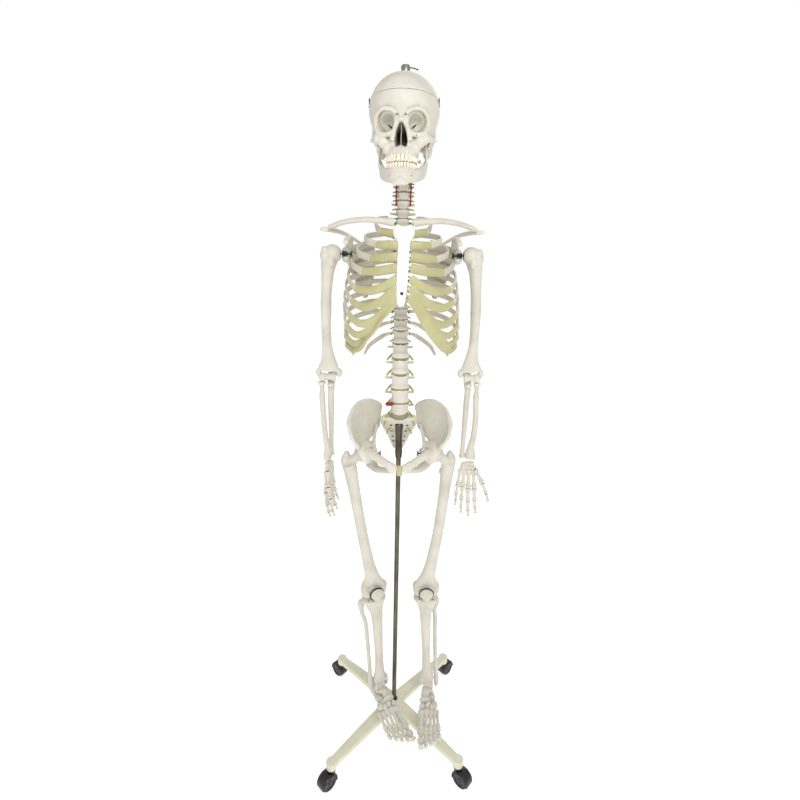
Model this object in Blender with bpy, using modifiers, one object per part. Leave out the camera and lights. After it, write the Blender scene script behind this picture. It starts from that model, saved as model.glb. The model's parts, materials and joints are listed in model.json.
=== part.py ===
"""Classroom human skeleton on a roller stand. Metres, +Z up, the face looks along -Y.

The skeleton's own left side is +X.  Every bone is modelled as overlapping lumps and
straps that are fused with a voxel remesh, thinned, and then cut for sockets and bores.
"""
import bpy
import bmesh
import math
from mathutils import Vector, Matrix

NAME = "human_skeleton_model"

# ---------------------------------------------------------------- driving dimensions
POLE_Y = 0.015              # the pole stands this far behind the skeleton's middle
POLE_RADIUS = 0.0065
POLE_TOP = 0.9905
SLEEVE_RADIUS = 0.009
SLEEVE_BOTTOM = 0.905
SLEEVE_TOP = 0.998
HUB_TOP = 0.0972
HUB_RADIUS = 0.021
CASTER_OFFSET = 0.1746      # caster stems stand on a square of this half side
WHEEL_RADIUS = 0.0225
TRAIL = 0.016               # axle behind the swivel stem
ARM_TIP_UNDER = 0.0555
ARM_TIP_TOP = 0.078

HEAD_TURN = math.radians(-6)
HEAD_AXIS = Vector((0.0, 0.020, 1.610))
CAP_CUT = 1.7120
JAW_AXIS = Vector((0.051, 0.002, 1.637))

SHOULDER = Vector((0.158, 0.012, 1.408))
ELBOW = Vector((0.176, 0.012, 1.120))
WRIST = Vector((0.178, 0.000, 0.902))
HAND_YAW = {1: 0.0, -1: math.radians(70)}
HIP = Vector((0.092, -0.005, 0.925))
KNEE = {1: Vector((0.083, -0.006, 0.515)), -1: Vector((-0.063, -0.006, 0.515))}
ANKLE = {1: Vector((0.100, 0.000, 0.172)), -1: Vector((-0.045, 0.000, 0.172))}
LEG_YAW = {1: math.radians(-4), -1: math.radians(21)}
FOOT_YAW = {1: math.radians(-4), -1: math.radians(25)}
FOOT_LIFT = math.radians(8)
HUMERAL_HEAD = 0.0205
FEMORAL_HEAD = 0.0222
SOCKET = 0.0252
SCREW_RADIUS = 0.0020

# Everything above and below is drawn about the skeleton's own middle; the finished model is
# then moved so that the middle of its footprint on the floor is the origin.
TO_ORIGIN = Vector((-0.010448, -POLE_Y, -0.000277))

# label: height, set-back, half width, half depth, spine length, spine drop, side reach
SPINE = {
    "C3": (1.5630, -0.0015, 0.0105, 0.0075, 0.021, 0.004, 0.025),
    "C4": (1.5460, -0.0020, 0.0108, 0.0075, 0.021, 0.004, 0.025),
    "C5": (1.5290, 0.0020, 0.0112, 0.0078, 0.022, 0.005, 0.026),
    "C6": (1.5120, 0.0090, 0.0118, 0.0080, 0.026, 0.007, 0.028),
    "C7": (1.4940, 0.0170, 0.0125, 0.0085, 0.033, 0.008, 0.031),
    "T1": (1.4740, 0.0260, 0.0135, 0.0090, 0.034, 0.009, 0.036),
    "T2": (1.4540, 0.0340, 0.0138, 0.0092, 0.034, 0.012, 0.034),
    "T3": (1.4334, 0.0400, 0.0138, 0.0095, 0.034, 0.016, 0.033),
    "T4": (1.4122, 0.0450, 0.0138, 0.0100, 0.033, 0.020, 0.033),
    "T5": (1.3904, 0.0490, 0.0140, 0.0105, 0.032, 0.023, 0.033),
    "T6": (1.3680, 0.0520, 0.0143, 0.0108, 0.031, 0.025, 0.033),
    "T7": (1.3450, 0.0530, 0.0146, 0.0112, 0.031, 0.026, 0.032),
    "T8": (1.3214, 0.0520, 0.0150, 0.0116, 0.031, 0.024, 0.031),
    "T9": (1.2972, 0.0490, 0.0155, 0.0120, 0.031, 0.020, 0.030),
    "T10": (1.2724, 0.0450, 0.0162, 0.0125, 0.031, 0.016, 0.028),
    "T11": (1.2470, 0.0400, 0.0170, 0.0130, 0.032, 0.010, 0.025),
    "T12": (1.2205, 0.0340, 0.0178, 0.0135, 0.032, 0.007, 0.022),
    "L1": (1.1870, 0.0250, 0.0190, 0.0145, 0.036, 0.005, 0.034),
    "L2": (1.1500, 0.0140, 0.0200, 0.0150, 0.037, 0.005, 0.038),
    "L3": (1.1130, 0.0060, 0.0208, 0.0152, 0.037, 0.005, 0.041),
    "L4": (1.0760, 0.0020, 0.0215, 0.0155, 0.036, 0.005, 0.040),
    "L5": (1.0400, 0.0060, 0.0222, 0.0155, 0.033, 0.006, 0.038),
}
CANAL_RADIUS = 0.0078
ROD_RADIUS = 0.0035

# rib: widest half width, back of the arc, front end x, y, z, height of the head
RIBS = {
    1: (0.060, 0.058, 0.050, -0.043, 1.455, 1.4760),
    2: (0.083, 0.070, 0.058, -0.058, 1.428, 1.4570),
    3: (0.101, 0.080, 0.071, -0.067, 1.399, 1.4360),
    4: (0.114, 0.087, 0.088, -0.070, 1.372, 1.4150),
    5: (0.123, 0.092, 0.103, -0.069, 1.336, 1.3930),
    6: (0.129, 0.096, 0.113, -0.065, 1.310, 1.3710),
    7: (0.133, 0.098, 0.121, -0.058, 1.282, 1.3480),
    8: (0.135, 0.098, 0.127, -0.050, 1.256, 1.3240),
    9: (0.134, 0.096, 0.129, -0.040, 1.230, 1.3000),
    10: (0.130, 0.091, 0.128, -0.027, 1.206, 1.2750),
}
FLOATING = {
    11: (0.116, 0.085, 0.115, 0.010, 1.176, 1.2490),
    12: (0.090, 0.078, 0.089, 0.056, 1.168, 1.2220),
}

IVORY = (0.80, 0.72, 0.52)
BONE = (0.84, 0.77, 0.58)
PALE = (0.88, 0.84, 0.70)
CARTILAGE = (0.55, 0.47, 0.22)
STEEL = (0.55, 0.54, 0.52)
DARK_STEEL = (0.16, 0.16, 0.13)
RED = (0.62, 0.08, 0.05)
BASE_CREAM = (0.80, 0.78, 0.60)
BLACK = (0.025, 0.025, 0.025)


# ---------------------------------------------------------------- scene helpers
for old in list(bpy.data.objects):
    bpy.data.objects.remove(old, do_unlink=True)

parts = bpy.data.collections.new(NAME)
tools = bpy.data.collections.new("cutting_tools")
bpy.context.scene.collection.children.link(parts)
bpy.context.scene.collection.children.link(tools)


def paint(obj, colour, roughness, metallic=0.0):
    """Give one object its own Principled material."""
    mat = bpy.data.materials.new(obj.name)
    mat.use_nodes = True
    shader = mat.node_tree.nodes["Principled BSDF"]
    shader.inputs["Base Color"].default_value = (*colour, 1.0)
    shader.inputs["Roughness"].default_value = roughness
    shader.inputs["Metallic"].default_value = metallic
    obj.data.materials.clear()
    obj.data.materials.append(mat)


def place(name, clay, origin, collection=parts):
    """Make an object from the clay with its origin at a joint."""
    origin = Vector(origin)
    bmesh.ops.translate(clay, vec=-origin, verts=clay.verts)
    bmesh.ops.recalc_face_normals(clay, faces=clay.faces)
    mesh = bpy.data.meshes.new(name)
    clay.to_mesh(mesh)
    clay.free()
    obj = bpy.data.objects.new(name, mesh)
    obj.location = origin
    collection.objects.link(obj)
    return obj


def triangles(obj):
    """Count the triangles of the object as modified."""
    graph = bpy.context.evaluated_depsgraph_get()
    mesh = obj.evaluated_get(graph).data
    return sum(len(face.vertices) - 2 for face in mesh.polygons)


def fuse(name, clay, origin, voxel, target, look, smooth=4):
    """Fuse overlapping lumps into one skin and thin it to a triangle count."""
    obj = place(name, clay, origin)
    remesh = obj.modifiers.new("fuse", "REMESH")
    remesh.mode = "VOXEL"
    remesh.voxel_size = voxel
    remesh.use_smooth_shade = True
    soften = obj.modifiers.new("soften", "SMOOTH")
    soften.factor = 0.5
    soften.iterations = smooth
    count = triangles(obj)
    thin = obj.modifiers.new("thin", "DECIMATE")
    thin.ratio = min(1.0, target / count)
    paint(obj, *look)
    return obj


def solid(name, clay, origin, look, smooth=True):
    """Make a machined part straight from its faces."""
    obj = place(name, clay, origin)
    paint(obj, *look)
    for face in obj.data.polygons:
        face.use_smooth = smooth
    return obj


def cut(obj, clay, name, mode="DIFFERENCE"):
    """Cut (or join) a closed tool shape into the object."""
    tool = place(name, clay, (0, 0, 0), tools)
    tool.display_type = "WIRE"
    tool.hide_render = True
    step = obj.modifiers.new(name, "BOOLEAN")
    step.operation = mode
    step.solver = "EXACT"
    step.object = tool
    return tool


def ball(clay, centre, radii, turn=(0, 0, 0), detail=2):
    """Add an ellipsoid lump."""
    if isinstance(radii, (int, float)):
        radii = (radii, radii, radii)
    spin = Matrix.Rotation(turn[2], 4, "Z") @ Matrix.Rotation(turn[1], 4, "Y")
    spin = spin @ Matrix.Rotation(turn[0], 4, "X")
    matrix = Matrix.Translation(centre) @ spin @ Matrix.Diagonal((*radii, 1.0))
    bmesh.ops.create_icosphere(clay, subdivisions=detail, radius=1.0, matrix=matrix)


def disc(clay, centre, radius, length, axis=(0, 0, 1), sides=32, radius2=None):
    """Add a cylinder or cone along an axis, centred on a point."""
    turn = Vector((0, 0, 1)).rotation_difference(Vector(axis)).to_matrix().to_4x4()
    matrix = Matrix.Translation(centre) @ turn
    end = radius if radius2 is None else radius2
    bmesh.ops.create_cone(clay, cap_ends=True, segments=sides, radius1=radius,
                          radius2=end, depth=length, matrix=matrix)


def block(clay, centre, size, turn=0.0):
    """Add a box, turned about Z."""
    matrix = Matrix.Translation(centre) @ Matrix.Rotation(turn, 4, "Z")
    bmesh.ops.create_cube(clay, size=1.0, matrix=matrix @ Matrix.Diagonal((*size, 1.0)))


def flow(stations, steps):
    """Run a smooth curve through stations; every column is interpolated."""
    rows = [tuple(row) for row in stations]
    out = []
    last = len(rows) - 1
    for i in range(last):
        before, start, end, after = (rows[max(i - 1, 0)], rows[i], rows[i + 1],
                                     rows[min(i + 2, last)])
        for k in range(steps):
            t = k / steps
            out.append([catmull(a, b, c, d, t)
                        for a, b, c, d in zip(before, start, end, after)])
    out.append(list(rows[-1]))
    return out


def catmull(a, b, c, d, t):
    """Catmull-Rom value between b and c."""
    return 0.5 * (2 * b + (c - a) * t + (2 * a - 5 * b + 4 * c - d) * t * t
                  + (3 * b - a - 3 * c + d) * t * t * t)


def strap(clay, stations, across=(1, 0, 0), steps=4, sides=12):
    """Loft ellipses along stations (x, y, z, half width, half thickness)."""
    rows = flow(stations, steps)
    spots = [Vector(row[:3]) for row in rows]
    loops = []
    for i, spot in enumerate(spots):
        ahead = spots[min(i + 1, len(spots) - 1)] - spots[max(i - 1, 0)]
        ahead.normalize()
        side = Vector(across) - ahead * ahead.dot(Vector(across))
        side.normalize()
        other = ahead.cross(side)
        wide, thick = max(rows[i][3], 0.0002), max(rows[i][4], 0.0002)
        loop = []
        for k in range(sides):
            angle = 2 * math.pi * k / sides
            offset = side * wide * math.cos(angle) + other * thick * math.sin(angle)
            loop.append(clay.verts.new(spot + offset))
        loops.append(loop)
    for one, two in zip(loops, loops[1:]):
        for k in range(sides):
            j = (k + 1) % sides
            clay.faces.new((one[k], one[j], two[j], two[k]))
    clay.faces.new(loops[0][::-1])
    clay.faces.new(loops[-1])


def rod(clay, points, radius, steps=4, sides=12, across=(1, 0, 0)):
    """Bend a round rod through points."""
    strap(clay, [(*p, radius, radius) for p in points], across, steps, sides)


def sheet(clay, grid, thickness):
    """Add a curved plate through a grid of points with the given thickness."""
    skin = bmesh.new()
    columns = [flow(row, 3) for row in grid]
    rows = [flow(column, 3) for column in zip(*columns)]
    verts = [[skin.verts.new(spot) for spot in row] for row in rows]
    for one, two in zip(verts, verts[1:]):
        for a, b, c, d in zip(one, one[1:], two[1:], two):
            skin.faces.new((a, b, c, d))
    bmesh.ops.recalc_face_normals(skin, faces=skin.faces)
    bmesh.ops.translate(skin, verts=[], vec=(0, 0, 0))
    skin.normal_update()
    for vert in skin.verts:
        vert.co = vert.co - vert.normal * thickness / 2
    bmesh.ops.solidify(skin, geom=skin.faces[:], thickness=-thickness)
    mesh = bpy.data.meshes.new("plate")
    skin.to_mesh(mesh)
    skin.free()
    clay.from_mesh(mesh)
    bpy.data.meshes.remove(mesh)


def mirror_x(spot, side):
    """Send a left-side point to the chosen side."""
    return Vector((spot[0] * side, spot[1], spot[2]))


def flip(stations, side):
    """Send left-side stations to the chosen side."""
    return [(row[0] * side, *row[1:]) for row in stations]


def spin_z(vector, angle):
    """Turn a vector about the vertical."""
    return Matrix.Rotation(angle, 3, "Z") @ Vector(vector)


MATT = (IVORY, 0.55)
LIGHT = (BONE, 0.55)


# ---------------------------------------------------------------- roller stand
def corners():
    """Name the four caster corners and their directions."""
    return {"front_left": (1, -1), "front_right": (-1, -1),
            "rear_left": (1, 1), "rear_right": (-1, 1)}


def arm_bar(clay, direction):
    """One sloping arm from the hub to its caster boss, with a raised ridge."""
    reach = CASTER_OFFSET * math.sqrt(2)
    heading = math.atan2(direction[1], direction[0])
    sections = ((0.0, 0.020, 0.072, 0.0955), (0.05, 0.019, 0.070, 0.094),
                (0.15, 0.015, 0.063, 0.087), (reach, 0.012, ARM_TIP_UNDER, ARM_TIP_TOP))
    loops = []
    for far, half, low, high in sections:
        outline = ((-half, low), (half, low), (half, high - 0.007), (half * 0.45, high),
                   (-half * 0.45, high), (-half, high - 0.007))
        loop = []
        for across, height in outline:
            spot = spin_z((far, across, height), heading)
            loop.append(clay.verts.new(spot + Vector((0, POLE_Y, 0))))
        loops.append(loop)
    for one, two in zip(loops, loops[1:]):
        for k in range(6):
            j = (k + 1) % 6
            clay.faces.new((one[k], one[j], two[j], two[k]))
    clay.faces.new(loops[0][::-1])
    clay.faces.new(loops[-1])


def build_base():
    """Four-armed base: hub, arms and caster bosses in one moulding."""
    clay = bmesh.new()
    disc(clay, (0, POLE_Y, (0.068 + 0.0968) / 2), 0.034, 0.0288, sides=24)
    base = solid("base_star", clay, (0, POLE_Y, 0.068), (BASE_CREAM, 0.5))
    for label, direction in corners().items():
        clay = bmesh.new()
        arm_bar(clay, direction)
        cut(base, clay, "arm_" + label, "UNION")
    for label, direction in corners().items():
        clay = bmesh.new()
        spot = (direction[0] * CASTER_OFFSET, POLE_Y + direction[1] * CASTER_OFFSET,
                (ARM_TIP_UNDER + ARM_TIP_TOP) / 2 + 0.0005)
        disc(clay, spot, 0.0150, ARM_TIP_TOP - ARM_TIP_UNDER + 0.001, sides=16)
        cut(base, clay, "boss_" + label, "UNION")
    clay = bmesh.new()
    disc(clay, (0, POLE_Y, (0.090 + HUB_TOP) / 2), HUB_RADIUS, HUB_TOP - 0.090, sides=20)
    cut(base, clay, "collar", "UNION")
    clay = bmesh.new()
    disc(clay, (0, POLE_Y, 0.105), POLE_RADIUS + 0.0004, 0.050, sides=16)
    cut(base, clay, "pole_bore")
    for label, direction in corners().items():
        clay = bmesh.new()
        spot = (direction[0] * CASTER_OFFSET, POLE_Y + direction[1] * CASTER_OFFSET,
                ARM_TIP_UNDER)
        disc(clay, spot, 0.0048, 0.034, sides=12)
        cut(base, clay, "stem_bore_" + label)
    for face in base.data.polygons:
        face.use_smooth = False
    return base


def build_pole():
    """Steel pole standing in the hub."""
    clay = bmesh.new()
    low = 0.0805
    disc(clay, (0, POLE_Y, (low + POLE_TOP) / 2), POLE_RADIUS, POLE_TOP - low, sides=16)
    return solid("stand_pole", clay, (0, POLE_Y, low), (DARK_STEEL, 0.35, 0.9))


def build_sleeve():
    """Closed-top sleeve that hangs on the pole and carries the pelvis."""
    clay = bmesh.new()
    middle = (0, POLE_Y, (SLEEVE_BOTTOM + SLEEVE_TOP) / 2)
    disc(clay, middle, SLEEVE_RADIUS, SLEEVE_TOP - SLEEVE_BOTTOM, sides=16)
    sleeve = solid("pole_sleeve", clay, (0, POLE_Y, SLEEVE_TOP), (DARK_STEEL, 0.3, 0.9))
    clay = bmesh.new()
    top = POLE_TOP + 0.0006
    disc(clay, (0, POLE_Y, (SLEEVE_BOTTOM - 0.01 + top) / 2), POLE_RADIUS + 0.0005,
         top - SLEEVE_BOTTOM + 0.01, sides=16)
    cut(sleeve, clay, "sleeve_bore")
    return sleeve


def build_caster(label, direction):
    """Hooded twin-wheel caster: a fork that swivels and a pair of wheels."""
    stem = Vector((direction[0] * CASTER_OFFSET, POLE_Y + direction[1] * CASTER_OFFSET, 0))
    away = Vector((direction[0], direction[1], 0)).normalized()
    axle = stem + away * TRAIL + Vector((0, 0, WHEEL_RADIUS))
    across = Vector((-away.y, away.x, 0))
    hood = 0.0262
    clay = bmesh.new()
    disc(clay, axle, hood, 0.030, across, 16)
    fork = solid("caster_fork_" + label, clay, (stem.x, stem.y, ARM_TIP_UNDER),
                 (BLACK, 0.45))
    clay = bmesh.new()
    disc(clay, (stem.x, stem.y, 0.0500), 0.0095, 0.0090, sides=14)
    cut(fork, clay, "fork_seat_" + label, "UNION")
    clay = bmesh.new()
    disc(clay, (stem.x, stem.y, 0.0595), 0.0040, 0.0240, sides=12)
    cut(fork, clay, "fork_stem_" + label, "UNION")
    heading = math.atan2(across.y, across.x)
    for name, shift in (("_a", 1), ("_b", -1)):
        clay = bmesh.new()
        disc(clay, axle + across * shift * 0.0099, WHEEL_RADIUS + 0.0012, 0.0130, across, 16)
        cut(fork, clay, "wheel_room_" + label + name)
    clay = bmesh.new()
    block(clay, axle - Vector((0, 0, 0.0225 + 0.004)), (0.05, 0.07, 0.045), heading)
    cut(fork, clay, "hood_trim_" + label)
    clay = bmesh.new()
    disc(clay, axle, 0.0060, 0.0062, across, 10)
    cut(fork, clay, "axle_boss_" + label, "UNION")
    clay = bmesh.new()
    disc(clay, axle, 0.0028, 0.0200, across, 10)
    cut(fork, clay, "axle_bore_" + label)
    clay = bmesh.new()
    disc(clay, axle + across * 0.0094, WHEEL_RADIUS, 0.0102, across, 20)
    wheels = solid("caster_wheels_" + label, clay, axle, (BLACK, 0.5))
    clay = bmesh.new()
    disc(clay, axle - across * 0.0094, WHEEL_RADIUS, 0.0102, across, 20)
    cut(wheels, clay, "second_wheel_" + label, "UNION")
    clay = bmesh.new()
    disc(clay, axle, 0.0022, 0.0200, across, 8)
    cut(wheels, clay, "axle_" + label, "UNION")


# ---------------------------------------------------------------- spine
def canal_y(label):
    """Centre of the vertebral canal behind one body."""
    row = SPINE[label]
    return row[1] + row[3] + CANAL_RADIUS + 0.0005


def canal_path(first=1.620, last=1.005):
    """Points down the vertebral canal, from the skull to the sacrum."""
    points = [(0, 0.020, first), (0, 0.0195, 1.600), (0, 0.0170, 1.582)]
    for label in SPINE:
        points.append((0, canal_y(label), SPINE[label][0]))
    points.append((0, 0.0335, 1.022))
    points.append((0, 0.0370, last))
    return points


def vertebra(clay, label, gap_above, gap_below, first, last):
    """Body, arch, transverse, articular and spinous processes of one level."""
    z, y, wide, deep, spine, drop, reach = SPINE[label]
    back = canal_y(label)
    lumbar = label[0] == "L"
    strap(clay, [(0, y, z + gap_above, wide * 1.06, deep * 1.06),
                 (0, y, z + gap_above * 0.55, wide * 1.04, deep * 1.04),
                 (0, y, z, wide * 0.90, deep * 0.90),
                 (0, y, z - gap_below * 0.55, wide * 1.04, deep * 1.04),
                 (0, y, z - gap_below, wide * 1.06, deep * 1.06)], steps=2)
    tall = min(gap_above, gap_below)
    disc(clay, (0, back, z), CANAL_RADIUS + 0.0032, tall * 1.5, sides=16)
    thick = 0.0055 if lumbar else 0.0042
    high = 0.0095 if lumbar else 0.0052
    strap(clay, [(0, back + CANAL_RADIUS - 0.001, z - 0.001, 0.0035, high),
                 (0, back + spine * 0.7, z - drop * 0.6, 0.0028, high * 0.85),
                 (0, back + spine, z - drop, 0.0042, high * 0.8)], steps=2)
    tilt = -0.004 if lumbar else 0.008
    if label[0] == "C":
        tilt = -0.006
    for side in (1, -1):
        strap(clay, flip([(0.004, back - 0.002, z, thick, 0.005),
                          (reach * 0.55, back + tilt * 0.4, z + 0.001, thick, 0.004),
                          (reach * 0.90, back + tilt, z + 0.002, thick * 0.95, 0.0040)], side),
              across=(0, 0, 1), steps=2)
        if not first:
            ball(clay, (side * 0.0105, back + 0.002, z + tall * 0.55), (0.005, 0.0045, 0.007))
        if not last:
            ball(clay, (side * 0.0095, back + 0.004, z - tall * 0.75), (0.005, 0.0045, 0.007))


def build_region(name, labels, look, target, voxel):
    """A run of vertebrae and their discs as one column piece."""
    clay = bmesh.new()
    order = list(SPINE)
    for label in labels:
        i = order.index(label)
        z = SPINE[label][0]
        above = (SPINE[order[i - 1]][0] - z) / 2 if i else 0.0085
        below = (z - SPINE[order[i + 1]][0]) / 2 if i + 1 < len(order) else 0.0170
        top = above - (0.0012 if label == labels[0] else -0.0006)
        bottom = below - (0.0012 if label == labels[-1] else -0.0006)
        vertebra(clay, label, top, bottom, label == labels[0], label == labels[-1])
    inner = [SPINE[label] for label in labels]
    strap(clay, [(0, canal_y(label), SPINE[label][0], CANAL_RADIUS + 0.0022,
                  CANAL_RADIUS + 0.0022) for label in labels], steps=2)
    column = fuse(name, clay, (0, inner[-1][1], inner[-1][0]), voxel, target, look)
    clay = bmesh.new()
    rod(clay, canal_path(), CANAL_RADIUS, steps=1, sides=8)
    cut(column, clay, name + "_canal")
    return column


def build_neck_top():
    """Atlas ring and axis with its dens."""
    clay = bmesh.new()
    ring = [(0.019 * math.cos(a), 0.011 + 0.0205 * math.sin(a), 1.6015, 0.0052, 0.0042)
            for a in [2 * math.pi * k / 16 for k in range(17)]]
    strap(clay, ring, across=(0, 0, 1), steps=1)
    for side in (1, -1):
        ball(clay, (side * 0.0185, 0.006, 1.6015), (0.0075, 0.0100, 0.0068))
        strap(clay, flip([(0.018, 0.010, 1.6015, 0.0042, 0.0042),
                          (0.036, 0.012, 1.6010, 0.0040, 0.0045)], side),
              across=(0, 0, 1), steps=2)
    ball(clay, (0, -0.0100, 1.6015), (0.006, 0.0035, 0.0045))
    ball(clay, (0, 0.0325, 1.6015), (0.005, 0.0045, 0.0045))
    fuse("atlas_vertebra", clay, (0, 0.020, 1.6015), 0.0013, 220, LIGHT)
    clay = bmesh.new()
    strap(clay, [(0, 0.001, 1.5925, 0.0125, 0.0085), (0, 0.000, 1.5840, 0.0115, 0.0080),
                 (0, -0.001, 1.5742, 0.0120, 0.0080)], steps=2)
    strap(clay, [(0, 0.0010, 1.5880, 0.0055, 0.0055), (0, 0.0010, 1.6000, 0.0046, 0.0046),
                 (0, 0.0010, 1.6065, 0.0032, 0.0032)], steps=2)
    for side in (1, -1):
        ball(clay, (side * 0.0140, 0.004, 1.5885), (0.0080, 0.0085, 0.0048))
        strap(clay, flip([(0.010, 0.008, 1.582, 0.004, 0.004),
                          (0.024, 0.012, 1.579, 0.0035, 0.004)], side),
              across=(0, 0, 1), steps=2)
    disc(clay, (0, 0.0180, 1.5825), CANAL_RADIUS + 0.0032, 0.0110, sides=16)
    strap(clay, [(0, 0.024, 1.582, 0.0045, 0.0058), (0, 0.036, 1.578, 0.0055, 0.0055),
                 (0, 0.042, 1.576, 0.0075, 0.0048)], steps=2)
    axis = fuse("axis_vertebra", clay, (0, 0.018, 1.582), 0.0014, 220, LIGHT)
    clay = bmesh.new()
    rod(clay, canal_path(), CANAL_RADIUS - 0.0006, steps=1, sides=8)
    cut(axis, clay, "axis_canal")


def sacrum_lumps(clay, grow, steps=3, sides=20):
    """Wedge of the sacrum, tapering down to the coccyx."""
    rows = [(0, 0.022, 1.0195, 0.040, 0.0165), (0, 0.024, 1.012, 0.049, 0.0175),
            (0, 0.034, 0.990, 0.046, 0.0165), (0, 0.049, 0.962, 0.034, 0.0140),
            (0, 0.058, 0.935, 0.024, 0.0110), (0, 0.057, 0.915, 0.014, 0.0085),
            (0, 0.050, 0.900, 0.009, 0.0060), (0, 0.040, 0.888, 0.005, 0.0045)]
    strap(clay, [(x, y, z, w + grow, t + grow) for x, y, z, w, t in rows], steps=steps,
          sides=sides)


def build_sacrum():
    """Sacrum and coccyx with the seat for the sleeve."""
    clay = bmesh.new()
    sacrum_lumps(clay, 0.0)
    strap(clay, [(0, 0.020, 1.0205, 0.0215, 0.0150), (0, 0.022, 1.005, 0.022, 0.0160)],
          steps=2)
    strap(clay, [(0, 0.048, 1.010, 0.003, 0.012), (0, 0.062, 0.985, 0.004, 0.010),
                 (0, 0.070, 0.955, 0.003, 0.008)], steps=3)
    sacrum = fuse("sacrum", clay, (0, POLE_Y, 1.0), 0.0022, 360, MATT)
    clay = bmesh.new()
    rod(clay, canal_path(last=0.998), CANAL_RADIUS - 0.001, steps=1, sides=8)
    cut(sacrum, clay, "sacral_canal")
    clay = bmesh.new()
    disc(clay, (0, POLE_Y, 0.920), SLEEVE_RADIUS + 0.0007, 0.160, sides=16)
    cut(sacrum, clay, "sleeve_seat")


def build_rod():
    """Bent steel rod threaded through the spine, up through the skull."""
    clay = bmesh.new()
    points = [(0, 0.020, 1.7640), (0, 0.020, 1.700), (0, 0.020, 1.640)] + canal_path()
    rod(clay, points[:-1] + [(0, 0.0362, 1.0085)], ROD_RADIUS, steps=1, sides=6)
    solid("spine_rod", clay, (0, 0.020, 1.610), (DARK_STEEL, 0.35, 0.9))


def build_spine():
    """All the pieces strung on the rod."""
    build_neck_top()
    build_region("cervical_vertebrae", ["C3", "C4", "C5", "C6", "C7"], LIGHT, 480, 0.0016)
    names = ["T%d" % i for i in range(1, 13)]
    build_region("thoracic_vertebrae", names, LIGHT, 820, 0.0020)
    build_region("lumbar_vertebrae", ["L1", "L2", "L3", "L4", "L5"], LIGHT, 560, 0.0022)
    build_sacrum()
    build_rod()
    clay = bmesh.new()
    ball(clay, (-0.0240, -0.0150, 1.0590), (0.0085, 0.0065, 0.0055), detail=2)
    ball(clay, (-0.0290, -0.0095, 1.0585), (0.0065, 0.0060, 0.0050), detail=2)
    fuse("herniated_disc", clay, (-0.022, -0.011, 1.059), 0.0010, 90, (RED, 0.4))


# ---------------------------------------------------------------- rib cage
def rib_stations(row, side, number):
    """Path of one rib from its head beside the spine to its front end."""
    wide, back, ex, ey, ez, head = row
    label = "T%d" % number
    y = SPINE[label][1]
    drop = head - ez
    near = SPINE[label][2] + 0.0035
    w, t = (0.0058, 0.0026)
    rows = [(near, y + 0.007, head, 0.0042, 0.0034),
            (near + 0.015, y + 0.0155, head + 0.001, 0.0042, 0.0030),
            (near + 0.027, y + 0.0300, head - 0.001, 0.0045, 0.0030),
            (wide * 0.58, back, head - drop * 0.10, w, t),
            (wide * 0.86, back - 0.026, head - drop * 0.27, w, t),
            (wide, back - 0.066, head - drop * 0.52, w, t)]
    if number <= 10:
        rows.append((wide * 0.97, (back - 0.066 + ey) * 0.56, head - drop * 0.80, w, t))
    rows.append((ex, ey, ez, w * 0.95, t * 1.1))
    return flip(rows, side)


def short_rib(row, side, number):
    """Path of one floating rib."""
    wide, back, ex, ey, ez, head = row
    y = SPINE["T%d" % number][1]
    near = SPINE["T%d" % number][2] + 0.0035
    rows = [(near, y + 0.010, head, 0.0042, 0.0034),
            (wide * 0.50, back, head - (head - ez) * 0.22, 0.0052, 0.0026),
            (wide * 0.84, back - (back - ey) * 0.42, head - (head - ez) * 0.6, 0.0050, 0.0025),
            (ex, ey, ez, 0.0030, 0.0022)]
    return flip(rows, side)


def cartilages(clay, side):
    """Costal cartilages from the rib ends to the sternum and each other."""
    link = {
        1: [(0.034, -0.050, 1.452), (0.016, -0.056, 1.449)],
        2: [(0.038, -0.070, 1.426), (0.014, -0.074, 1.426)],
        3: [(0.044, -0.082, 1.400), (0.014, -0.084, 1.403)],
        4: [(0.055, -0.088, 1.374), (0.014, -0.092, 1.381)],
        5: [(0.070, -0.092, 1.334), (0.040, -0.098, 1.344), (0.014, -0.099, 1.360)],
        6: [(0.084, -0.088, 1.299), (0.050, -0.099, 1.311), (0.014, -0.101, 1.343)],
        7: [(0.094, -0.084, 1.264), (0.058, -0.098, 1.276), (0.014, -0.101, 1.328)],
        8: [(0.103, -0.077, 1.238), (0.074, -0.092, 1.250), (0.050, -0.098, 1.284)],
        9: [(0.108, -0.066, 1.216), (0.084, -0.083, 1.228), (0.068, -0.092, 1.258)],
        10: [(0.112, -0.052, 1.200), (0.094, -0.072, 1.208), (0.078, -0.086, 1.236)],
    }
    for number, spots in link.items():
        start = RIBS[number][2:5]
        rows = [(*start, 0.0056, 0.0032)]
        rows += [(*spot, 0.0055, 0.0034) for spot in spots]
        strap(clay, flip(rows, side), across=(0, 0, 1), steps=4, sides=10)


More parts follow.
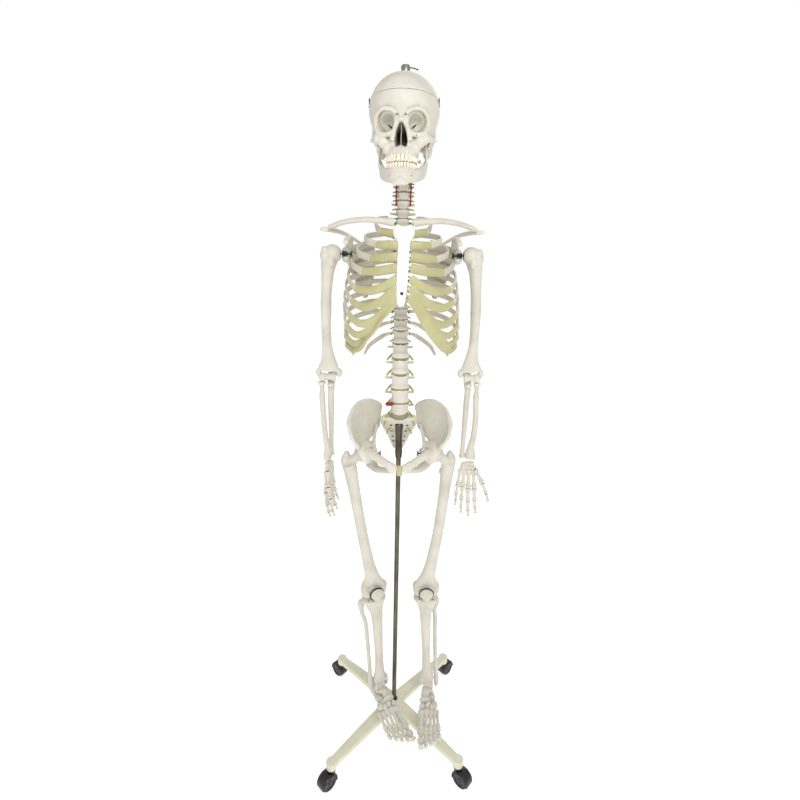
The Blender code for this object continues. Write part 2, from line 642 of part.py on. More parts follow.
def build_rib_cage():
    """Sternum, cartilages and the ten pairs of ribs they carry."""
    clay = bmesh.new()
    strap(clay, [(0, -0.0490, 1.4640, 0.020, 0.0050), (0, -0.0530, 1.4560, 0.027, 0.0060),
                 (0, -0.0650, 1.4370, 0.021, 0.0055), (0, -0.0740, 1.4250, 0.0155, 0.0048),
                 (0, -0.0840, 1.4030, 0.0150, 0.0048), (0, -0.0960, 1.3700, 0.0175, 0.0050),
                 (0, -0.1010, 1.3400, 0.0165, 0.0050), (0, -0.1020, 1.3220, 0.0090, 0.0042),
                 (0, -0.1020, 1.3020, 0.0050, 0.0032)], steps=3)
    for side in (1, -1):
        cartilages(clay, side)
        for number, row in RIBS.items():
            strap(clay, rib_stations(row, side, number), across=(0, 0, 1), steps=5,
                  sides=10)
    fuse("rib_cage", clay, (0, -0.08, 1.38), 0.0018, 2300, MATT, smooth=3)
    for side, word in ((1, "left"), (-1, "right")):
        for number, row in FLOATING.items():
            clay = bmesh.new()
            strap(clay, short_rib(row, side, number), across=(0, 0, 1), steps=5, sides=10)
            start = mirror_x((0.02, SPINE["T%d" % number][1], row[5]), side)
            fuse("rib_%d_%s" % (number, word), clay, start, 0.0015, 90, MATT, smooth=3)


# ---------------------------------------------------------------- shoulder girdle, arm
def build_clavicle(side, word):
    """S-shaped collar bone."""
    rows = [(0.0250, -0.0520, 1.4730, 0.0085, 0.0075), (0.045, -0.0610, 1.4745, 0.0062, 0.006),
            (0.075, -0.0600, 1.4765, 0.0055, 0.0052), (0.105, -0.0380, 1.4780, 0.0056, 0.005),
            (0.135, -0.0120, 1.4765, 0.0068, 0.0046), (0.158, 0.0020, 1.4730, 0.0085, 0.0044)]
    clay = bmesh.new()
    strap(clay, flip(rows, side), across=(0, 1, 0), steps=4)
    fuse("clavicle_" + word, clay, mirror_x(rows[0][:3], side), 0.0016, 96, MATT)


def build_scapula(side, word):
    """Shoulder blade: blade, spine with acromion, coracoid and socket."""
    grid = [[(0.072, 0.096, 1.446), (0.096, 0.078, 1.436), (0.126, 0.036, 1.424)],
            [(0.064, 0.102, 1.415), (0.096, 0.083, 1.410), (0.128, 0.040, 1.398)],
            [(0.064, 0.108, 1.375), (0.092, 0.099, 1.375), (0.119, 0.071, 1.370)],
            [(0.071, 0.112, 1.335), (0.088, 0.108, 1.335), (0.106, 0.096, 1.336)],
            [(0.083, 0.114, 1.304), (0.088, 0.112, 1.302), (0.093, 0.109, 1.304)]]
    grid = [[mirror_x(spot, side) for spot in row] for row in grid]
    clay = bmesh.new()
    sheet(clay, grid, 0.0036)
    border = [(0.124, 0.050, 1.392, 0.0045, 0.0040), (0.113, 0.086, 1.352, 0.004, 0.0036),
              (0.090, 0.110, 1.303, 0.0045, 0.0030)]
    strap(clay, flip(border, side), steps=4, sides=10)
    ball(clay, mirror_x((0.129, 0.022, 1.406), side), (0.011, 0.013, 0.018))
    ridge = [(0.066, 0.105, 1.416, 0.0030, 0.0040), (0.095, 0.096, 1.431, 0.0035, 0.0070),
             (0.128, 0.070, 1.449, 0.0040, 0.0080), (0.156, 0.044, 1.4560, 0.0048, 0.0090),
             (0.172, 0.022, 1.4560, 0.0040, 0.0095), (0.170, 0.008, 1.4550, 0.0038, 0.006)]
    strap(clay, flip(ridge, side), across=(0, 0, 1), steps=4)
    beak = [(0.120, 0.030, 1.424, 0.0070, 0.0070), (0.116, 0.006, 1.441, 0.0055, 0.0055),
            (0.118, -0.014, 1.440, 0.0050, 0.0045), (0.122, -0.026, 1.432, 0.0045, 0.004)]
    strap(clay, flip(beak, side), steps=3, sides=10)
    blade = fuse("scapula_" + word, clay, mirror_x((0.133, 0.012, 1.408), side), 0.0017,
                 380, MATT, smooth=3)
    clay = bmesh.new()
    centre = mirror_x(SHOULDER, side)
    ball(clay, centre, HUMERAL_HEAD + 0.0030)
    cut(blade, clay, "glenoid_" + word)
    clay = bmesh.new()
    disc(clay, centre - Vector((side * 0.030, 0, 0)), SCREW_RADIUS + 0.0008, 0.050,
         (1, 0, 0), 10)
    cut(blade, clay, "glenoid_bore_" + word)


def joint_screw(name, centre, side, inner, colour):
    """Through-screw of a ball joint: rod, flange and a ball in the moving bone."""
    clay = bmesh.new()
    length = inner
    disc(clay, centre - Vector((side * length / 2, 0, 0)), SCREW_RADIUS, length, (1, 0, 0), 8)
    screw = solid(name, clay, centre, (colour, 0.35, 0.9))
    clay = bmesh.new()
    ball(clay, centre, 0.0042, detail=1)
    cut(screw, clay, name + "_ball", "UNION")
    clay = bmesh.new()
    disc(clay, centre - Vector((side * (inner - 0.0010), 0, 0)), 0.0060, 0.0035, (1, 0, 0), 10)
    cut(screw, clay, name + "_nut", "UNION")
    return screw


def pocket(bone, centre, side, name, mouth=0.0150, depth=0.026):
    """Room for the screw's ball and the swing of its shank, opening inwards."""
    clay = bmesh.new()
    ball(clay, centre, 0.0058, detail=1)
    cut(bone, clay, name + "_ball_room")
    clay = bmesh.new()
    disc(clay, centre - Vector((side * depth / 2, 0, 0)), 0.0034, depth, (side, 0, 0), 12,
         mouth)
    for vert in clay.verts:
        vert.co.x = 2 * (centre.x - side * depth / 2) - vert.co.x
    cut(bone, clay, name + "_mouth")


def mix(one, two, t):
    """Blend two points."""
    return Vector(one) * (1 - t) + Vector(two) * t


def along(start, end, yaw, side, rows):
    """Stations given as (lateral, back, share, half width, half thickness)."""
    out = []
    for lateral, back, share, wide, thick in rows:
        spot = mix(start, end, share) + spin_z((lateral * side, back, 0), yaw)
        out.append((*spot, wide, thick))
    return out


def spot_at(start, end, yaw, side, lateral, back, up, share=0.0):
    """One landmark placed in a limb's own directions."""
    return mix(start, end, share) + spin_z((lateral * side, back, up), yaw)


def build_humerus(side, word):
    """Upper arm bone."""
    top, low = mirror_x(SHOULDER, side), mirror_x(ELBOW, side)
    clay = bmesh.new()
    ball(clay, top, HUMERAL_HEAD, detail=3)
    ball(clay, spot_at(top, low, 0, side, 0.013, -0.002, -0.008), (0.013, 0.016, 0.017))
    strap(clay, along(top, low, 0, side, [
        (0.006, 0.0, 0.03, 0.0170, 0.0170), (0.010, 0.0, 0.13, 0.0135, 0.0135),
        (0.011, 0.0, 0.30, 0.0105, 0.0108), (0.008, 0.0, 0.58, 0.0095, 0.0100),
        (0.003, 0.001, 0.80, 0.0120, 0.0090), (0.0, 0.000, 0.92, 0.0225, 0.0085),
        (0.0, -0.001, 0.965, 0.0270, 0.0085)]), steps=4)
    disc(clay, low + Vector((side * 0.0120, -0.001, 0)), 0.0095, 0.0160, (1, 0, 0), 24)
    disc(clay, low + Vector((-side * 0.0080, -0.001, 0)), 0.0098, 0.0240, (1, 0, 0), 24,
         0.0085)
    ball(clay, low + Vector((-side * 0.0270, 0.002, 0.008)), (0.0065, 0.007, 0.009))
    ball(clay, low + Vector((side * 0.0235, 0.001, 0.008)), (0.0060, 0.006, 0.008))
    bone = fuse("humerus_" + word, clay, top, 0.0020, 250, MATT)
    pocket(bone, top, side, "humerus_" + word)
    clay = bmesh.new()
    ball(clay, low + Vector((-side * 0.0060, 0.0150, 0.0150)), (0.0110, 0.0080, 0.0150),
         detail=2)
    cut(bone, clay, "olecranon_fossa_" + word)


def build_forearm(side, word):
    """Ulna and radius; they stay side by side, turned with the hand."""
    top, low = mirror_x(ELBOW, side), mirror_x(WRIST, side)
    yaw = HAND_YAW[side]
    thumb = spin_z((side, 0, 0), yaw)
    clay = bmesh.new()
    ulna_low = low - thumb * 0.0150 + Vector((0, 0, 0.012))
    ulna_top = top + Vector((-side * 0.006, 0, 0))
    strap(clay, [(*(ulna_top + Vector((0, 0.0165, 0.006))), 0.0095, 0.0045),
                 (*(ulna_top + Vector((0, 0.0150, -0.010))), 0.0100, 0.0065),
                 (*(ulna_top + Vector((0, 0.0040, -0.034))), 0.0080, 0.0085),
                 (*(mix(ulna_top, ulna_low, 0.45) + Vector((0, 0.003, 0))), 0.0058, 0.0062),
                 (*(ulna_low + Vector((0, 0, 0.022))), 0.0048, 0.0050),
                 (*ulna_low, 0.0068, 0.0068)], steps=4)
    ball(clay, ulna_top + Vector((0, -0.004, -0.0200)), (0.0095, 0.0080, 0.0065))
    ulna = fuse("ulna_" + word, clay, top, 0.0016, 130, MATT)
    clay = bmesh.new()
    disc(clay, top + Vector((-side * 0.004, -0.001, 0)), 0.0118, 0.0400, (1, 0, 0), 24)
    cut(ulna, clay, "trochlear_notch_" + word)
    clay = bmesh.new()
    head = top + Vector((side * 0.0155, -0.002, -0.0175))
    radius_low = low + thumb * 0.0060 + Vector((0, 0, 0.010))
    disc(clay, head, 0.0092, 0.0075, (0, 0, 1), 20)
    strap(clay, [(*head, 0.0070, 0.0070), (*(head + Vector((0, 0, -0.018))), 0.0056, 0.0056),
                 (*(head + Vector((0, 0, -0.034))), 0.0070, 0.0066),
                 (*(mix(head, radius_low, 0.5) + thumb * 0.007), 0.0060, 0.0055),
                 (*(radius_low + Vector((0, 0, 0.030))), 0.0080, 0.0070),
                 (*(radius_low + Vector((0, 0, 0.006))), 0.0122, 0.0085),
                 (*(radius_low + Vector((0, 0, -0.002))), 0.0122, 0.0080)],
          across=tuple(thumb), steps=4)
    fuse("radius_" + word, clay, top, 0.0016, 130, MATT)


def bone_run(clay, start, heading, length, thick, across):
    """One small long bone with knobbly ends; returns the far end."""
    end = start + heading * length
    strap(clay, [(*start, thick * 1.25, thick * 1.05), (*mix(start, end, 0.14), thick * 1.25,
                 thick * 1.05), (*mix(start, end, 0.5), thick * 0.72, thick * 0.66),
                 (*mix(start, end, 0.86), thick * 1.08, thick * 0.95),
                 (*end, thick * 1.0, thick * 0.9)], across=tuple(across), steps=2, sides=10)
    return end


def build_hand(side, word):
    """Hand as one wired-together piece, fingers slightly curled."""
    wrist = mirror_x(WRIST, side)
    yaw = HAND_YAW[side]
    thumb = spin_z((side, 0, 0), yaw)
    palm = spin_z((0, -1, 0), yaw)
    down = Vector((0, 0, -1))
    clay = bmesh.new()
    for shift, drop, size in ((0.010, 0.0075, 0.0070), (0.000, 0.0070, 0.0072),
                              (-0.0095, 0.0085, 0.0065), (0.016, 0.0185, 0.0068),
                              (0.006, 0.0180, 0.0070), (-0.003, 0.0180, 0.0072),
                              (-0.0125, 0.0180, 0.0070)):
        ball(clay, wrist + thumb * shift + down * drop, size, detail=2)
    fingers = ((0.0165, 0.0560, 0.0340, 0.0200, 0.0150, 0.055, 0.0047),
               (0.0045, 0.0545, 0.0380, 0.0240, 0.0160, 0.015, 0.0047),
               (-0.0065, 0.0490, 0.0350, 0.0230, 0.0160, -0.030, 0.0043),
               (-0.0160, 0.0450, 0.0270, 0.0165, 0.0140, -0.075, 0.0040))
    for shift, meta, near, middle, tip, splay, thick in fingers:
        spot = wrist + thumb * shift + down * 0.0220
        heading = (down + thumb * splay * 2.2).normalized()
        spot = bone_run(clay, spot, heading, meta, thick, thumb)
        for length, curl, scale in ((near, 0.10, 0.92), (middle, 0.26, 0.76),
                                    (tip, 0.38, 0.64)):
            heading = (down + thumb * splay * 1.6 + palm * curl).normalized()
            spot = bone_run(clay, spot - heading * 0.0015, heading, length + 0.0015,
                            thick * scale, thumb)
    spot = wrist + thumb * 0.0190 + palm * 0.0040 + down * 0.0200
    for length, out, forward, thick in ((0.0400, 0.62, 0.34, 0.0050), (0.0280, 0.42, 0.42, 0.0042),
                                        (0.0210, 0.30, 0.48, 0.0036)):
        heading = (down + thumb * out + palm * forward).normalized()
        spot = bone_run(clay, spot, heading, length, thick, palm)
    fuse("hand_" + word, clay, wrist, 0.0013, 480, MATT, smooth=3)


# ---------------------------------------------------------------- pelvis and leg
def build_hip_bone(side, word):
    """Ilium, ischium and pubis of one side, with the hip socket."""
    grid = [[(0.100, -0.036, 0.948), (0.094, -0.014, 0.945), (0.082, 0.014, 0.950),
             (0.066, 0.038, 0.962), (0.052, 0.056, 0.975)],
            [(0.108, -0.047, 0.968), (0.102, -0.020, 0.970), (0.090, 0.012, 0.975),
             (0.070, 0.042, 0.984), (0.050, 0.064, 0.995)],
            [(0.115, -0.054, 0.984), (0.115, -0.026, 0.998), (0.104, 0.012, 1.010),
             (0.078, 0.047, 1.015), (0.048, 0.072, 1.010)],
            [(0.117, -0.057, 0.990), (0.123, -0.030, 1.016), (0.112, 0.010, 1.040),
             (0.084, 0.048, 1.048), (0.048, 0.076, 1.028)]]
    grid = [[mirror_x(spot, side) for spot in row] for row in grid]
    clay = bmesh.new()
    sheet(clay, grid, 0.0062)
    crest = [(0.117, -0.057, 0.988, 0.0050, 0.0050), (0.124, -0.032, 1.016, 0.0048, 0.005),
             (0.113, 0.010, 1.042, 0.0050, 0.0050), (0.084, 0.048, 1.050, 0.0048, 0.005),
             (0.050, 0.076, 1.028, 0.0060, 0.0060), (0.050, 0.070, 1.000, 0.0055, 0.006)]
    strap(clay, flip(crest, side), across=(0, 0, 1), steps=4, sides=10)
    front = [(0.103, -0.040, 0.955, 0.0065, 0.0065), (0.107, -0.048, 0.968, 0.0050, 0.0050),
             (0.116, -0.056, 0.984, 0.0055, 0.0055)]
    strap(clay, flip(front, side), across=(1, 0, 0), steps=3, sides=10)
    centre = mirror_x(HIP, side)
    ball(clay, centre + Vector((-side * 0.0050, 0.001, 0.003)), (0.0310, 0.0320, 0.0320))
    sitting = [(0.084, 0.010, 0.925, 0.018, 0.014), (0.076, 0.020, 0.895, 0.013, 0.012),
               (0.066, 0.016, 0.868, 0.013, 0.014), (0.054, 0.000, 0.862, 0.008, 0.009),
               (0.034, -0.026, 0.878, 0.0055, 0.0075), (0.018, -0.050, 0.895, 0.006, 0.008)]
    strap(clay, flip(sitting, side), across=(1, 0, 0), steps=4)
    pubis = [(0.082, -0.020, 0.935, 0.012, 0.014), (0.058, -0.046, 0.933, 0.0070, 0.0080),
             (0.034, -0.060, 0.924, 0.0060, 0.0080), (0.016, -0.064, 0.910, 0.0075, 0.0120),
             (0.0085, -0.063, 0.905, 0.0070, 0.0140)]
    strap(clay, flip(pubis, side), across=(0, 1, 0), steps=4)
    bone = fuse("hip_bone_" + word, clay, mirror_x((0.05, 0.05, 1.0), side), 0.0022, 480,
                LIGHT)
    clay = bmesh.new()
    ball(clay, centre, SOCKET)
    cut(bone, clay, "acetabulum_" + word)
    clay = bmesh.new()
    opening = Vector((side * 0.86, -0.22, -0.46)).normalized()
    disc(clay, centre + opening * 0.0330, SOCKET + 0.0020, 0.0500, opening, 20, 0.0400)
    cut(bone, clay, "acetabulum_mouth_" + word)
    clay = bmesh.new()
    disc(clay, centre - Vector((side * 0.030, 0, 0)), SCREW_RADIUS + 0.0008, 0.060,
         (1, 0, 0), 10)
    cut(bone, clay, "hip_screw_bore_" + word)
    clay = bmesh.new()
    sacrum_lumps(clay, 0.0018, 1, 12)
    cut(bone, clay, "sacroiliac_face_" + word)
    clay = bmesh.new()
    block(clay, (0, -0.06, 0.905), (0.0135, 0.06, 0.06))
    cut(bone, clay, "symphysis_gap_" + word)


def build_symphysis():
    """Disc of cartilage between the pubic bones."""
    clay = bmesh.new()
    strap(clay, [(-0.0056, -0.0630, 0.9045, 0.0125, 0.0060), (0, -0.0635, 0.9045, 0.0135, 0.0070),
                 (0.0056, -0.0630, 0.9045, 0.0125, 0.0060)], across=(0, 0, 1), steps=2)
    solid("pubic_symphysis", clay, (0, -0.063, 0.905), (CARTILAGE, 0.5))


def build_femur(side, word):
    """Thigh bone with ball head, neck, trochanters and condyles."""
    top, low, yaw = mirror_x(HIP, side), KNEE[side], LEG_YAW[side]
    clay = bmesh.new()
    ball(clay, top, FEMORAL_HEAD, detail=3)
    strap(clay, [(*top, 0.014, 0.014),
                 (*spot_at(top, low, yaw * 0.4, side, 0.020, 0.000, -0.011), 0.0120, 0.0125),
                 (*spot_at(top, low, yaw * 0.4, side, 0.038, 0.003, -0.026), 0.0160, 0.0150)],
          across=(0, 1, 0), steps=3)
    ball(clay, spot_at(top, low, yaw * 0.4, side, 0.0410, 0.0060, -0.0220),
         (0.0120, 0.0150, 0.0200))
    ball(clay, spot_at(top, low, yaw * 0.4, side, 0.0200, 0.0150, -0.0560),
         (0.0090, 0.0090, 0.0130))
    strap(clay, along(top, low, yaw, side, [
        (0.036, 0.002, 0.07, 0.0160, 0.0150), (0.033, 0.000, 0.17, 0.0140, 0.0140),
        (0.028, -0.006, 0.35, 0.0125, 0.0130), (0.020, -0.008, 0.58, 0.0125, 0.0130),
        (0.010, -0.004, 0.78, 0.0150, 0.0140), (0.003, -0.002, 0.90, 0.0250, 0.0160),
        (0.000, 0.000, 0.97, 0.0330, 0.0175)]), steps=4)
    for lateral in (-0.0200, 0.0205):
        ball(clay, spot_at(low, low, yaw, side, lateral, 0.0005, 0.000),
             (0.0155, 0.0203, 0.0198), (0, 0, yaw), 3)
    ball(clay, spot_at(low, low, yaw, side, 0.001, -0.010, 0.010), (0.0210, 0.0125, 0.0150))
    bone = fuse("femur_" + word, clay, top, 0.0024, 320, MATT)
    pocket(bone, top, side, "femur_" + word)


def build_patella(side, word):
    """Knee cap; it travels with the shin."""
    clay = bmesh.new()
    spot = spot_at(KNEE[side], KNEE[side], LEG_YAW[side], side, 0.001, -0.0345, 0.0060)
    ball(clay, spot, (0.0185, 0.0078, 0.0190), (0, 0, LEG_YAW[side]), 2)
    solid("patella_" + word, clay, spot, MATT)


def build_shin(side, word):
    """Tibia and fibula."""
    top, low, yaw = KNEE[side], ANKLE[side], LEG_YAW[side]
    clay = bmesh.new()
    plate = spot_at(top, top, yaw, side, 0.0, 0.001, -0.0315)
    ball(clay, plate, (0.0365, 0.0215, 0.0095), (0, 0, yaw))
    strap(clay, along(top, low, yaw, side, [
        (0.000, 0.000, 0.085, 0.0330, 0.0190), (0.000, -0.002, 0.150, 0.0225, 0.0180),
        (-0.002, -0.006, 0.230, 0.0140, 0.0165), (-0.003, -0.006, 0.420, 0.0110, 0.0140),
        (-0.003, -0.004, 0.680, 0.0098, 0.0105), (-0.002, -0.001, 0.860, 0.0130, 0.0115),
        (-0.001, 0.000, 0.950, 0.0205, 0.0150)]), across=tuple(spin_z((1, 0, 0), yaw)), steps=4)
    ball(clay, spot_at(top, low, yaw, side, 0.001, -0.018, 0.0, 0.170), (0.0090, 0.0080, 0.0150))
    strap(clay, [(*spot_at(low, low, yaw, side, -0.0190, -0.001, 0.026), 0.0060, 0.0120),
                 (*spot_at(low, low, yaw, side, -0.0225, -0.001, 0.004), 0.0042, 0.0095),
                 (*spot_at(low, low, yaw, side, -0.0225, -0.001, -0.005), 0.0030, 0.0060)],
          across=tuple(spin_z((1, 0, 0), yaw)), steps=3)
    bone = fuse("tibia_" + word, clay, top, 0.0024, 240, MATT)
    clay = bmesh.new()
    disc(clay, low, 0.0168, 0.0345, tuple(spin_z((1, 0, 0), yaw)), 28)
    cut(bone, clay, "ankle_mortise_" + word)
    clay = bmesh.new()
    strap(clay, [(*spot_at(top, top, yaw, side, 0.0330, 0.022, -0.047), 0.0060, 0.0070),
                 (*spot_at(top, top, yaw, side, 0.0335, 0.023, -0.058), 0.0085, 0.0085),
                 (*spot_at(top, top, yaw, side, 0.0315, 0.021, -0.085), 0.0050, 0.0050),
                 (*spot_at(top, low, yaw, side, 0.0300, 0.016, 0.0, 0.50), 0.0048, 0.0050),
                 (*spot_at(top, low, yaw, side, 0.0280, 0.008, 0.0, 0.88), 0.0052, 0.0055),
                 (*spot_at(low, low, yaw, side, 0.0285, 0.005, 0.004), 0.0058, 0.0090),
                 (*spot_at(low, low, yaw, side, 0.0270, 0.006, -0.014), 0.0040, 0.0060)],
          across=tuple(spin_z((1, 0, 0), yaw)), steps=4)
    fuse("fibula_" + word, clay, top, 0.0016, 110, MATT)


def build_foot(side, word):
    """Foot as one wired-together piece, toes slightly raised."""
    ankle, yaw = ANKLE[side], FOOT_YAW[side]
    ahead = spin_z((0, -math.cos(FOOT_LIFT), 0), yaw) + Vector((0, 0, math.sin(FOOT_LIFT)))
    out = spin_z((side, 0, 0), yaw)
    up = ahead.cross(out) * side * -1
    if up.z < 0:
        up = -up

    def at(forward, lateral, rise):
        return ankle + ahead * forward + out * lateral + up * rise

    def lump(forward, lateral, rise, radii):
        ball(clay, at(forward, lateral, rise), radii, (-FOOT_LIFT, 0, yaw), 2)

    clay = bmesh.new()
    disc(clay, at(0.0, 0.0, 0.0), 0.0148, 0.0300, tuple(out), 28)
    lump(0.016, -0.006, -0.014, (0.0150, 0.0200, 0.0130))
    strap(clay, [(*at(0.024, 0.010, -0.030), 0.0150, 0.0120),
                 (*at(0.000, 0.006, -0.036), 0.0150, 0.0160),
                 (*at(-0.024, 0.004, -0.042), 0.0140, 0.0190),
                 (*at(-0.048, 0.003, -0.044), 0.0130, 0.0170),
                 (*at(-0.055, 0.003, -0.044), 0.0080, 0.0110)], across=tuple(out), steps=3)
    lump(0.002, 0.002, -0.020, (0.0170, 0.0240, 0.0130))
    lump(0.042, -0.008, -0.022, (0.0170, 0.0110, 0.0150))
    lump(0.045, 0.018, -0.036, (0.0130, 0.0150, 0.0120))
    lump(0.062, -0.014, -0.031, (0.0110, 0.0130, 0.0130))
    lump(0.060, 0.001, -0.028, (0.0100, 0.0120, 0.0130))
    lump(0.060, 0.011, -0.032, (0.0090, 0.0120, 0.0120))
    toes = ((-0.016, 0.068, -0.034, 0.056, -0.020, -0.052, (0.030, 0.022), 0.0085),
            (-0.003, 0.066, -0.030, 0.062, -0.006, -0.053, (0.024, 0.013, 0.010), 0.0056),
            (0.008, 0.064, -0.034, 0.059, 0.007, -0.054, (0.022, 0.011, 0.009), 0.0052),
            (0.018, 0.058, -0.040, 0.057, 0.019, -0.055, (0.020, 0.009, 0.009), 0.0050),
            (0.027, 0.050, -0.046, 0.056, 0.031, -0.056, (0.018, 0.008, 0.008), 0.0050))
    for base, start, rise, length, tip, low, bones, thick in toes:
        spot = at(start, base, rise)
        head = at(start + length, tip, low)
        heading = (head - spot).normalized()
        spot = bone_run(clay, spot - heading * 0.006, heading, length + 0.006, thick, out)
        aim = (ahead + out * (tip - base) * 3 - up * 0.02).normalized()
        for length in bones:
            spot = bone_run(clay, spot - aim * 0.001, aim, length + 0.001, thick * 0.84, out)
            thick = thick * 0.86
    fuse("foot_" + word, clay, ankle, 0.0016, 480, MATT, smooth=5)


# ---------------------------------------------------------------- skull
def braincase(clay):
    """Rounded vault shared by the cranium and its lift-off cap."""
    ball(clay, (0, 0.012, 1.6950), (0.0710, 0.0870, 0.0690), detail=4)
    ball(clay, (0, -0.030, 1.7000), (0.0560, 0.0520, 0.0520), detail=3)
    ball(clay, (0, 0.056, 1.6760), (0.0560, 0.0460, 0.0460), detail=3)
    for side in (1, -1):
        ball(clay, (side * 0.030, 0.030, 1.7080), (0.0420, 0.0520, 0.0520), detail=3)


def cavity(clay):
    """Hollow inside of the vault."""
    ball(clay, (0, 0.016, 1.7000), (0.0650, 0.0780, 0.0610))


def below_and_above(clay, above):
    """A slab filling one side of the cap cut."""
    shift = 0.0598 if above else -0.0598
    block(clay, (0, 0.01, CAP_CUT + shift), (0.30, 0.30, 0.1204))


def face_lumps(clay):
    """Face, cheek bones, jaw arch with the upper teeth, and skull base."""
    ball(clay, (0, 0.014, 1.6400), (0.0520, 0.0560, 0.0260))
    strap(clay, [(-0.047, -0.063, 1.672, 0.006, 0.006), (-0.026, -0.079, 1.677, 0.007, 0.007),
                 (0, -0.080, 1.673, 0.010, 0.007), (0.026, -0.079, 1.677, 0.007, 0.007),
                 (0.047, -0.063, 1.672, 0.006, 0.006)], across=(0, 0, 1), steps=4)
    ball(clay, (0, -0.058, 1.6310), (0.0370, 0.0230, 0.0200))
    ball(clay, (0, -0.060, 1.6120), (0.0290, 0.0250, 0.0180))
    ball(clay, (0, -0.040, 1.6500), (0.0400, 0.0400, 0.0280))
    strap(clay, [(0, -0.076, 1.672, 0.0090, 0.0060), (0, -0.085, 1.655, 0.0060, 0.0060),
                 (0, -0.091, 1.644, 0.0075, 0.0045)], steps=3)
    arch = [(0.0265, -0.034, 1.598), (0.0255, -0.052, 1.597), (0.0185, -0.072, 1.596),
            (0.0, -0.0815, 1.596)]
    full = arch + [(-x, y, z) for x, y, z in arch[-2::-1]]
    strap(clay, [(*spot, 0.0065, 0.0060) for spot in full], across=(0, 0, 1), steps=4)
    strap(clay, [(x, y, z - 0.0055, 0.0050, 0.0038) for x, y, z in full], across=(0, 0, 1),
          steps=4)
    for side in (1, -1):
        strap(clay, flip([(0.046, -0.064, 1.674, 0.006, 0.005), (0.0500, -0.0600, 1.656, 0.004, 0.0045),
                          (0.0500, -0.0580, 1.640, 0.007, 0.006)], side), steps=3)
        ball(clay, (side * 0.0475, -0.0580, 1.6330), (0.0120, 0.0120, 0.0100))
        strap(clay, flip([(0.052, -0.052, 1.6340, 0.0070, 0.0040), (0.0630, -0.030, 1.6370, 0.0048, 0.0026),
                          (0.0670, -0.008, 1.6410, 0.0042, 0.0026), (0.0645, 0.008, 1.6440, 0.0045, 0.0040),
                          (0.0580, 0.018, 1.6480, 0.0050, 0.0070)], side), across=(0, 0, 1), steps=4)
        ball(clay, (side * 0.0510, 0.0290, 1.6250), (0.0100, 0.0125, 0.0180))
        ball(clay, (side * 0.0125, 0.0080, 1.6175), (0.0055, 0.0095, 0.0060))


def build_skull(turn):
    """Cranium with its face, the lift-off cap, jaw and fittings."""
    clay = bmesh.new()
    braincase(clay)
    face_lumps(clay)
    skull = fuse("cranium", clay, (0, 0, 0), 0.0022, 1200, LIGHT)
    clay = bmesh.new()
    below_and_above(clay, True)
    cut(skull, clay, "cap_removed")
    clay = bmesh.new()
    cavity(clay)
    cut(skull, clay, "brain_room")
    clay = bmesh.new()
    disc(clay, (0, 0.020, 1.630), 0.0140, 0.060, sides=24)
    cut(skull, clay, "foramen_magnum")
    for side, word in ((1, "left"), (-1, "right")):
        clay = bmesh.new()
        ball(clay, (side * 0.0315, -0.0740, 1.6550), (0.0175, 0.0290, 0.0155),
             (0, 0, side * 0.30))
        cut(skull, clay, "orbit_" + word)
        clay = bmesh.new()
        ball(clay, (side * 0.0510, 0.0010, 1.6370), (0.0118, 0.0085, 0.0085))
        cut(skull, clay, "jaw_socket_" + word)
        clay = bmesh.new()
        ball(clay, (side * 0.0470, -0.0230, 1.6300), (0.0075, 0.0160, 0.0150))
        cut(skull, clay, "coronoid_room_" + word)
        clay = bmesh.new()
        disc(clay, (side * 0.0700, -0.004, 1.7010), 0.0021, 0.0120, (1, 0, 0), 12)
        cut(skull, clay, "hook_bore_" + word)
    clay = bmesh.new()
    ball(clay, (0, -0.0870, 1.6280), (0.0115, 0.0220, 0.0150))
    cut(skull, clay, "nasal_opening")
    clay = bmesh.new()
    ball(clay, (0, -0.0440, 1.5920), (0.0190, 0.0290, 0.0120))
    cut(skull, clay, "palate")
    clay = bmesh.new()
    braincase(clay)
    cap = fuse("calvarium", clay, (0, 0, 0), 0.0026, 520, LIGHT)
    clay = bmesh.new()
    below_and_above(clay, False)
    cut(cap, clay, "cranium_removed")
    clay = bmesh.new()
    cavity(clay)
    cut(cap, clay, "cap_room")
    clay = bmesh.new()
    disc(clay, (0, 0.020, 1.755), 0.0070, 0.060, sides=20)
    cut(cap, clay, "rod_hole")
    jaw = build_mandible()
    fittings = build_fittings()
    for obj in [skull, cap, jaw] + fittings:
        seat_on_head(obj, turn)
    for tool in list(tools.objects):
        if tool.name in HEAD_TOOLS:
            seat_on_head(tool, turn)


HEAD_TOOLS = ("cap_removed", "brain_room", "foramen_magnum", "orbit_left", "orbit_right",
              "jaw_socket_left", "jaw_socket_right", "coronoid_room_left",
              "coronoid_room_right", "hook_bore_left", "hook_bore_right",
              "nasal_opening", "palate", "cranium_removed", "cap_room", "rod_hole",
              "bush_bore", "cap_hook_left_ring", "cap_hook_right_ring",
              "cap_hook_left_pin", "cap_hook_right_pin", "hanger_cross_pin")


def seat_on_head(obj, turn):
    """Hang an object on the head's turning axis without moving its mesh twice."""
    obj.parent = turn
    obj.matrix_parent_inverse = Matrix.Translation(-HEAD_AXIS)


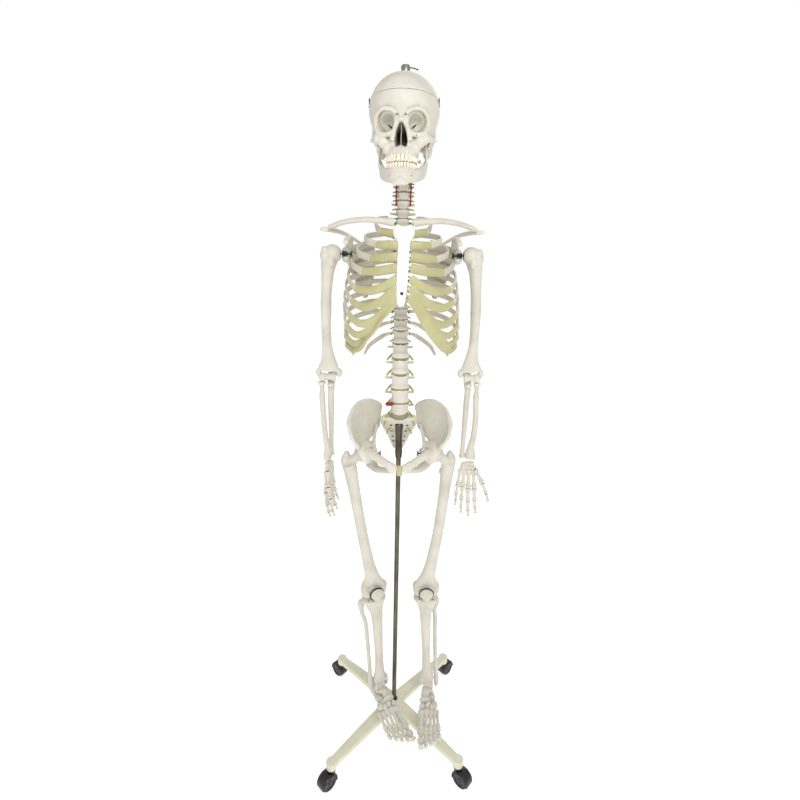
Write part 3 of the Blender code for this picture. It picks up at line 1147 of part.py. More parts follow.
def build_mandible():
    """Lower jaw with its teeth."""
    clay = bmesh.new()
    half = [(0.0450, -0.004, 1.5790, 0.0130, 0.0036), (0.0420, -0.026, 1.5690, 0.0115, 0.0046),
            (0.0330, -0.054, 1.5640, 0.0115, 0.0052), (0.0185, -0.0730, 1.5605, 0.0120, 0.0052),
            (0.0, -0.0790, 1.5590, 0.0125, 0.0056)]
    full = half + [(-row[0], *row[1:]) for row in half[-2::-1]]
    strap(clay, full, across=(0, 0, 1), steps=4)
    ball(clay, (0, -0.0810, 1.5510), (0.0150, 0.0075, 0.0085))
    arch = [(0.0300, -0.036, 1.5785), (0.0275, -0.052, 1.5785), (0.0190, -0.0700, 1.5785),
            (0.0, -0.0780, 1.5785)]
    full = arch + [(-x, y, z) for x, y, z in arch[-2::-1]]
    strap(clay, [(*spot, 0.0062, 0.0038) for spot in full], across=(0, 0, 1), steps=4)
    for side in (1, -1):
        strap(clay, flip([(0.0450, -0.006, 1.5750, 0.0130, 0.0034), (0.0480, -0.009, 1.5950, 0.0150, 0.0032),
                          (0.0490, -0.010, 1.6120, 0.0150, 0.0030)], side), across=(0, 1, 0), steps=3)
        strap(clay, flip([(0.0490, -0.001, 1.6100, 0.0070, 0.0036), (0.0505, 0.001, 1.6260, 0.0052, 0.0040),
                          (0.0510, 0.001, 1.6350, 0.0050, 0.0070)], side), across=(0, 1, 0), steps=3)
        ball(clay, (side * 0.0510, 0.001, 1.6370), (0.0085, 0.0050, 0.0045))
        strap(clay, flip([(0.0490, -0.019, 1.6080, 0.0065, 0.0032), (0.0480, -0.023, 1.6220, 0.0048, 0.0028),
                          (0.0470, -0.026, 1.6330, 0.0020, 0.0018)], side), across=(0, 1, 0), steps=3)
    return fuse("mandible", clay, (0, 0, 0), 0.0016, 520, LIGHT, smooth=3)


def build_fittings():
    """Cap hooks at the temples and the hanger bush with its cross pin."""
    made = []
    for side, word in ((1, "left"), (-1, "right")):
        clay = bmesh.new()
        pivot = Vector((side * 0.0740, -0.004, 1.7010))
        hook = [(0.0, 0.0), (-0.0060, 0.0080), (-0.0105, 0.0160), (-0.0085, 0.0215),
                (-0.0035, 0.0205), (-0.0030, 0.0170)]
        rod(clay, [pivot + Vector((side * 0.0006, y, z)) for y, z in hook], 0.0011,
            steps=2, sides=6)
        piece = solid("cap_hook_" + word, clay, (0, 0, 0), (DARK_STEEL, 0.3, 0.9))
        clay = bmesh.new()
        disc(clay, pivot, 0.0034, 0.0024, (1, 0, 0), 12)
        cut(piece, clay, "cap_hook_%s_ring" % word, "UNION")
        clay = bmesh.new()
        disc(clay, pivot - Vector((side * 0.0022, 0, 0)), 0.0013, 0.0060, (1, 0, 0), 8)
        cut(piece, clay, "cap_hook_%s_pin" % word, "UNION")
        made.append(piece)
    clay = bmesh.new()
    disc(clay, (0, 0.020, 1.7740), 0.0092, 0.0180, sides=18)
    bush = solid("hanger_bush", clay, (0, 0, 0), (STEEL, 0.3, 0.9))
    clay = bmesh.new()
    disc(clay, (0, 0.020, 1.7600), 0.0046, 0.0220, sides=12)
    cut(bush, clay, "bush_bore")
    clay = bmesh.new()
    disc(clay, (0.0120, 0.020, 1.7770), 0.0010, 0.0240, (1, 0, 0), 6)
    cut(bush, clay, "hanger_cross_pin", "UNION")
    made.append(bush)
    return made


# ---------------------------------------------------------------- assembly
def build_all():
    """Make every piece of the model."""
    build_base()
    build_pole()
    build_sleeve()
    for label, direction in corners().items():
        build_caster(label, direction)
    build_spine()
    build_rib_cage()
    build_symphysis()
    for side, word in ((1, "left"), (-1, "right")):
        build_clavicle(side, word)
        build_scapula(side, word)
        joint_screw("shoulder_screw_" + word, mirror_x(SHOULDER, side), side, 0.0420, DARK_STEEL)
        build_humerus(side, word)
        build_forearm(side, word)
        build_hand(side, word)
        build_hip_bone(side, word)
        joint_screw("hip_screw_" + word, mirror_x(HIP, side), side, 0.0440, DARK_STEEL)
        build_femur(side, word)
        build_patella(side, word)
        build_shin(side, word)
        build_foot(side, word)
    turn = bpy.data.objects.new("head_turn_axis", None)
    turn.location = HEAD_AXIS
    turn.rotation_euler = (0, 0, HEAD_TURN)
    parts.objects.link(turn)
    build_skull(turn)
    for obj in list(parts.objects) + list(tools.objects):
        if obj.parent is None:
            obj.location += TO_ORIGIN


build_all()
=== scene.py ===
"""Looks of the classroom skeleton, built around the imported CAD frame. Metres, +Z up."""
import json
import math

import bmesh
import bpy
import numpy as np
from mathutils import Matrix, Vector


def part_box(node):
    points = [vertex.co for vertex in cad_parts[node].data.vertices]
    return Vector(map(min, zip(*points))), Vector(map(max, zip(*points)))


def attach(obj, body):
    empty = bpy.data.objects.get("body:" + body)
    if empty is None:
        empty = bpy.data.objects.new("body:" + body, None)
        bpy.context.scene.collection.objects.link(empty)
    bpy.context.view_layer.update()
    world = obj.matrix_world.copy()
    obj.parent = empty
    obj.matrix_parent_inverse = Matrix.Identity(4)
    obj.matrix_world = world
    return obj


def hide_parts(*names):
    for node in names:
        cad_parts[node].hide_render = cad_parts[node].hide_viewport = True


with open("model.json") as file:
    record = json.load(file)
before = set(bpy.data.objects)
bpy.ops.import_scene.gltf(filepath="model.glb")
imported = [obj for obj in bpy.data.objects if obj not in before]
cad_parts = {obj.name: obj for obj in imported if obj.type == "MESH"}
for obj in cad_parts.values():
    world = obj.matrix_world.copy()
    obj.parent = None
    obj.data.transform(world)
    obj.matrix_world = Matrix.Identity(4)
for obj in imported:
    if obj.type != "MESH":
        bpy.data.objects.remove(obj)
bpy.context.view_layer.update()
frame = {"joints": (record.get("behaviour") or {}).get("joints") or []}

# ---------------------------------------------------------------- the frame's landmarks
JOINTS = {joint["name"]: joint for joint in frame["joints"]}
SIDES = ((1, "left"), (-1, "right"))


def spot(joint):
    """Where a joint stands."""
    return Vector(JOINTS[joint]["pos_m"])


def heading(joint):
    """A joint's axis."""
    return Vector(JOINTS[joint]["axis"]).normalized()


def yaw_of(axis, side=1):
    """How far a sideways axis is turned about the vertical."""
    return math.atan2(axis.y * side, axis.x * side)


# Stations below are drawn with these joints at these places; the matrices move them to
# wherever the frame has the joints.
DRAWN_HIPS = Vector((0.0, -0.005, 0.925))
DRAWN_HEAD = Vector((0.0, 0.020, 1.610))
HIPS = (spot("hip_left_swing") + spot("hip_right_swing")) / 2
TORSO = Matrix.Translation(HIPS - DRAWN_HIPS)
HEAD_TURN = yaw_of(heading("jaw_open"))
HEAD = (Matrix.Translation(spot("head_turn")) @ Matrix.Rotation(HEAD_TURN, 4, "Z")
        @ Matrix.Translation(-DRAWN_HEAD))
POLE = spot("torso_turn")


# ---------------------------------------------------------------- modelling clay
def catmull(a, b, c, d, t):
    """Catmull-Rom value between b and c."""
    return 0.5 * (2 * b + (c - a) * t + (2 * a - 5 * b + 4 * c - d) * t * t
                  + (3 * b - a - 3 * c + d) * t * t * t)


def flow(rows, steps):
    """Run a smooth curve through rows of numbers."""
    rows = np.array([tuple(row) for row in rows], float)
    last = len(rows) - 1
    out = []
    for i in range(last):
        before, start, end, after = (rows[max(i - 1, 0)], rows[i], rows[i + 1],
                                     rows[min(i + 2, last)])
        for k in range(steps):
            out.append(catmull(before, start, end, after, k / steps))
    out.append(rows[-1])
    return out


class Clay:
    """Overlapping closed lumps that are fused into one skin."""

    def __init__(self, matrix=Matrix()):
        self.mesh = bmesh.new()
        self.matrix = matrix

    def ball(self, centre, radii, turn=(0, 0, 0), detail=3):
        if isinstance(radii, (int, float)):
            radii = (radii, radii, radii)
        spin = (Matrix.Rotation(turn[2], 4, "Z") @ Matrix.Rotation(turn[1], 4, "Y")
                @ Matrix.Rotation(turn[0], 4, "X"))
        matrix = (self.matrix @ Matrix.Translation(centre) @ spin
                  @ Matrix.Diagonal((*radii, 1.0)))
        bmesh.ops.create_icosphere(self.mesh, subdivisions=detail, radius=1.0,
                                   matrix=matrix)
        return self

    def disc(self, centre, radius, length, axis=(0, 0, 1), sides=40, radius2=None):
        turn = Vector((0, 0, 1)).rotation_difference(Vector(axis)).to_matrix().to_4x4()
        end = radius if radius2 is None else radius2
        bmesh.ops.create_cone(self.mesh, cap_ends=True, segments=sides, radius1=radius,
                              radius2=end, depth=length,
                              matrix=self.matrix @ Matrix.Translation(centre) @ turn)
        return self

    def block(self, centre, size, turn=(0, 0, 0)):
        spin = (Matrix.Rotation(turn[2], 4, "Z") @ Matrix.Rotation(turn[1], 4, "Y")
                @ Matrix.Rotation(turn[0], 4, "X"))
        matrix = (self.matrix @ Matrix.Translation(centre) @ spin
                  @ Matrix.Diagonal((*size, 1.0)))
        bmesh.ops.create_cube(self.mesh, size=1.0, matrix=matrix)
        return self

    def strap(self, stations, across=(1, 0, 0), steps=5, sides=14, square=1.0):
        """Loft rounded sections through (x, y, z, half width, half thickness)."""
        rows = flow(stations, steps)
        spots = [Vector(row[:3]) for row in rows]
        loops = []
        across = Vector(across)
        for i, here in enumerate(spots):
            ahead = (spots[min(i + 1, len(spots) - 1)] - spots[max(i - 1, 0)]).normalized()
            side = (across - ahead * ahead.dot(across)).normalized()
            other = ahead.cross(side)
            wide, thick = max(rows[i][3], 0.0002), max(rows[i][4], 0.0002)
            loop = []
            for k in range(sides):
                angle = 2 * math.pi * k / sides
                c, s = math.cos(angle), math.sin(angle)
                c = math.copysign(abs(c) ** square, c)
                s = math.copysign(abs(s) ** square, s)
                place = here + side * wide * c + other * thick * s
                loop.append(self.mesh.verts.new(self.matrix @ place))
            loops.append(loop)
        for one, two in zip(loops, loops[1:]):
            for k in range(sides):
                j = (k + 1) % sides
                self.mesh.faces.new((one[k], one[j], two[j], two[k]))
        self.mesh.faces.new(loops[0][::-1])
        self.mesh.faces.new(loops[-1])
        return self

    def rod(self, points, radius, steps=4, sides=12, across=(1, 0, 0)):
        rows = [(*point, radius, radius) for point in points]
        return self.strap(rows, across, steps, sides)

    def sheet(self, grid, thickness, steps=4):
        """Plate through a grid of (x, y, z) with one thickness, or (x, y, z, t)."""
        columns = [flow(row, steps) for row in grid]
        rows = [flow(column, steps) for column in zip(*columns)]
        skin = bmesh.new()
        verts = [[skin.verts.new(place[:3]) for place in row] for row in rows]
        for one, two in zip(verts, verts[1:]):
            for a, b, c, d in zip(one, one[1:], two[1:], two):
                skin.faces.new((a, b, c, d))
        bmesh.ops.recalc_face_normals(skin, faces=skin.faces)
        skin.normal_update()
        front, back = [], []
        for line, values in zip(verts, rows):
            for vert, value in zip(line, values):
                half = (value[3] if len(value) > 3 else thickness) / 2
                front.append(self.mesh.verts.new(self.matrix @ (vert.co + vert.normal * half)))
                back.append(self.mesh.verts.new(self.matrix @ (vert.co - vert.normal * half)))
        wide = len(verts[0])
        high = len(verts)
        at = lambda r, c: r * wide + c
        for r in range(high - 1):
            for c in range(wide - 1):
                quad = (at(r, c), at(r, c + 1), at(r + 1, c + 1), at(r + 1, c))
                self.mesh.faces.new([front[i] for i in quad])
                self.mesh.faces.new([back[i] for i in quad[::-1]])
        rim = ([at(0, c) for c in range(wide)] + [at(r, wide - 1) for r in range(1, high)]
               + [at(high - 1, c) for c in range(wide - 2, -1, -1)]
               + [at(r, 0) for r in range(high - 2, 0, -1)])
        for one, two in zip(rim, rim[1:] + rim[:1]):
            self.mesh.faces.new((front[two], front[one], back[one], back[two]))
        skin.free()
        return self

    def object(self, name):
        bmesh.ops.recalc_face_normals(self.mesh, faces=self.mesh.faces)
        mesh = bpy.data.meshes.new(name)
        self.mesh.to_mesh(mesh)
        self.mesh.free()
        obj = bpy.data.objects.new(name, mesh)
        bpy.context.scene.collection.objects.link(obj)
        return obj


def lathe(clay, ring, sides, axis_matrix=Matrix()):
    """Turn a closed outline of (radius, height) about the vertical."""
    loops = []
    for k in range(sides):
        angle = 2 * math.pi * k / sides
        loop = []
        for radius, height in ring:
            place = Vector((radius * math.cos(angle), radius * math.sin(angle), height))
            loop.append(clay.mesh.verts.new(clay.matrix @ axis_matrix @ place))
        loops.append(loop)
    for one, two in zip(loops, loops[1:] + loops[:1]):
        for k in range(len(ring)):
            j = (k + 1) % len(ring)
            clay.mesh.faces.new((one[k], two[k], two[j], one[j]))


def settle(obj):
    """Replace the object's mesh by the mesh its modifiers make."""
    graph = bpy.context.evaluated_depsgraph_get()
    mesh = bpy.data.meshes.new_from_object(obj.evaluated_get(graph))
    old = obj.data
    obj.modifiers.clear()
    obj.data = mesh
    mesh.name = obj.name
    bpy.data.meshes.remove(old)
    return obj


def remesh(obj, voxel, smooth):
    """One even skin over whatever the object holds."""
    step = obj.modifiers.new("fuse", "REMESH")
    step.mode = "VOXEL"
    step.voxel_size = voxel
    if smooth:
        soften = obj.modifiers.new("soften", "SMOOTH")
        soften.factor = 0.5
        soften.iterations = smooth
    return settle(obj)


def thin(obj, faces):
    """Bring the object down to about this many triangles."""
    count = sum(len(face.vertices) - 2 for face in obj.data.polygons)
    if count > faces:
        step = obj.modifiers.new("thin", "DECIMATE")
        step.ratio = faces / count
        settle(obj)
    return obj


def carve(obj, clay, voxel=0.0):
    """Take a tool shape out of the object; overlapping tool lumps are fused first."""
    tool = clay.object("tool")
    if voxel:
        remesh(tool, voxel, 0)
    step = obj.modifiers.new("carve", "BOOLEAN")
    step.operation = "DIFFERENCE"
    step.solver = "MANIFOLD"
    step.object = tool
    settle(obj)
    mesh = tool.data
    bpy.data.objects.remove(tool)
    bpy.data.meshes.remove(mesh)
    return obj


def shade_hollows(obj, rounds=3):
    """Store how hollow (0) or proud (1) each point of the skin is."""
    mesh = obj.data
    count = len(mesh.vertices)
    co = np.empty(count * 3)
    mesh.vertices.foreach_get("co", co)
    co = co.reshape(-1, 3)
    normal = np.empty(count * 3)
    mesh.vertices.foreach_get("normal", normal)
    normal = normal.reshape(-1, 3)
    edge = np.empty(len(mesh.edges) * 2, dtype=np.int64)
    mesh.edges.foreach_get("vertices", edge)
    a, b = edge.reshape(-1, 2).T
    run = co[b] - co[a]
    length = np.maximum(np.linalg.norm(run, axis=1), 1e-6)
    bend = np.zeros(count)
    share = np.zeros(count)
    np.add.at(bend, a, np.einsum("ij,ij->i", run, normal[a]) / length ** 2)
    np.add.at(bend, b, np.einsum("ij,ij->i", -run, normal[b]) / length ** 2)
    np.add.at(share, a, 1)
    np.add.at(share, b, 1)
    value = -bend / np.maximum(share, 1)
    for _ in range(rounds):
        total = value.copy()
        np.add.at(total, a, value[b])
        np.add.at(total, b, value[a])
        value = total / (share + 1)
    proud = np.clip(0.5 + value * 0.0025, 0.0, 1.0)
    layer = mesh.attributes.new("proud", "FLOAT", "POINT")
    layer.data.foreach_set("value", proud.astype(np.float32))
    # empty layer for painted shade in deep cavities
    deep_shade = mesh.attributes.new("deep_shade", "FLOAT", "POINT")
    deep_shade.data.foreach_set("value", np.zeros(count, np.float32))


def deep_shade(obj, matrix, centre, radii, amount=1.0, edge=0.35):
    """Paint shade into the skin inside an ellipsoid, fading over its outer part."""
    mesh = obj.data
    count = len(mesh.vertices)
    co = np.empty(count * 3)
    mesh.vertices.foreach_get("co", co)
    back = np.array(matrix.inverted())
    co = co.reshape(-1, 3) @ back[:3, :3].T + back[:3, 3]
    far = np.linalg.norm((co - np.array(centre)) / np.array(radii), axis=1)
    value = np.clip((1.0 - far) / edge, 0.0, 1.0) * amount
    layer = mesh.attributes["deep_shade"].data
    old = np.empty(count, np.float32)
    layer.foreach_get("value", old)
    layer.foreach_set("value", np.maximum(old, value).astype(np.float32))


def finish_piece(obj, body, material, nodes=(), smooth=True):
    """Material, shading, body and the CAD nodes the piece stands for."""
    obj.data.materials.clear()
    obj.data.materials.append(material)
    if smooth:
        obj.data.polygons.foreach_set("use_smooth", [True] * len(obj.data.polygons))
    obj.data.update()
    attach(obj, body)
    if nodes:
        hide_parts(*nodes)
    return obj


def bone(name, clay, body, nodes=(), voxel=0.0014, faces=4000, smooth=4, material=None,
         tools=(), rounds=3):
    """Fuse clay into a bone, carve it, and dress it."""
    obj = remesh(clay.object(name), voxel, smooth if not tools else 1)
    for tool in tools:
        carve(obj, tool)
    if tools:
        remesh(obj, voxel, smooth)
    thin(obj, faces)
    shade_hollows(obj, rounds)
    return finish_piece(obj, body, material or IVORY, nodes)


def fitting(name, clay, body, material, nodes=(), bevel=0.0,
            smooth=True):
    """A machined piece straight from its faces, with its edges broken."""
    obj = clay.object(name)
    if bevel:
        step = obj.modifiers.new("edges", "BEVEL")
        step.width = bevel
        step.segments = 2
        step.limit_method = "ANGLE"
        step.angle_limit = math.radians(35)
        step.harden_normals = False
        settle(obj)
    finish_piece(obj, body, material, nodes, smooth)
    if smooth:
        obj.data.set_sharp_from_angle(angle=math.radians(38))
    return obj


# ---------------------------------------------------------------- materials
def new_material(name, roughness, metallic=0.0):
    """An empty Principled material and handy links."""
    mat = bpy.data.materials.new(name)
    mat.use_nodes = True
    tree = mat.node_tree
    shader = tree.nodes["Principled BSDF"]
    shader.inputs["Roughness"].default_value = roughness
    shader.inputs["Metallic"].default_value = metallic
    return mat, tree, shader


def node(tree, kind, **values):
    """Add a node and set its plain properties."""
    made = tree.nodes.new(kind)
    for key, value in values.items():
        setattr(made, key, value)
    return made


def noise(tree, scale, detail=3.0, rough=0.55):
    """Noise in object metres."""
    where = node(tree, "ShaderNodeTexCoord")
    made = node(tree, "ShaderNodeTexNoise")
    made.inputs["Scale"].default_value = scale
    made.inputs["Detail"].default_value = detail
    made.inputs["Roughness"].default_value = rough
    tree.links.new(where.outputs["Object"], made.inputs["Vector"])
    return made.outputs["Fac"]


def ramp(tree, value, stops):
    """Colour ramp over a value; stops are (place, colour)."""
    made = node(tree, "ShaderNodeValToRGB")
    keys = made.color_ramp.elements
    while len(keys) < len(stops):
        keys.new(0.5)
    for key, (place, colour) in zip(keys, stops):
        key.position = place
        key.color = (*colour, 1.0) if len(colour) == 3 else colour
    tree.links.new(value, made.inputs["Fac"])
    return made.outputs["Color"]


def grey(tree, value, stops):
    """Value ramp."""
    return ramp(tree, value, [(place, (level,) * 3) for place, level in stops])


def blend(tree, factor, one, two, mode="MIX"):
    """Mix two colours; any of the three may be a socket or a plain value."""
    made = node(tree, "ShaderNodeMix", data_type="RGBA", blend_type=mode)
    for socket, value in ((made.inputs[0], factor), (made.inputs[6], one),
                          (made.inputs[7], two)):
        if hasattr(value, "links"):
            tree.links.new(value, socket)
        elif isinstance(value, (int, float)):
            socket.default_value = value
        else:
            socket.default_value = (*value, 1.0)
    return made.outputs[2]


def bump(tree, shader, heights, distance):
    """Bump from (height socket, share) pairs."""
    total = None
    for socket, share in heights:
        scaled = node(tree, "ShaderNodeMath", operation="MULTIPLY")
        tree.links.new(socket, scaled.inputs[0])
        scaled.inputs[1].default_value = share
        if total is None:
            total = scaled.outputs[0]
        else:
            added = node(tree, "ShaderNodeMath", operation="ADD")
            tree.links.new(total, added.inputs[0])
            tree.links.new(scaled.outputs[0], added.inputs[1])
            total = added.outputs[0]
    made = node(tree, "ShaderNodeBump")
    made.inputs["Distance"].default_value = distance
    made.inputs["Strength"].default_value = 0.6
    tree.links.new(total, made.inputs["Height"])
    tree.links.new(made.outputs["Normal"], shader.inputs["Normal"])


def attribute(tree, name):
    """A stored value of the skin."""
    return node(tree, "ShaderNodeAttribute", attribute_name=name).outputs["Fac"]


def bone_material(name, colour, shade, hollow, roughness=0.50, hollows=0.8):
    """Moulded plastic bone: mottled tone, painted shade in the hollows, painted highlight on the high spots, painted
    shade deep in cavities.
    """
    mat, tree, shader = new_material(name, roughness)
    mottled = blend(tree, grey(tree, noise(tree, 22, 4), [(0.35, 0.0), (0.70, 1.0)]),
                    colour, shade)
    speckle = grey(tree, noise(tree, 260, 2), [(0.58, 0.0), (0.76, 0.09)])
    mottled = blend(tree, speckle, mottled, hollow)
    # painted shade: the dark colour laid into the hollows and creases of the skin, where shade falls
    crease_shade = grey(tree, attribute(tree, "proud"), [(0.18, hollows), (0.46, 0.0)])
    crease_shaded = blend(tree, crease_shade, mottled, hollow)
    # painted highlight: a lighter copy of the colour laid on the proud points
    light = [min(1.0, c * 1.09 + 0.02) for c in colour]
    proud_highlight = grey(tree, attribute(tree, "proud"), [(0.58, 0.0), (0.85, 0.75)])
    proud_highlight = blend(tree, proud_highlight, crease_shaded, light)
    # painted shade: dark brown over the deep cavities marked on the skin
    final = blend(tree, attribute(tree, "deep_shade"), proud_highlight, (0.030, 0.018, 0.012))
    tree.links.new(final, shader.inputs["Base Color"])
    gloss = grey(tree, noise(tree, 60, 3), [(0.3, roughness - 0.09), (0.75, roughness + 0.1)])
    tree.links.new(gloss, shader.inputs["Roughness"])
    shader.inputs["Subsurface Weight"].default_value = 0.0
    bump(tree, shader, [(noise(tree, 150, 4), 1.0), (noise(tree, 900, 2), 0.25)], 0.0005)
    return mat


def plastic_material(name, colour, shade, roughness, grain=500.0, depth=0.0002):
    """Plain moulded plastic with faint mottling and fine grain."""
    mat, tree, shader = new_material(name, roughness)
    tone = blend(tree, grey(tree, noise(tree, 30, 3), [(0.3, 0.0), (0.75, 1.0)]), colour,
                 shade)
    scuffs = grey(tree, noise(tree, 120, 5, 0.7), [(0.62, 0.0), (0.75, 0.35)])
    tone = blend(tree, scuffs, tone, [c * 0.75 for c in shade])
    tree.links.new(tone, shader.inputs["Base Color"])
    gloss = grey(tree, noise(tree, 45, 4), [(0.3, roughness - 0.07), (0.8, roughness + 0.12)])
    tree.links.new(gloss, shader.inputs["Roughness"])
    bump(tree, shader, [(noise(tree, grain, 3), 1.0)], depth)
    return mat


def metal_material(name, colour, dark, roughness, along=(1, 1, 18)):
    """Drawn steel: streaks along the length, with dull and bright patches."""
    mat, tree, shader = new_material(name, roughness, 1.0)
    where = node(tree, "ShaderNodeTexCoord")
    stretch = node(tree, "ShaderNodeMapping")
    stretch.inputs["Scale"].default_value = [420.0 / value for value in along]
    tree.links.new(where.outputs["Object"], stretch.inputs["Vector"])
    streak = node(tree, "ShaderNodeTexNoise")
    streak.inputs["Scale"].default_value = 1.0
    streak.inputs["Detail"].default_value = 4.0
    tree.links.new(stretch.outputs["Vector"], streak.inputs["Vector"])
    tone = blend(tree, grey(tree, streak.outputs["Fac"], [(0.35, 0.0), (0.7, 1.0)]), colour,
                 dark)
    patch = grey(tree, noise(tree, 25, 4), [(0.45, 0.0), (0.8, 0.5)])
    tone = blend(tree, patch, tone, dark)
    tree.links.new(tone, shader.inputs["Base Color"])
    gloss = grey(tree, streak.outputs["Fac"], [(0.3, roughness - 0.08), (0.8, roughness + 0.15)])
    tree.links.new(gloss, shader.inputs["Roughness"])
    bump(tree, shader, [(streak.outputs["Fac"], 1.0)], 0.00012)
    return mat


IVORY = bone_material("ivory_plastic", (0.64, 0.612, 0.530), (0.54, 0.510, 0.430), (0.25, 0.215, 0.155))
SKULL = bone_material("skull_plastic", (0.66, 0.630, 0.550), (0.56, 0.530, 0.450), (0.25, 0.21, 0.155))
LIGHT = bone_material("light_plastic", (0.67, 0.640, 0.560), (0.58, 0.545, 0.465), (0.25, 0.21, 0.15))
# painted shade: a darker copy of the bone colour for the ribs and the nasal septum
SHADY = bone_material("rib_shaded_plastic", (0.62, 0.580, 0.490), (0.50, 0.460, 0.375), (0.23, 0.19, 0.135))
WHITE = bone_material("breastbone_plastic", (0.88, 0.87, 0.82), (0.82, 0.80, 0.73), (0.50, 0.45, 0.34), hollows=0.5)
TOOTH = bone_material("tooth_enamel", (0.80, 0.74, 0.62), (0.70, 0.62, 0.47), (0.22, 0.13, 0.07), 0.32, hollows=1.0)
CARTILAGE = bone_material("cartilage_plastic", (0.47, 0.445, 0.235), (0.40, 0.375, 0.185), (0.22, 0.19, 0.08), 0.42)
DISC = bone_material("disc_plastic", (0.52, 0.49, 0.36), (0.44, 0.41, 0.28), (0.22, 0.19, 0.10), 0.45)
NERVE = plastic_material("nerve_plastic", (0.42, 0.44, 0.05), (0.30, 0.31, 0.04), 0.40)
ARTERY = plastic_material("artery_plastic", (0.42, 0.020, 0.030), (0.28, 0.012, 0.018), 0.32)
RED = plastic_material("slipped_disc_plastic", (0.36, 0.012, 0.012), (0.16, 0.006, 0.008), 0.25)
POLE_STEEL = metal_material("pole_steel", (0.17, 0.160, 0.120), (0.075, 0.070, 0.050), 0.30)
DARK_STEEL = metal_material("dark_screw_steel", (0.11, 0.10, 0.085), (0.035, 0.032, 0.028), 0.34, (3, 3, 3))
BRIGHT_STEEL = metal_material("hanger_steel", (0.46, 0.44, 0.40), (0.27, 0.26, 0.23), 0.30, (6, 6, 1))
BASE = plastic_material("base_plastic", (0.70, 0.690, 0.530), (0.62, 0.605, 0.445), 0.40)
CASTER = plastic_material("caster_plastic", (0.006, 0.006, 0.0065), (0.012, 0.012, 0.012), 0.34)
TREAD = plastic_material("tread_rubber", (0.022, 0.022, 0.022), (0.045, 0.044, 0.042), 0.62, 800)
# painted shade: near-black for the inside of the hanger bore and round the kneecaps
SHADE_BLACK = plastic_material("gap_shade_black", (0.006, 0.005, 0.005), (0.012, 0.010, 0.009), 0.9)
# painted shade: dark brown for the nasal cavity; no piece uses it
NASAL_SHADE = plastic_material("nasal_shade_brown", (0.070, 0.042, 0.030), (0.030, 0.018, 0.013), 0.7)


# ---------------------------------------------------------------- roller stand
CASTERS = ("front_left", "front_right", "rear_left", "rear_right")
BASE_LOW, BASE_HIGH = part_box("base_star")
HUB_TOP = BASE_HIGH[2]


def build_base():
    """Hub, four sloping ridged arms and the caster bosses."""
    clay = Clay(Matrix.Translation((POLE.x, POLE.y, 0)))
    clay.disc((0, 0, (0.069 + HUB_TOP - 0.001) / 2), 0.0325, HUB_TOP - 0.070, sides=48)
    reach = (spot("caster_front_left_swivel") - POLE).xy.length
    for name in CASTERS:
        away = (spot("caster_" + name + "_swivel") - POLE).xy.normalized()
        across = (-away.y, away.x, 0)
        rows = ((0.0, 0.0195, 0.0112, 0.0828), (0.04, 0.0190, 0.0112, 0.0820),
                (0.10, 0.0175, 0.0115, 0.0784), (0.17, 0.0150, 0.0110, 0.0738),
                (reach, 0.0120, 0.0100, 0.0672))
        clay.strap([(away.x * far, away.y * far, z, half, tall)
                    for far, half, tall, z in rows], across, 5, 24, 0.45)
        ridge = [(away.x * far, away.y * far, z + tall - 0.001, half * 0.42, 0.0022)
                 for far, half, tall, z in rows]
        clay.strap(ridge, across, 5, 16, 0.7)
        tip = away * reach
        clay.disc((tip.x, tip.y, 0.0670), 0.0145, 0.0225, sides=40)
        clay.ball((tip.x, tip.y, 0.0765), (0.0148, 0.0148, 0.0042))
    obj = remesh(clay.object("base_star_shell"), 0.0011, 3)
    thin(obj, 22000)
    shade_hollows(obj)
    finish_piece(obj, "stand", BASE, ("base_star",))
    clay = Clay(Matrix.Translation((POLE.x, POLE.y, 0)))
    ring = [(0.0075, 0.0), (0.0150, 0.0), (0.0174, -0.0008), (0.0186, -0.0024),
            (0.0285, -0.0034), (0.0300, -0.0050), (0.0300, -0.0090), (0.0075, -0.0090)]
    lathe(clay, [(radius, HUB_TOP + rise) for radius, rise in ring], 48)
    fitting("hub_collar", clay, "stand", BASE, bevel=0.0006)
    clay = Clay(Matrix.Translation((POLE.x, POLE.y, 0)))
    ring = [(0.0068, 0.0016), (0.0098, 0.0016), (0.0106, 0.0008), (0.0106, -0.001), (0.0068, -0.001)]
    lathe(clay, [(radius, HUB_TOP + rise) for radius, rise in ring], 36)
    fitting("pole_clamp_ring", clay, "stand", DARK_STEEL, bevel=0.0003)


def build_pole():
    """Drawn steel pole and the thicker sleeve that carries the pelvis."""
    low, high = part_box("stand_pole")
    radius = (high[0] - low[0]) / 2
    clay = Clay(Matrix.Translation((POLE.x, POLE.y, 0)))
    lathe(clay, [(0.0, low[2]), (radius, low[2]), (radius, high[2] - 0.001),
                 (radius - 0.001, high[2]), (0.0, high[2])][1:-1] + [(0.0004, high[2]),
                                                                   (0.0004, low[2])], 40)
    fitting("pole_tube", clay, "stand", POLE_STEEL, ("stand_pole",))
    low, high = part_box("pole_sleeve")
    radius = (high[0] - low[0]) / 2
    clay = Clay(Matrix.Translation((POLE.x, POLE.y, 0)))
    lathe(clay, [(0.0067, low[2]), (radius * 0.90, low[2]), (radius * 1.05, low[2] + 0.012),
                 (radius * 1.06, low[2] + 0.020), (radius, low[2] + 0.030),
                 (radius, high[2] - 0.002), (radius - 0.001, high[2]), (0.0067, high[2])], 40)
    fitting("sleeve_tube", clay, "torso", POLE_STEEL, ("pole_sleeve",))


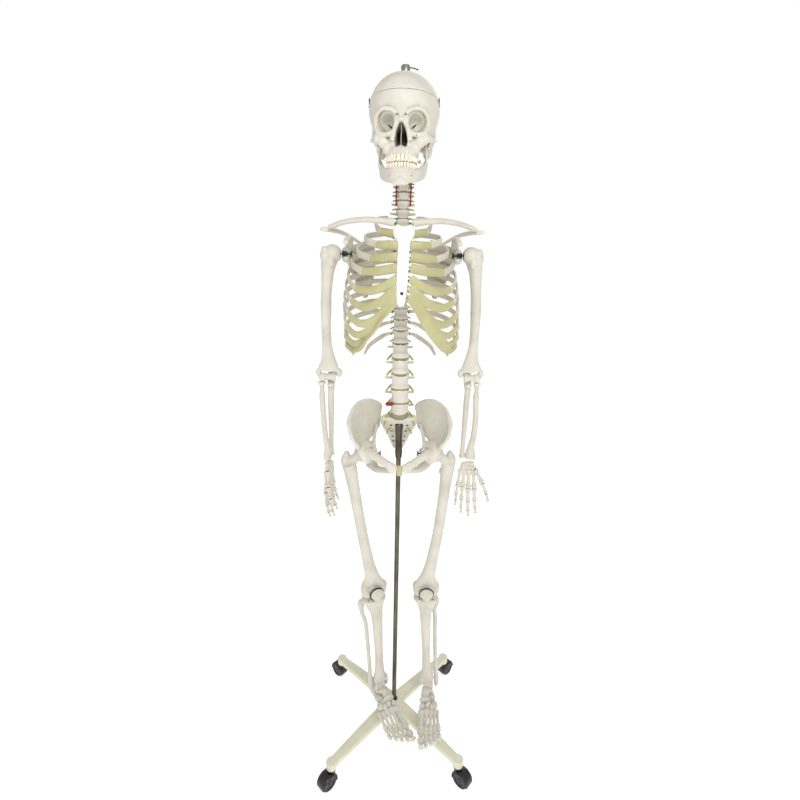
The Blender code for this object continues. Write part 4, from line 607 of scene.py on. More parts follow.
def build_caster(name):
    """Hooded fork, steel stem and a pair of wheels with stepped, lathed faces."""
    swivel = spot("caster_" + name + "_swivel")
    axle = spot("caster_" + name + "_roll")
    across = heading("caster_" + name + "_roll")
    away = (swivel - POLE).xy.normalized()
    ahead = Vector((away.x, away.y, 0))
    radius = axle.z
    turn = Matrix((ahead, across, Vector((0, 0, 1)))).transposed().to_4x4()
    seat = Matrix.Translation(axle) @ turn
    clay = Clay(seat)
    outer, inner = radius + 0.0040, radius + 0.0016
    start, end = math.radians(-8), math.radians(196)
    steps = 26
    hood = []
    for k in range(steps + 1):
        angle = start + (end - start) * k / steps
        hood.append((math.cos(angle), math.sin(angle)))
    half = 0.0158
    section = [(-half, inner), (-half, outer - 0.0030), (-half + 0.0030, outer),
               (half - 0.0030, outer), (half, outer - 0.0030), (half, inner)]
    loops = [[clay.mesh.verts.new(seat @ Vector((c * r, y, s * r))) for y, r in section]
             for c, s in hood]
    for one, two in zip(loops, loops[1:]):
        for k in range(len(section)):
            j = (k + 1) % len(section)
            clay.mesh.faces.new((one[k], one[j], two[j], two[k]))
    clay.mesh.faces.new(loops[0][::-1])
    clay.mesh.faces.new(loops[-1])
    clay.disc((0, 0, 0), radius * 0.96, 0.0030, (0, 1, 0), 40)
    clay.disc((0, 0, 0), 0.0062, 0.0060, (0, 1, 0), 24)
    clay.disc((-0.016, 0, 0.0535 - radius), 0.0098, 0.0100, (0, 0, 1), 32)
    clay.disc((-0.016, 0, 0.0490 - radius), 0.0120, 0.0050, (0, 0, 1), 32)
    fitting("caster_hood_" + name, clay, "caster_" + name, CASTER,
            ("caster_fork_" + name,), 0.0004)
    clay = Clay(seat)
    clay.disc((-0.016, 0, 0.0620 - radius), 0.0038, 0.0100, (0, 0, 1), 20)
    fitting("caster_stem_" + name, clay, "caster_" + name, BRIGHT_STEEL)
    clay = Clay(seat @ Matrix.Rotation(math.radians(-90), 4, "X"))
    tyre = [(0.0180, 0.0050), (0.0208, 0.0050), (0.0222, 0.0062), (0.0225, 0.0085),
            (0.0225, 0.0118), (0.0220, 0.0136), (0.0206, 0.0145), (0.0190, 0.0145),
            (0.0180, 0.0138)]
    scale = radius / 0.0225
    for flip in (1, -1):
        lathe(clay, [(r * scale, h * flip) for r, h in tyre], 48)
    fitting("caster_tyres_" + name, clay, "wheels_" + name, TREAD,
            ("caster_wheels_" + name,))
    clay = Clay(seat @ Matrix.Rotation(math.radians(-90), 4, "X"))
    face = [(0.0004, 0.0046), (0.0182, 0.0046), (0.0182, 0.0136), (0.0150, 0.0136),
            (0.0135, 0.0118), (0.0070, 0.0118), (0.0060, 0.0138), (0.0026, 0.0142),
            (0.0004, 0.0142)]
    for flip in (1, -1):
        lathe(clay, [(r * scale, h * flip) for r, h in face], 40)
    clay.disc((0, 0, 0), 0.0022, 0.0100, (0, 0, 1), 16)
    fitting("caster_hubs_" + name, clay, "wheels_" + name, CASTER,
            bevel=0.0003)


build_base()
build_pole()
for caster in CASTERS:
    build_caster(caster)


# ---------------------------------------------------------------- skull
def flip(rows, side):
    """Send left-side stations to the chosen side."""
    return [(row[0] * side, *row[1:]) for row in rows]


def vault(clay):
    """Rounded braincase shared by the cranium and its cap."""
    clay.ball((0, 0.0080, 1.6935), (0.0738, 0.0930, 0.0702), detail=5)
    clay.ball((0, -0.0300, 1.6930), (0.0620, 0.0530, 0.0570), detail=5)
    clay.ball((0, 0.0480, 1.6780), (0.0620, 0.0540, 0.0500), detail=5)


def face(clay):
    """Brow, nose, cheek bones, upper jaw and the base of the skull."""
    for side in (1, -1):
        clay.ball((side * 0.0440, 0.0120, 1.6520), (0.0240, 0.0560, 0.0340), detail=4)
    clay.ball((0, 0.014, 1.6400), (0.0500, 0.0560, 0.0260), detail=4)
    clay.ball((0, -0.0450, 1.6560), (0.0360, 0.0380, 0.0260), detail=4)
    clay.ball((0, -0.0785, 1.6740), (0.0130, 0.0060, 0.0070))
    clay.strap([(0, -0.0790, 1.6720, 0.0075, 0.0050), (0, -0.0800, 1.6640, 0.0052, 0.0042),
                (0, -0.0850, 1.6570, 0.0058, 0.0032)], steps=5)
    clay.ball((0, -0.0560, 1.6180), (0.0330, 0.0235, 0.0230), detail=4)
    clay.strap([(0, -0.0700, 1.6120, 0.0170, 0.0105), (0, -0.0720, 1.6000, 0.0200, 0.0095)],
               steps=4)
    for side in (1, -1):
        clay.strap(flip([(0.010, -0.0805, 1.6695, 0.0040, 0.0038), (0.0200, -0.0812, 1.6762, 0.0042, 0.0042),
                         (0.0330, -0.0786, 1.6782, 0.0040, 0.0042), (0.0440, -0.0706, 1.6752, 0.0040, 0.0042),
                         (0.0505, -0.0628, 1.6680, 0.0046, 0.0042)], side), (0, 0, 1), 5)
        clay.strap(flip([(0.0085, -0.0790, 1.6660, 0.0042, 0.0036), (0.0115, -0.0795, 1.6500, 0.0036, 0.0040),
                         (0.0150, -0.0785, 1.6350, 0.0046, 0.0044), (0.0170, -0.0760, 1.6230, 0.0070, 0.0060)], side),
                   steps=5)
        clay.strap(flip([(0.0150, -0.0780, 1.6400, 0.0038, 0.0040), (0.0240, -0.0770, 1.6345, 0.0044, 0.0042),
                         (0.0350, -0.0730, 1.6335, 0.0050, 0.0045), (0.0450, -0.0670, 1.6375, 0.0056, 0.0046),
                         (0.0505, -0.0605, 1.6470, 0.0054, 0.0042)], side), (0, 0, 1), 5)
        clay.strap(flip([(0.0505, -0.0625, 1.6700, 0.0052, 0.0042), (0.0522, -0.0590, 1.6580, 0.0044, 0.0034),
                         (0.0510, -0.0595, 1.6450, 0.0060, 0.0040)], side), (1, 0, 0), 5)
        clay.ball((side * 0.0450, -0.0590, 1.6300), (0.0118, 0.0105, 0.0118), (0, side * 0.35, 0), 4)
        clay.ball((side * 0.0360, -0.0620, 1.6240), (0.0130, 0.0110, 0.0120), detail=4)
        clay.ball((side * 0.0280, -0.0600, 1.6140), (0.0110, 0.0150, 0.0150), detail=4)
        clay.strap(flip([(0.0510, -0.0550, 1.6310, 0.0075, 0.0036), (0.0605, -0.0380, 1.6320, 0.0055, 0.0026),
                         (0.0660, -0.0180, 1.6350, 0.0048, 0.0024), (0.0672, -0.0020, 1.6390, 0.0044, 0.0028),
                         (0.0640, 0.0120, 1.6430, 0.0050, 0.0044), (0.0590, 0.0200, 1.6480, 0.0060, 0.0070)], side),
                   (0, 0, 1), 6)
        clay.ball((side * 0.0510, 0.0290, 1.6250), (0.0100, 0.0125, 0.0185), (0.25, side * 0.2, 0))
        clay.ball((side * 0.0125, 0.0080, 1.6170), (0.0055, 0.0095, 0.0065))
        clay.strap(flip([(0.0170, -0.0330, 1.6300, 0.0100, 0.0016), (0.0180, -0.0310, 1.6120, 0.0090, 0.0016),
                         (0.0190, -0.0300, 1.6020, 0.0050, 0.0016)], side), (0, 1, 0), 4)
        clay.ball((side * 0.0340, -0.0480, 1.6830), (0.0180, 0.0260, 0.0130))
    arch = [(0.0285, -0.0300, 1.6035), (0.0290, -0.0430, 1.6030), (0.0262, -0.0575, 1.6030),
            (0.0200, -0.0700, 1.6030), (0.0110, -0.0785, 1.6030), (0.0, -0.0815, 1.6030)]
    full = arch + [(-x, y, z) for x, y, z in arch[-2::-1]]
    clay.strap([(*place, 0.0088, 0.0048) for place in full], (0, 0, 1), 5)
    for k, (x, y) in enumerate(((0.0045, -0.0845), (0.0125, -0.0825), (0.0200, -0.0755),
                                (0.0255, -0.0660))):
        for side in (1, -1):
            clay.strap([(side * x, y + 0.0040, 1.6130, 0.0012, 0.0012),
                        (side * x, y + 0.0006, 1.6050, 0.0022, 0.0018),
                        (side * x, y - 0.0005, 1.5985, 0.0024, 0.0018)], steps=3, sides=10)


def orbit_tool(side):
    """Funnel of one eye socket."""
    clay = Clay(HEAD)
    clay.strap(flip([(0.0375, -0.1010, 1.6555, 0.0215, 0.0185), (0.0335, -0.0800, 1.6555, 0.0186, 0.0166),
                     (0.0308, -0.0680, 1.6555, 0.0168, 0.0152), (0.0275, -0.0560, 1.6560, 0.0125, 0.0112),
                     (0.0255, -0.0490, 1.6560, 0.0060, 0.0055)], side), (1, 0, -0.18 * side), 6, 28, 0.72)
    return clay


def nasal_tool():
    """Pear-shaped nasal opening."""
    clay = Clay(HEAD)
    rows = ((1.6140, 0.0080), (1.6175, 0.0112), (1.6250, 0.0122), (1.6360, 0.0098),
            (1.6470, 0.0062), (1.6550, 0.0030))
    for side in (1, -1):
        clay.strap([(side * half * 0.34, -0.0760, z - 0.0010 * (half > 0.010), half * 0.74, 0.0330)
                    for z, half in rows], (1, 0, 0), 5, 24)
    return clay


def build_cranium():
    """Cranium with its face, hollowed and cut level for the cap."""
    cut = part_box("calvarium")[0].z
    clay = Clay(HEAD)
    vault(clay)
    face(clay)
    obj = remesh(clay.object("cranium_bone"), 0.0010, 2)
    carve(obj, Clay(HEAD).block((0, 0.01, cut + 0.0592), (0.30, 0.30, 0.1200)))
    carve(obj, Clay(HEAD).ball((0, 0.016, 1.7000), (0.0668, 0.0800, 0.0640), detail=4))
    for side, word in SIDES:
        carve(obj, orbit_tool(side))
        carve(obj, Clay(HEAD).ball((side * 0.0850, -0.0340, 1.6540), (0.0195, 0.0300, 0.0290),
                                   detail=4))
        low = Clay(HEAD)
        low.ball((side * 0.0475, -0.0230, 1.6290), (0.0095, 0.0190, 0.0170), (0.0, 0, side * 0.2), 4)
        low.ball((side * 0.0400, -0.0180, 1.6130), (0.0150, 0.0190, 0.0150), detail=4)
        carve(obj, low, 0.0010)
        small = Clay(HEAD)
        small.ball((side * 0.0510, 0.0010, 1.6370), (0.0118, 0.0085, 0.0085))
        small.ball((side * 0.0290, -0.0795, 1.6225), (0.0075, 0.0080, 0.0090))
        carve(obj, small)
        small = Clay(HEAD)
        small.ball((side * 0.0680, 0.0105, 1.6390), (0.0080, 0.0034, 0.0038))
        small.ball((side * 0.0310, -0.0740, 1.6320), (0.0016, 0.0070, 0.0014))
        small.ball((side * 0.0240, -0.0860, 1.6790), (0.0013, 0.0040, 0.0013))
        carve(obj, small)
        slit = Clay(HEAD)
        slit.strap(flip([(0.0185, -0.0560, 1.6490, 0.0012, 0.0240), (0.0235, -0.0560, 1.6535, 0.0017, 0.0240),
                         (0.0285, -0.0560, 1.6580, 0.0011, 0.0240)], side), (-0.7 * side, 0, 0.7), 4)
        carve(obj, slit)
    carve(obj, nasal_tool(), 0.0008)
    carve(obj, Clay(HEAD).ball((0, -0.0450, 1.5955), (0.0205, 0.0300, 0.0125), detail=4))
    carve(obj, Clay(HEAD).disc((0, 0.020, 1.6300), 0.0150, 0.060))
    remesh(obj, 0.0009, 2)
    thin(obj, 46000)
    shade_hollows(obj, 4)
    # painted shade behind the eye sockets and inside the nasal cavity, which the shallow carving leaves lit
    for side, word in SIDES:
        deep_shade(obj, HEAD, (side * 0.0200, -0.0330, 1.6560), (0.0140, 0.0120, 0.0110), 1.0, 0.3)
    deep_shade(obj, HEAD, (0, -0.0640, 1.6330), (0.0130, 0.0150, 0.0210), 0.95, 0.25)
    deep_shade(obj, HEAD, (0, -0.0500, 1.6330), (0.0150, 0.0200, 0.0220), 1.0, 0.4)
    finish_piece(obj, "head", SKULL, ("cranium",))
    clay = Clay(HEAD)
    clay.strap([(0.0004, -0.0660, 1.6140, 0.0010, 0.0110), (-0.0003, -0.0680, 1.6280, 0.0008, 0.0110),
                (0.0002, -0.0700, 1.6400, 0.0007, 0.0090), (0, -0.0720, 1.6520, 0.0006, 0.0070)],
               (1, 0, 0), 5, 12)
    obj = clay.object("nasal_septum")
    shade_hollows(obj, 1)
    finish_piece(obj, "head", SHADY, ())


def build_cap():
    """Lift-off cap of the skull, sawn level."""
    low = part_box("calvarium")[0].z
    clay = Clay(HEAD)
    vault(clay)
    obj = remesh(clay.object("skull_cap_bone"), 0.0013, 3)
    carve(obj, Clay(HEAD).block((0, 0.01, low - 0.0600), (0.30, 0.30, 0.1200)))
    inner = Clay(HEAD)
    inner.ball((0, 0.016, 1.7000), (0.0668, 0.0800, 0.0640), detail=4)
    carve(obj, inner)
    carve(obj, Clay(HEAD).disc((0, 0.020, 1.755), 0.0070, 0.060))
    thin(obj, 26000)
    shade_hollows(obj, 4)
    finish_piece(obj, "skull_cap", SKULL, ("calvarium",))
    obj.data.set_sharp_from_angle(angle=math.radians(50))


def tooth(clay, place, out, width, depth, height, way):
    """One tooth: rounded crown on a narrower neck; way is +1 for upper teeth."""
    across = Vector((-out.y, out.x, 0))
    top = place + Vector((0, 0, way * height * 0.5))
    low = place - Vector((0, 0, way * height * 0.5))
    mid = place - Vector((0, 0, way * height * 0.10)) + out * 0.0006
    rows = [(*top, width * 0.36, depth * 0.42), (*(place + Vector((0, 0, way * height * 0.22))),
            width * 0.44, depth * 0.50), (*mid, width * 0.50, depth * 0.52),
            (*(low + Vector((0, 0, way * height * 0.10))), width * 0.50, depth * 0.40),
            (*low, width * 0.44, depth * 0.26)]
    clay.strap(rows, tuple(across), 3, 16, 0.75)


def teeth(name, arch, sizes, level, way, body):
    """A row of teeth set along an arch given as (x, y) from the middle outwards."""
    path = [Vector((x, y, 0)) for x, y in arch]
    dense = [Vector(row) for row in flow([tuple(p) for p in path], 24)]
    gaps = [0.0]
    for one, two in zip(dense, dense[1:]):
        gaps.append(gaps[-1] + (two - one).length)
    for side, word in SIDES:
        clay = Clay(HEAD)
        run = 0.0
        for width, depth, height in sizes:
            want = run + width / 2
            i = max(k for k, far in enumerate(gaps) if far <= want or k == 0)
            i = min(i, len(dense) - 2)
            here = dense[i]
            ahead = (dense[i + 1] - dense[i]).normalized()
            out = Vector((-ahead.y, ahead.x, 0)) * -1
            if out.dot(here - Vector((0, -0.045, 0))) < 0:
                out = -out
            place = Vector((here.x * side, here.y, level))
            out = Vector((out.x * side, out.y, 0)).normalized()
            tooth(clay, place, out, width * 0.96, depth, height, way)
            run += width
        obj = remesh(clay.object(name + "_" + word), 0.00034, 1)
        thin(obj, 9000)
        shade_hollows(obj, 2)
        finish_piece(obj, body, TOOTH)


def build_teeth():
    """Upper and lower rows."""
    upper = ((0.0, -0.0845), (0.0105, -0.0825), (0.0190, -0.0745), (0.0252, -0.0620),
             (0.0288, -0.0460), (0.0295, -0.0290))
    teeth("upper_teeth", upper, ((0.0086, 0.0060, 0.0125), (0.0068, 0.0058, 0.0115),
                                 (0.0076, 0.0066, 0.0128), (0.0068, 0.0078, 0.0108),
                                 (0.0068, 0.0080, 0.0102), (0.0098, 0.0096, 0.0098),
                                 (0.0092, 0.0094, 0.0094)), 1.5918, 1, "head")
    lower = ((0.0, -0.0790), (0.0095, -0.0775), (0.0175, -0.0705), (0.0238, -0.0600),
             (0.0275, -0.0450), (0.0290, -0.0270))
    teeth("lower_teeth", lower, ((0.0056, 0.0054, 0.0112), (0.0060, 0.0056, 0.0112),
                                 (0.0070, 0.0064, 0.0120), (0.0070, 0.0074, 0.0104),
                                 (0.0070, 0.0076, 0.0100), (0.0108, 0.0094, 0.0094),
                                 (0.0100, 0.0092, 0.0090)), 1.5796, -1, "jaw")


def build_jaw():
    """Lower jaw: body, chin, rami, coronoid and condyle."""
    clay = Clay(HEAD)
    half = [(0.0478, -0.0020, 1.5880, 0.0120, 0.0034), (0.0460, -0.0120, 1.5815, 0.0140, 0.0040),
            (0.0410, -0.0300, 1.5720, 0.0130, 0.0052), (0.0325, -0.0520, 1.5640, 0.0122, 0.0058),
            (0.0190, -0.0715, 1.5590, 0.0126, 0.0057), (0.0090, -0.0785, 1.5565, 0.0130, 0.0056),
            (0.0, -0.0800, 1.5560, 0.0132, 0.0056)]
    full = half + [(-row[0], *row[1:]) for row in half[-2::-1]]
    clay.strap(full, (0, 0, 1), 5, 20, 0.85)
    clay.strap([(-0.0150, -0.0780, 1.5475, 0.0046, 0.0040), (-0.0070, -0.0830, 1.5462, 0.0058, 0.0048),
                (0.0070, -0.0830, 1.5462, 0.0058, 0.0048), (0.0150, -0.0780, 1.5475, 0.0046, 0.0040)],
               (0, 0, 1), 5)
    clay.ball((0, -0.0845, 1.5500), (0.0060, 0.0042, 0.0085))
    arch = [(0.0300, -0.0280, 1.5710), (0.0290, -0.0450, 1.5705), (0.0245, -0.0600, 1.5705),
            (0.0180, -0.0710, 1.5705), (0.0095, -0.0775, 1.5705), (0.0, -0.0795, 1.5705)]
    rows = arch + [(-x, y, z) for x, y, z in arch[-2::-1]]
    clay.strap([(*place, 0.0052, 0.0048) for place in rows], (0, 0, 1), 5)
    for side in (1, -1):
        clay.strap(flip([(0.0470, -0.0080, 1.5800, 0.0150, 0.0034), (0.0490, -0.0080, 1.5890, 0.0165, 0.0038),
                         (0.0496, -0.0095, 1.6000, 0.0158, 0.0030), (0.0498, -0.0100, 1.6130, 0.0150, 0.0026)], side),
                   (0, 1, 0), 5)
        clay.strap(flip([(0.0495, -0.0010, 1.6080, 0.0066, 0.0030), (0.0505, 0.0010, 1.6240, 0.0046, 0.0036),
                         (0.0510, 0.0010, 1.6340, 0.0042, 0.0064)], side), (0, 1, 0), 4)
        clay.ball((side * 0.0510, 0.0010, 1.6365), (0.0088, 0.0046, 0.0044))
        clay.strap(flip([(0.0490, -0.0190, 1.6060, 0.0068, 0.0030), (0.0480, -0.0225, 1.6200, 0.0046, 0.0024),
                         (0.0470, -0.0255, 1.6325, 0.0020, 0.0015)], side), (0, 1, 0), 4)
    holes = Clay(HEAD)
    for side in (1, -1):
        holes.ball((side * 0.0225, -0.0765, 1.5600), (0.0016, 0.0060, 0.0014))
        holes.ball((side * 0.0130, -0.0900, 1.5590), (0.0085, 0.0055, 0.0045))
    obj = bone("lower_jaw_bone", clay, "jaw", ("mandible",), 0.0010, 20000, 3, SKULL,
               (holes,), 4)
    return obj


def build_head_fittings():
    """Cap hooks, their pins, the hanger bush and its cross wire."""
    for side, word in SIDES:
        pivot = (HEAD.inverted() @ spot("cap_hook_%s_swing" % word))
        lean = Vector((-side * 0.0022, 0, 0))
        hook = [(0.0, 0.0), (-0.0035, 0.0050), (-0.0075, 0.0105), (-0.0104, 0.0160),
                (-0.0100, 0.0200), (-0.0070, 0.0218), (-0.0038, 0.0205), (-0.0030, 0.0170)]
        clay = Clay(HEAD)
        clay.rod([tuple(pivot + lean + Vector((0, y * 0.62, z * 0.62))) for y, z in hook], 0.0012, 5, 12)
        clay.disc(tuple(pivot + lean), 0.0033, 0.0018, (1, 0, 0), 28)
        fitting("cap_hook_wire_" + word, clay, "hook_" + word, DARK_STEEL,
                ("cap_hook_" + word,), bevel=0.0002)
        clay = Clay(HEAD)
        clay.ball(tuple(pivot + lean + Vector((side * 0.0012, 0, 0))), (0.0014, 0.0024, 0.0024))
        clay.disc(tuple(pivot - Vector((side * 0.0060, 0, 0))), 0.0013, 0.0100, (1, 0, 0), 16)
        fitting("cap_hook_screw_" + word, clay, "hook_" + word, BRIGHT_STEEL)
    axis = Vector((0, 0.020, 0))
    low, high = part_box("hanger_bush")
    clay = Clay(HEAD @ Matrix.Translation(axis))
    lathe(clay, [(0.0050, high.z), (0.0085, high.z), (0.0092, high.z - 0.0010),
                 (0.0092, low.z + 0.0030), (0.0100, low.z + 0.0020), (0.0100, low.z - 0.0045),
                 (0.0050, low.z - 0.0045)], 40)
    fitting("hanger_bush_tube", clay, "skull_cap", BRIGHT_STEEL, ("hanger_bush",))
    # black disc inside the top of the bush: painted shade in its bore
    clay = Clay(HEAD)
    clay.disc((0, 0.020, high.z - 0.0040), 0.0052, 0.0040, sides=28)
    fitting("hanger_bush_bore_shade", clay, "skull_cap", SHADE_BLACK)
    clay = Clay(HEAD)
    tilt = high.z - 0.0040
    clay.rod([(-0.0100, 0.020, tilt + 0.0004), (0.0100, 0.020, tilt), (0.0180, 0.0190, tilt - 0.0016),
              (0.0245, 0.0180, tilt - 0.0040)], 0.0011, 4, 12, (0, 1, 0))
    clay.ball((0.0250, 0.0180, tilt - 0.0042), 0.0016)
    fitting("hanger_cross_wire", clay, "skull_cap", DARK_STEEL)


build_cranium()
build_cap()
build_jaw()
build_teeth()
build_head_fittings()


# ---------------------------------------------------------------- spine
# label: height, set-back, half width, half depth, spine length, spine drop, side reach
SPINE = {
    "C3": (1.5630, -0.0015, 0.0105, 0.0075, 0.021, 0.004, 0.025),
    "C4": (1.5460, -0.0020, 0.0108, 0.0075, 0.021, 0.004, 0.025),
    "C5": (1.5290, 0.0020, 0.0112, 0.0078, 0.022, 0.005, 0.026),
    "C6": (1.5120, 0.0090, 0.0118, 0.0080, 0.026, 0.007, 0.028),
    "C7": (1.4940, 0.0170, 0.0125, 0.0085, 0.033, 0.008, 0.031),
    "T1": (1.4740, 0.0260, 0.0135, 0.0090, 0.034, 0.009, 0.036),
    "T2": (1.4540, 0.0340, 0.0138, 0.0092, 0.034, 0.012, 0.034),
    "T3": (1.4334, 0.0400, 0.0138, 0.0095, 0.034, 0.016, 0.033),
    "T4": (1.4122, 0.0450, 0.0138, 0.0100, 0.033, 0.020, 0.033),
    "T5": (1.3904, 0.0490, 0.0140, 0.0105, 0.032, 0.023, 0.033),
    "T6": (1.3680, 0.0520, 0.0143, 0.0108, 0.031, 0.025, 0.033),
    "T7": (1.3450, 0.0530, 0.0146, 0.0112, 0.031, 0.026, 0.032),
    "T8": (1.3214, 0.0520, 0.0150, 0.0116, 0.031, 0.024, 0.031),
    "T9": (1.2972, 0.0490, 0.0155, 0.0120, 0.031, 0.020, 0.030),
    "T10": (1.2724, 0.0450, 0.0162, 0.0125, 0.031, 0.016, 0.028),
    "T11": (1.2470, 0.0400, 0.0170, 0.0130, 0.032, 0.010, 0.025),
    "T12": (1.2205, 0.0340, 0.0178, 0.0135, 0.032, 0.007, 0.022),
    "L1": (1.1870, 0.0250, 0.0190, 0.0145, 0.036, 0.005, 0.034),
    "L2": (1.1500, 0.0140, 0.0200, 0.0150, 0.037, 0.005, 0.038),
    "L3": (1.1130, 0.0060, 0.0208, 0.0152, 0.037, 0.005, 0.041),
    "L4": (1.0760, 0.0020, 0.0215, 0.0155, 0.036, 0.005, 0.040),
    "L5": (1.0400, 0.0060, 0.0222, 0.0155, 0.033, 0.006, 0.038),
}
LEVELS = list(SPINE)
CANAL = 0.0078
AXIS_FOOT = 1.5730
SACRUM_TOP = (1.0205, 0.0215)


def canal_y(label):
    """Centre of the canal behind one body."""
    row = SPINE[label]
    return row[1] + row[3] + CANAL + 0.0005


def disc_half(label):
    """Half thickness of the disc below one level."""
    return {"C": 0.0017, "T": 0.0016, "L": 0.0028}[label[0]]


def body_span(label):
    """Top and bottom of one vertebral body."""
    i = LEVELS.index(label)
    z = SPINE[label][0]
    top = (SPINE[LEVELS[i - 1]][0] + z) / 2 - disc_half(LEVELS[i - 1]) if i else AXIS_FOOT - 0.0030
    low = (SPINE[LEVELS[i + 1]][0] + z) / 2 if i + 1 < len(LEVELS) else SACRUM_TOP[0] + 0.0045
    return top, low + disc_half(label)


def body_ends(label):
    """Set-back of a body's upper and lower face, so that the column bends smoothly."""
    i = LEVELS.index(label)
    y = SPINE[label][1]
    top = (SPINE[LEVELS[i - 1]][1] + y) / 2 if i else -0.0012
    low = (SPINE[LEVELS[i + 1]][1] + y) / 2 if i + 1 < len(LEVELS) else 0.0140
    return top, low


def build_vertebra(label):
    """Body, pedicles, laminae, transverse, articular and spinous processes."""
    z, y, wide, deep, spine, drop, reach = SPINE[label]
    kind = label[0]
    top, low = body_span(label)
    back = canal_y(label)
    half = (top - low) / 2
    mid = (top + low) / 2
    clay = Clay(TORSO)
    y_top, y_low = body_ends(label)
    clay.strap([(0, y_top, top, wide * 1.08, deep * 1.08), (0, y_top, top - half * 0.10, wide * 1.13, deep * 1.11),
                (0, y_top * 0.55 + y * 0.45, top - half * 0.34, wide * 1.01, deep * 1.01),
                (0, y, mid, wide * 0.94, deep * 0.94),
                (0, y_low * 0.55 + y * 0.45, low + half * 0.34, wide * 1.02, deep * 1.01),
                (0, y_low, low + half * 0.10, wide * 1.15, deep * 1.12), (0, y_low, low, wide * 1.10, deep * 1.08)],
               steps=3, sides=32)
    tall = {"C": 0.0050, "T": 0.0062, "L": 0.0090}[kind]
    tilt = {"C": -0.0060, "T": 0.0080, "L": -0.0040}[kind]
    thick = {"C": 0.0030, "T": 0.0040, "L": 0.0036}[kind]
    for side in (1, -1):
        clay.strap(flip([(wide * 0.55, y + deep * 0.5, mid + half * 0.30, tall * 0.62, 0.0030),
                         (CANAL + 0.0022, back - 0.003, mid + half * 0.22, tall * 0.68, 0.0030)], side),
                   (0, 0, 1), 3)
        clay.strap(flip([(CANAL + 0.0020, back - 0.001, mid + 0.001, tall, 0.0028),
                         (CANAL * 0.75, back + CANAL * 0.75, mid - 0.001, tall * 1.15, 0.0026),
                         (0.0, back + CANAL + 0.0025, mid - 0.003, tall * 1.10, 0.0030)], side),
                   (0, 0, 1), 4)
        clay.strap(flip([(0.0060, back - 0.001, mid + 0.001, thick * 1.25, 0.0040),
                         (reach * 0.45, back + tilt * 0.3, mid + 0.002, thick, 0.0030),
                         (reach * 0.80, back + tilt * 0.8, mid + 0.003, thick * 0.92, 0.0026),
                         (reach * 0.93, back + tilt, mid + 0.003, thick * 1.20, 0.0036)], side),
                   (0, 0, 1), 4)
        clay.ball((side * 0.0112, back + 0.0015, top - half * 0.05), (0.0046, 0.0036, 0.0062))
        clay.ball((side * 0.0100, back + 0.0048, low + half * 0.05), (0.0046, 0.0036, 0.0066))
    if kind == "C":
        rows = [(0, back + CANAL, mid - 0.001, 0.0036, 0.0050), (0, back + spine * 0.72, mid - drop * 0.7, 0.0026, 0.0042),
                (0, back + spine, mid - drop, 0.0044, 0.0034)]
    elif kind == "T":
        rows = [(0, back + CANAL, mid - 0.001, 0.0034, 0.0070), (0, back + spine * 0.7, mid - drop * 0.62, 0.0022, 0.0060),
                (0, back + spine, mid - drop, 0.0034, 0.0044)]
    else:
        rows = [(0, back + CANAL, mid - 0.001, 0.0036, 0.0100), (0, back + spine * 0.65, mid - drop * 0.6, 0.0028, 0.0104),
                (0, back + spine, mid - drop, 0.0042, 0.0092)]
    clay.strap(rows, steps=5)
    tool = Clay(TORSO)
    tool.disc((0, back, mid), CANAL, 0.070, sides=28)
    name = {"C": "cervical", "T": "thoracic", "L": "lumbar"}[kind] + "_vertebrae"
    first = label in ("C3", "T1", "L1")
    bone("vertebra_" + label, clay, "torso", (name,) if first else (), 0.00105 if kind != "L" else 0.0013,
         3400, 2, LIGHT, (tool,), 2)


def build_discs():
    """Discs between the bodies, one piece per region."""
    for region, labels in (("neck", LEVELS[:5]), ("chest", LEVELS[5:17]), ("loin", LEVELS[17:])):
        clay = Clay(TORSO)
        for label in labels:
            z, y, wide, deep = SPINE[label][:4]
            i = LEVELS.index(label)
            _, low = body_span(label)
            if i + 1 < len(LEVELS):
                under = body_span(LEVELS[i + 1])[0]
                other = SPINE[LEVELS[i + 1]]
            else:
                under, other = SACRUM_TOP[0], (0, 0.0200, 0.0220, 0.0150)
            wide2 = (wide + other[2]) / 2
            deep2 = (deep + other[3]) / 2
            y = y2 = body_ends(label)[1]
            y3 = y2 if i + 1 < len(LEVELS) else 0.0185
            clay.strap([(0, y, low + 0.0008, wide * 0.98, deep * 0.98), (0, y, low, wide * 1.04, deep * 1.03),
                        (0, y2, (low + under) / 2, wide2 * 1.07, deep2 * 1.06),
                        (0, y3, under, other[2] * 1.04, other[3] * 1.03),
                        (0, y3, under - 0.0008, other[2] * 0.98, other[3] * 0.98)],
                       steps=3, sides=32)
        if region == "neck":
            clay.strap([(0, -0.0010, 1.5745, 0.0112, 0.0075), (0, -0.0012, 1.5725, 0.0118, 0.0082),
                        (0, -0.0015, 1.5702, 0.0112, 0.0075)], steps=3, sides=28)
        fitting(region + "_discs", clay, "torso", DISC)


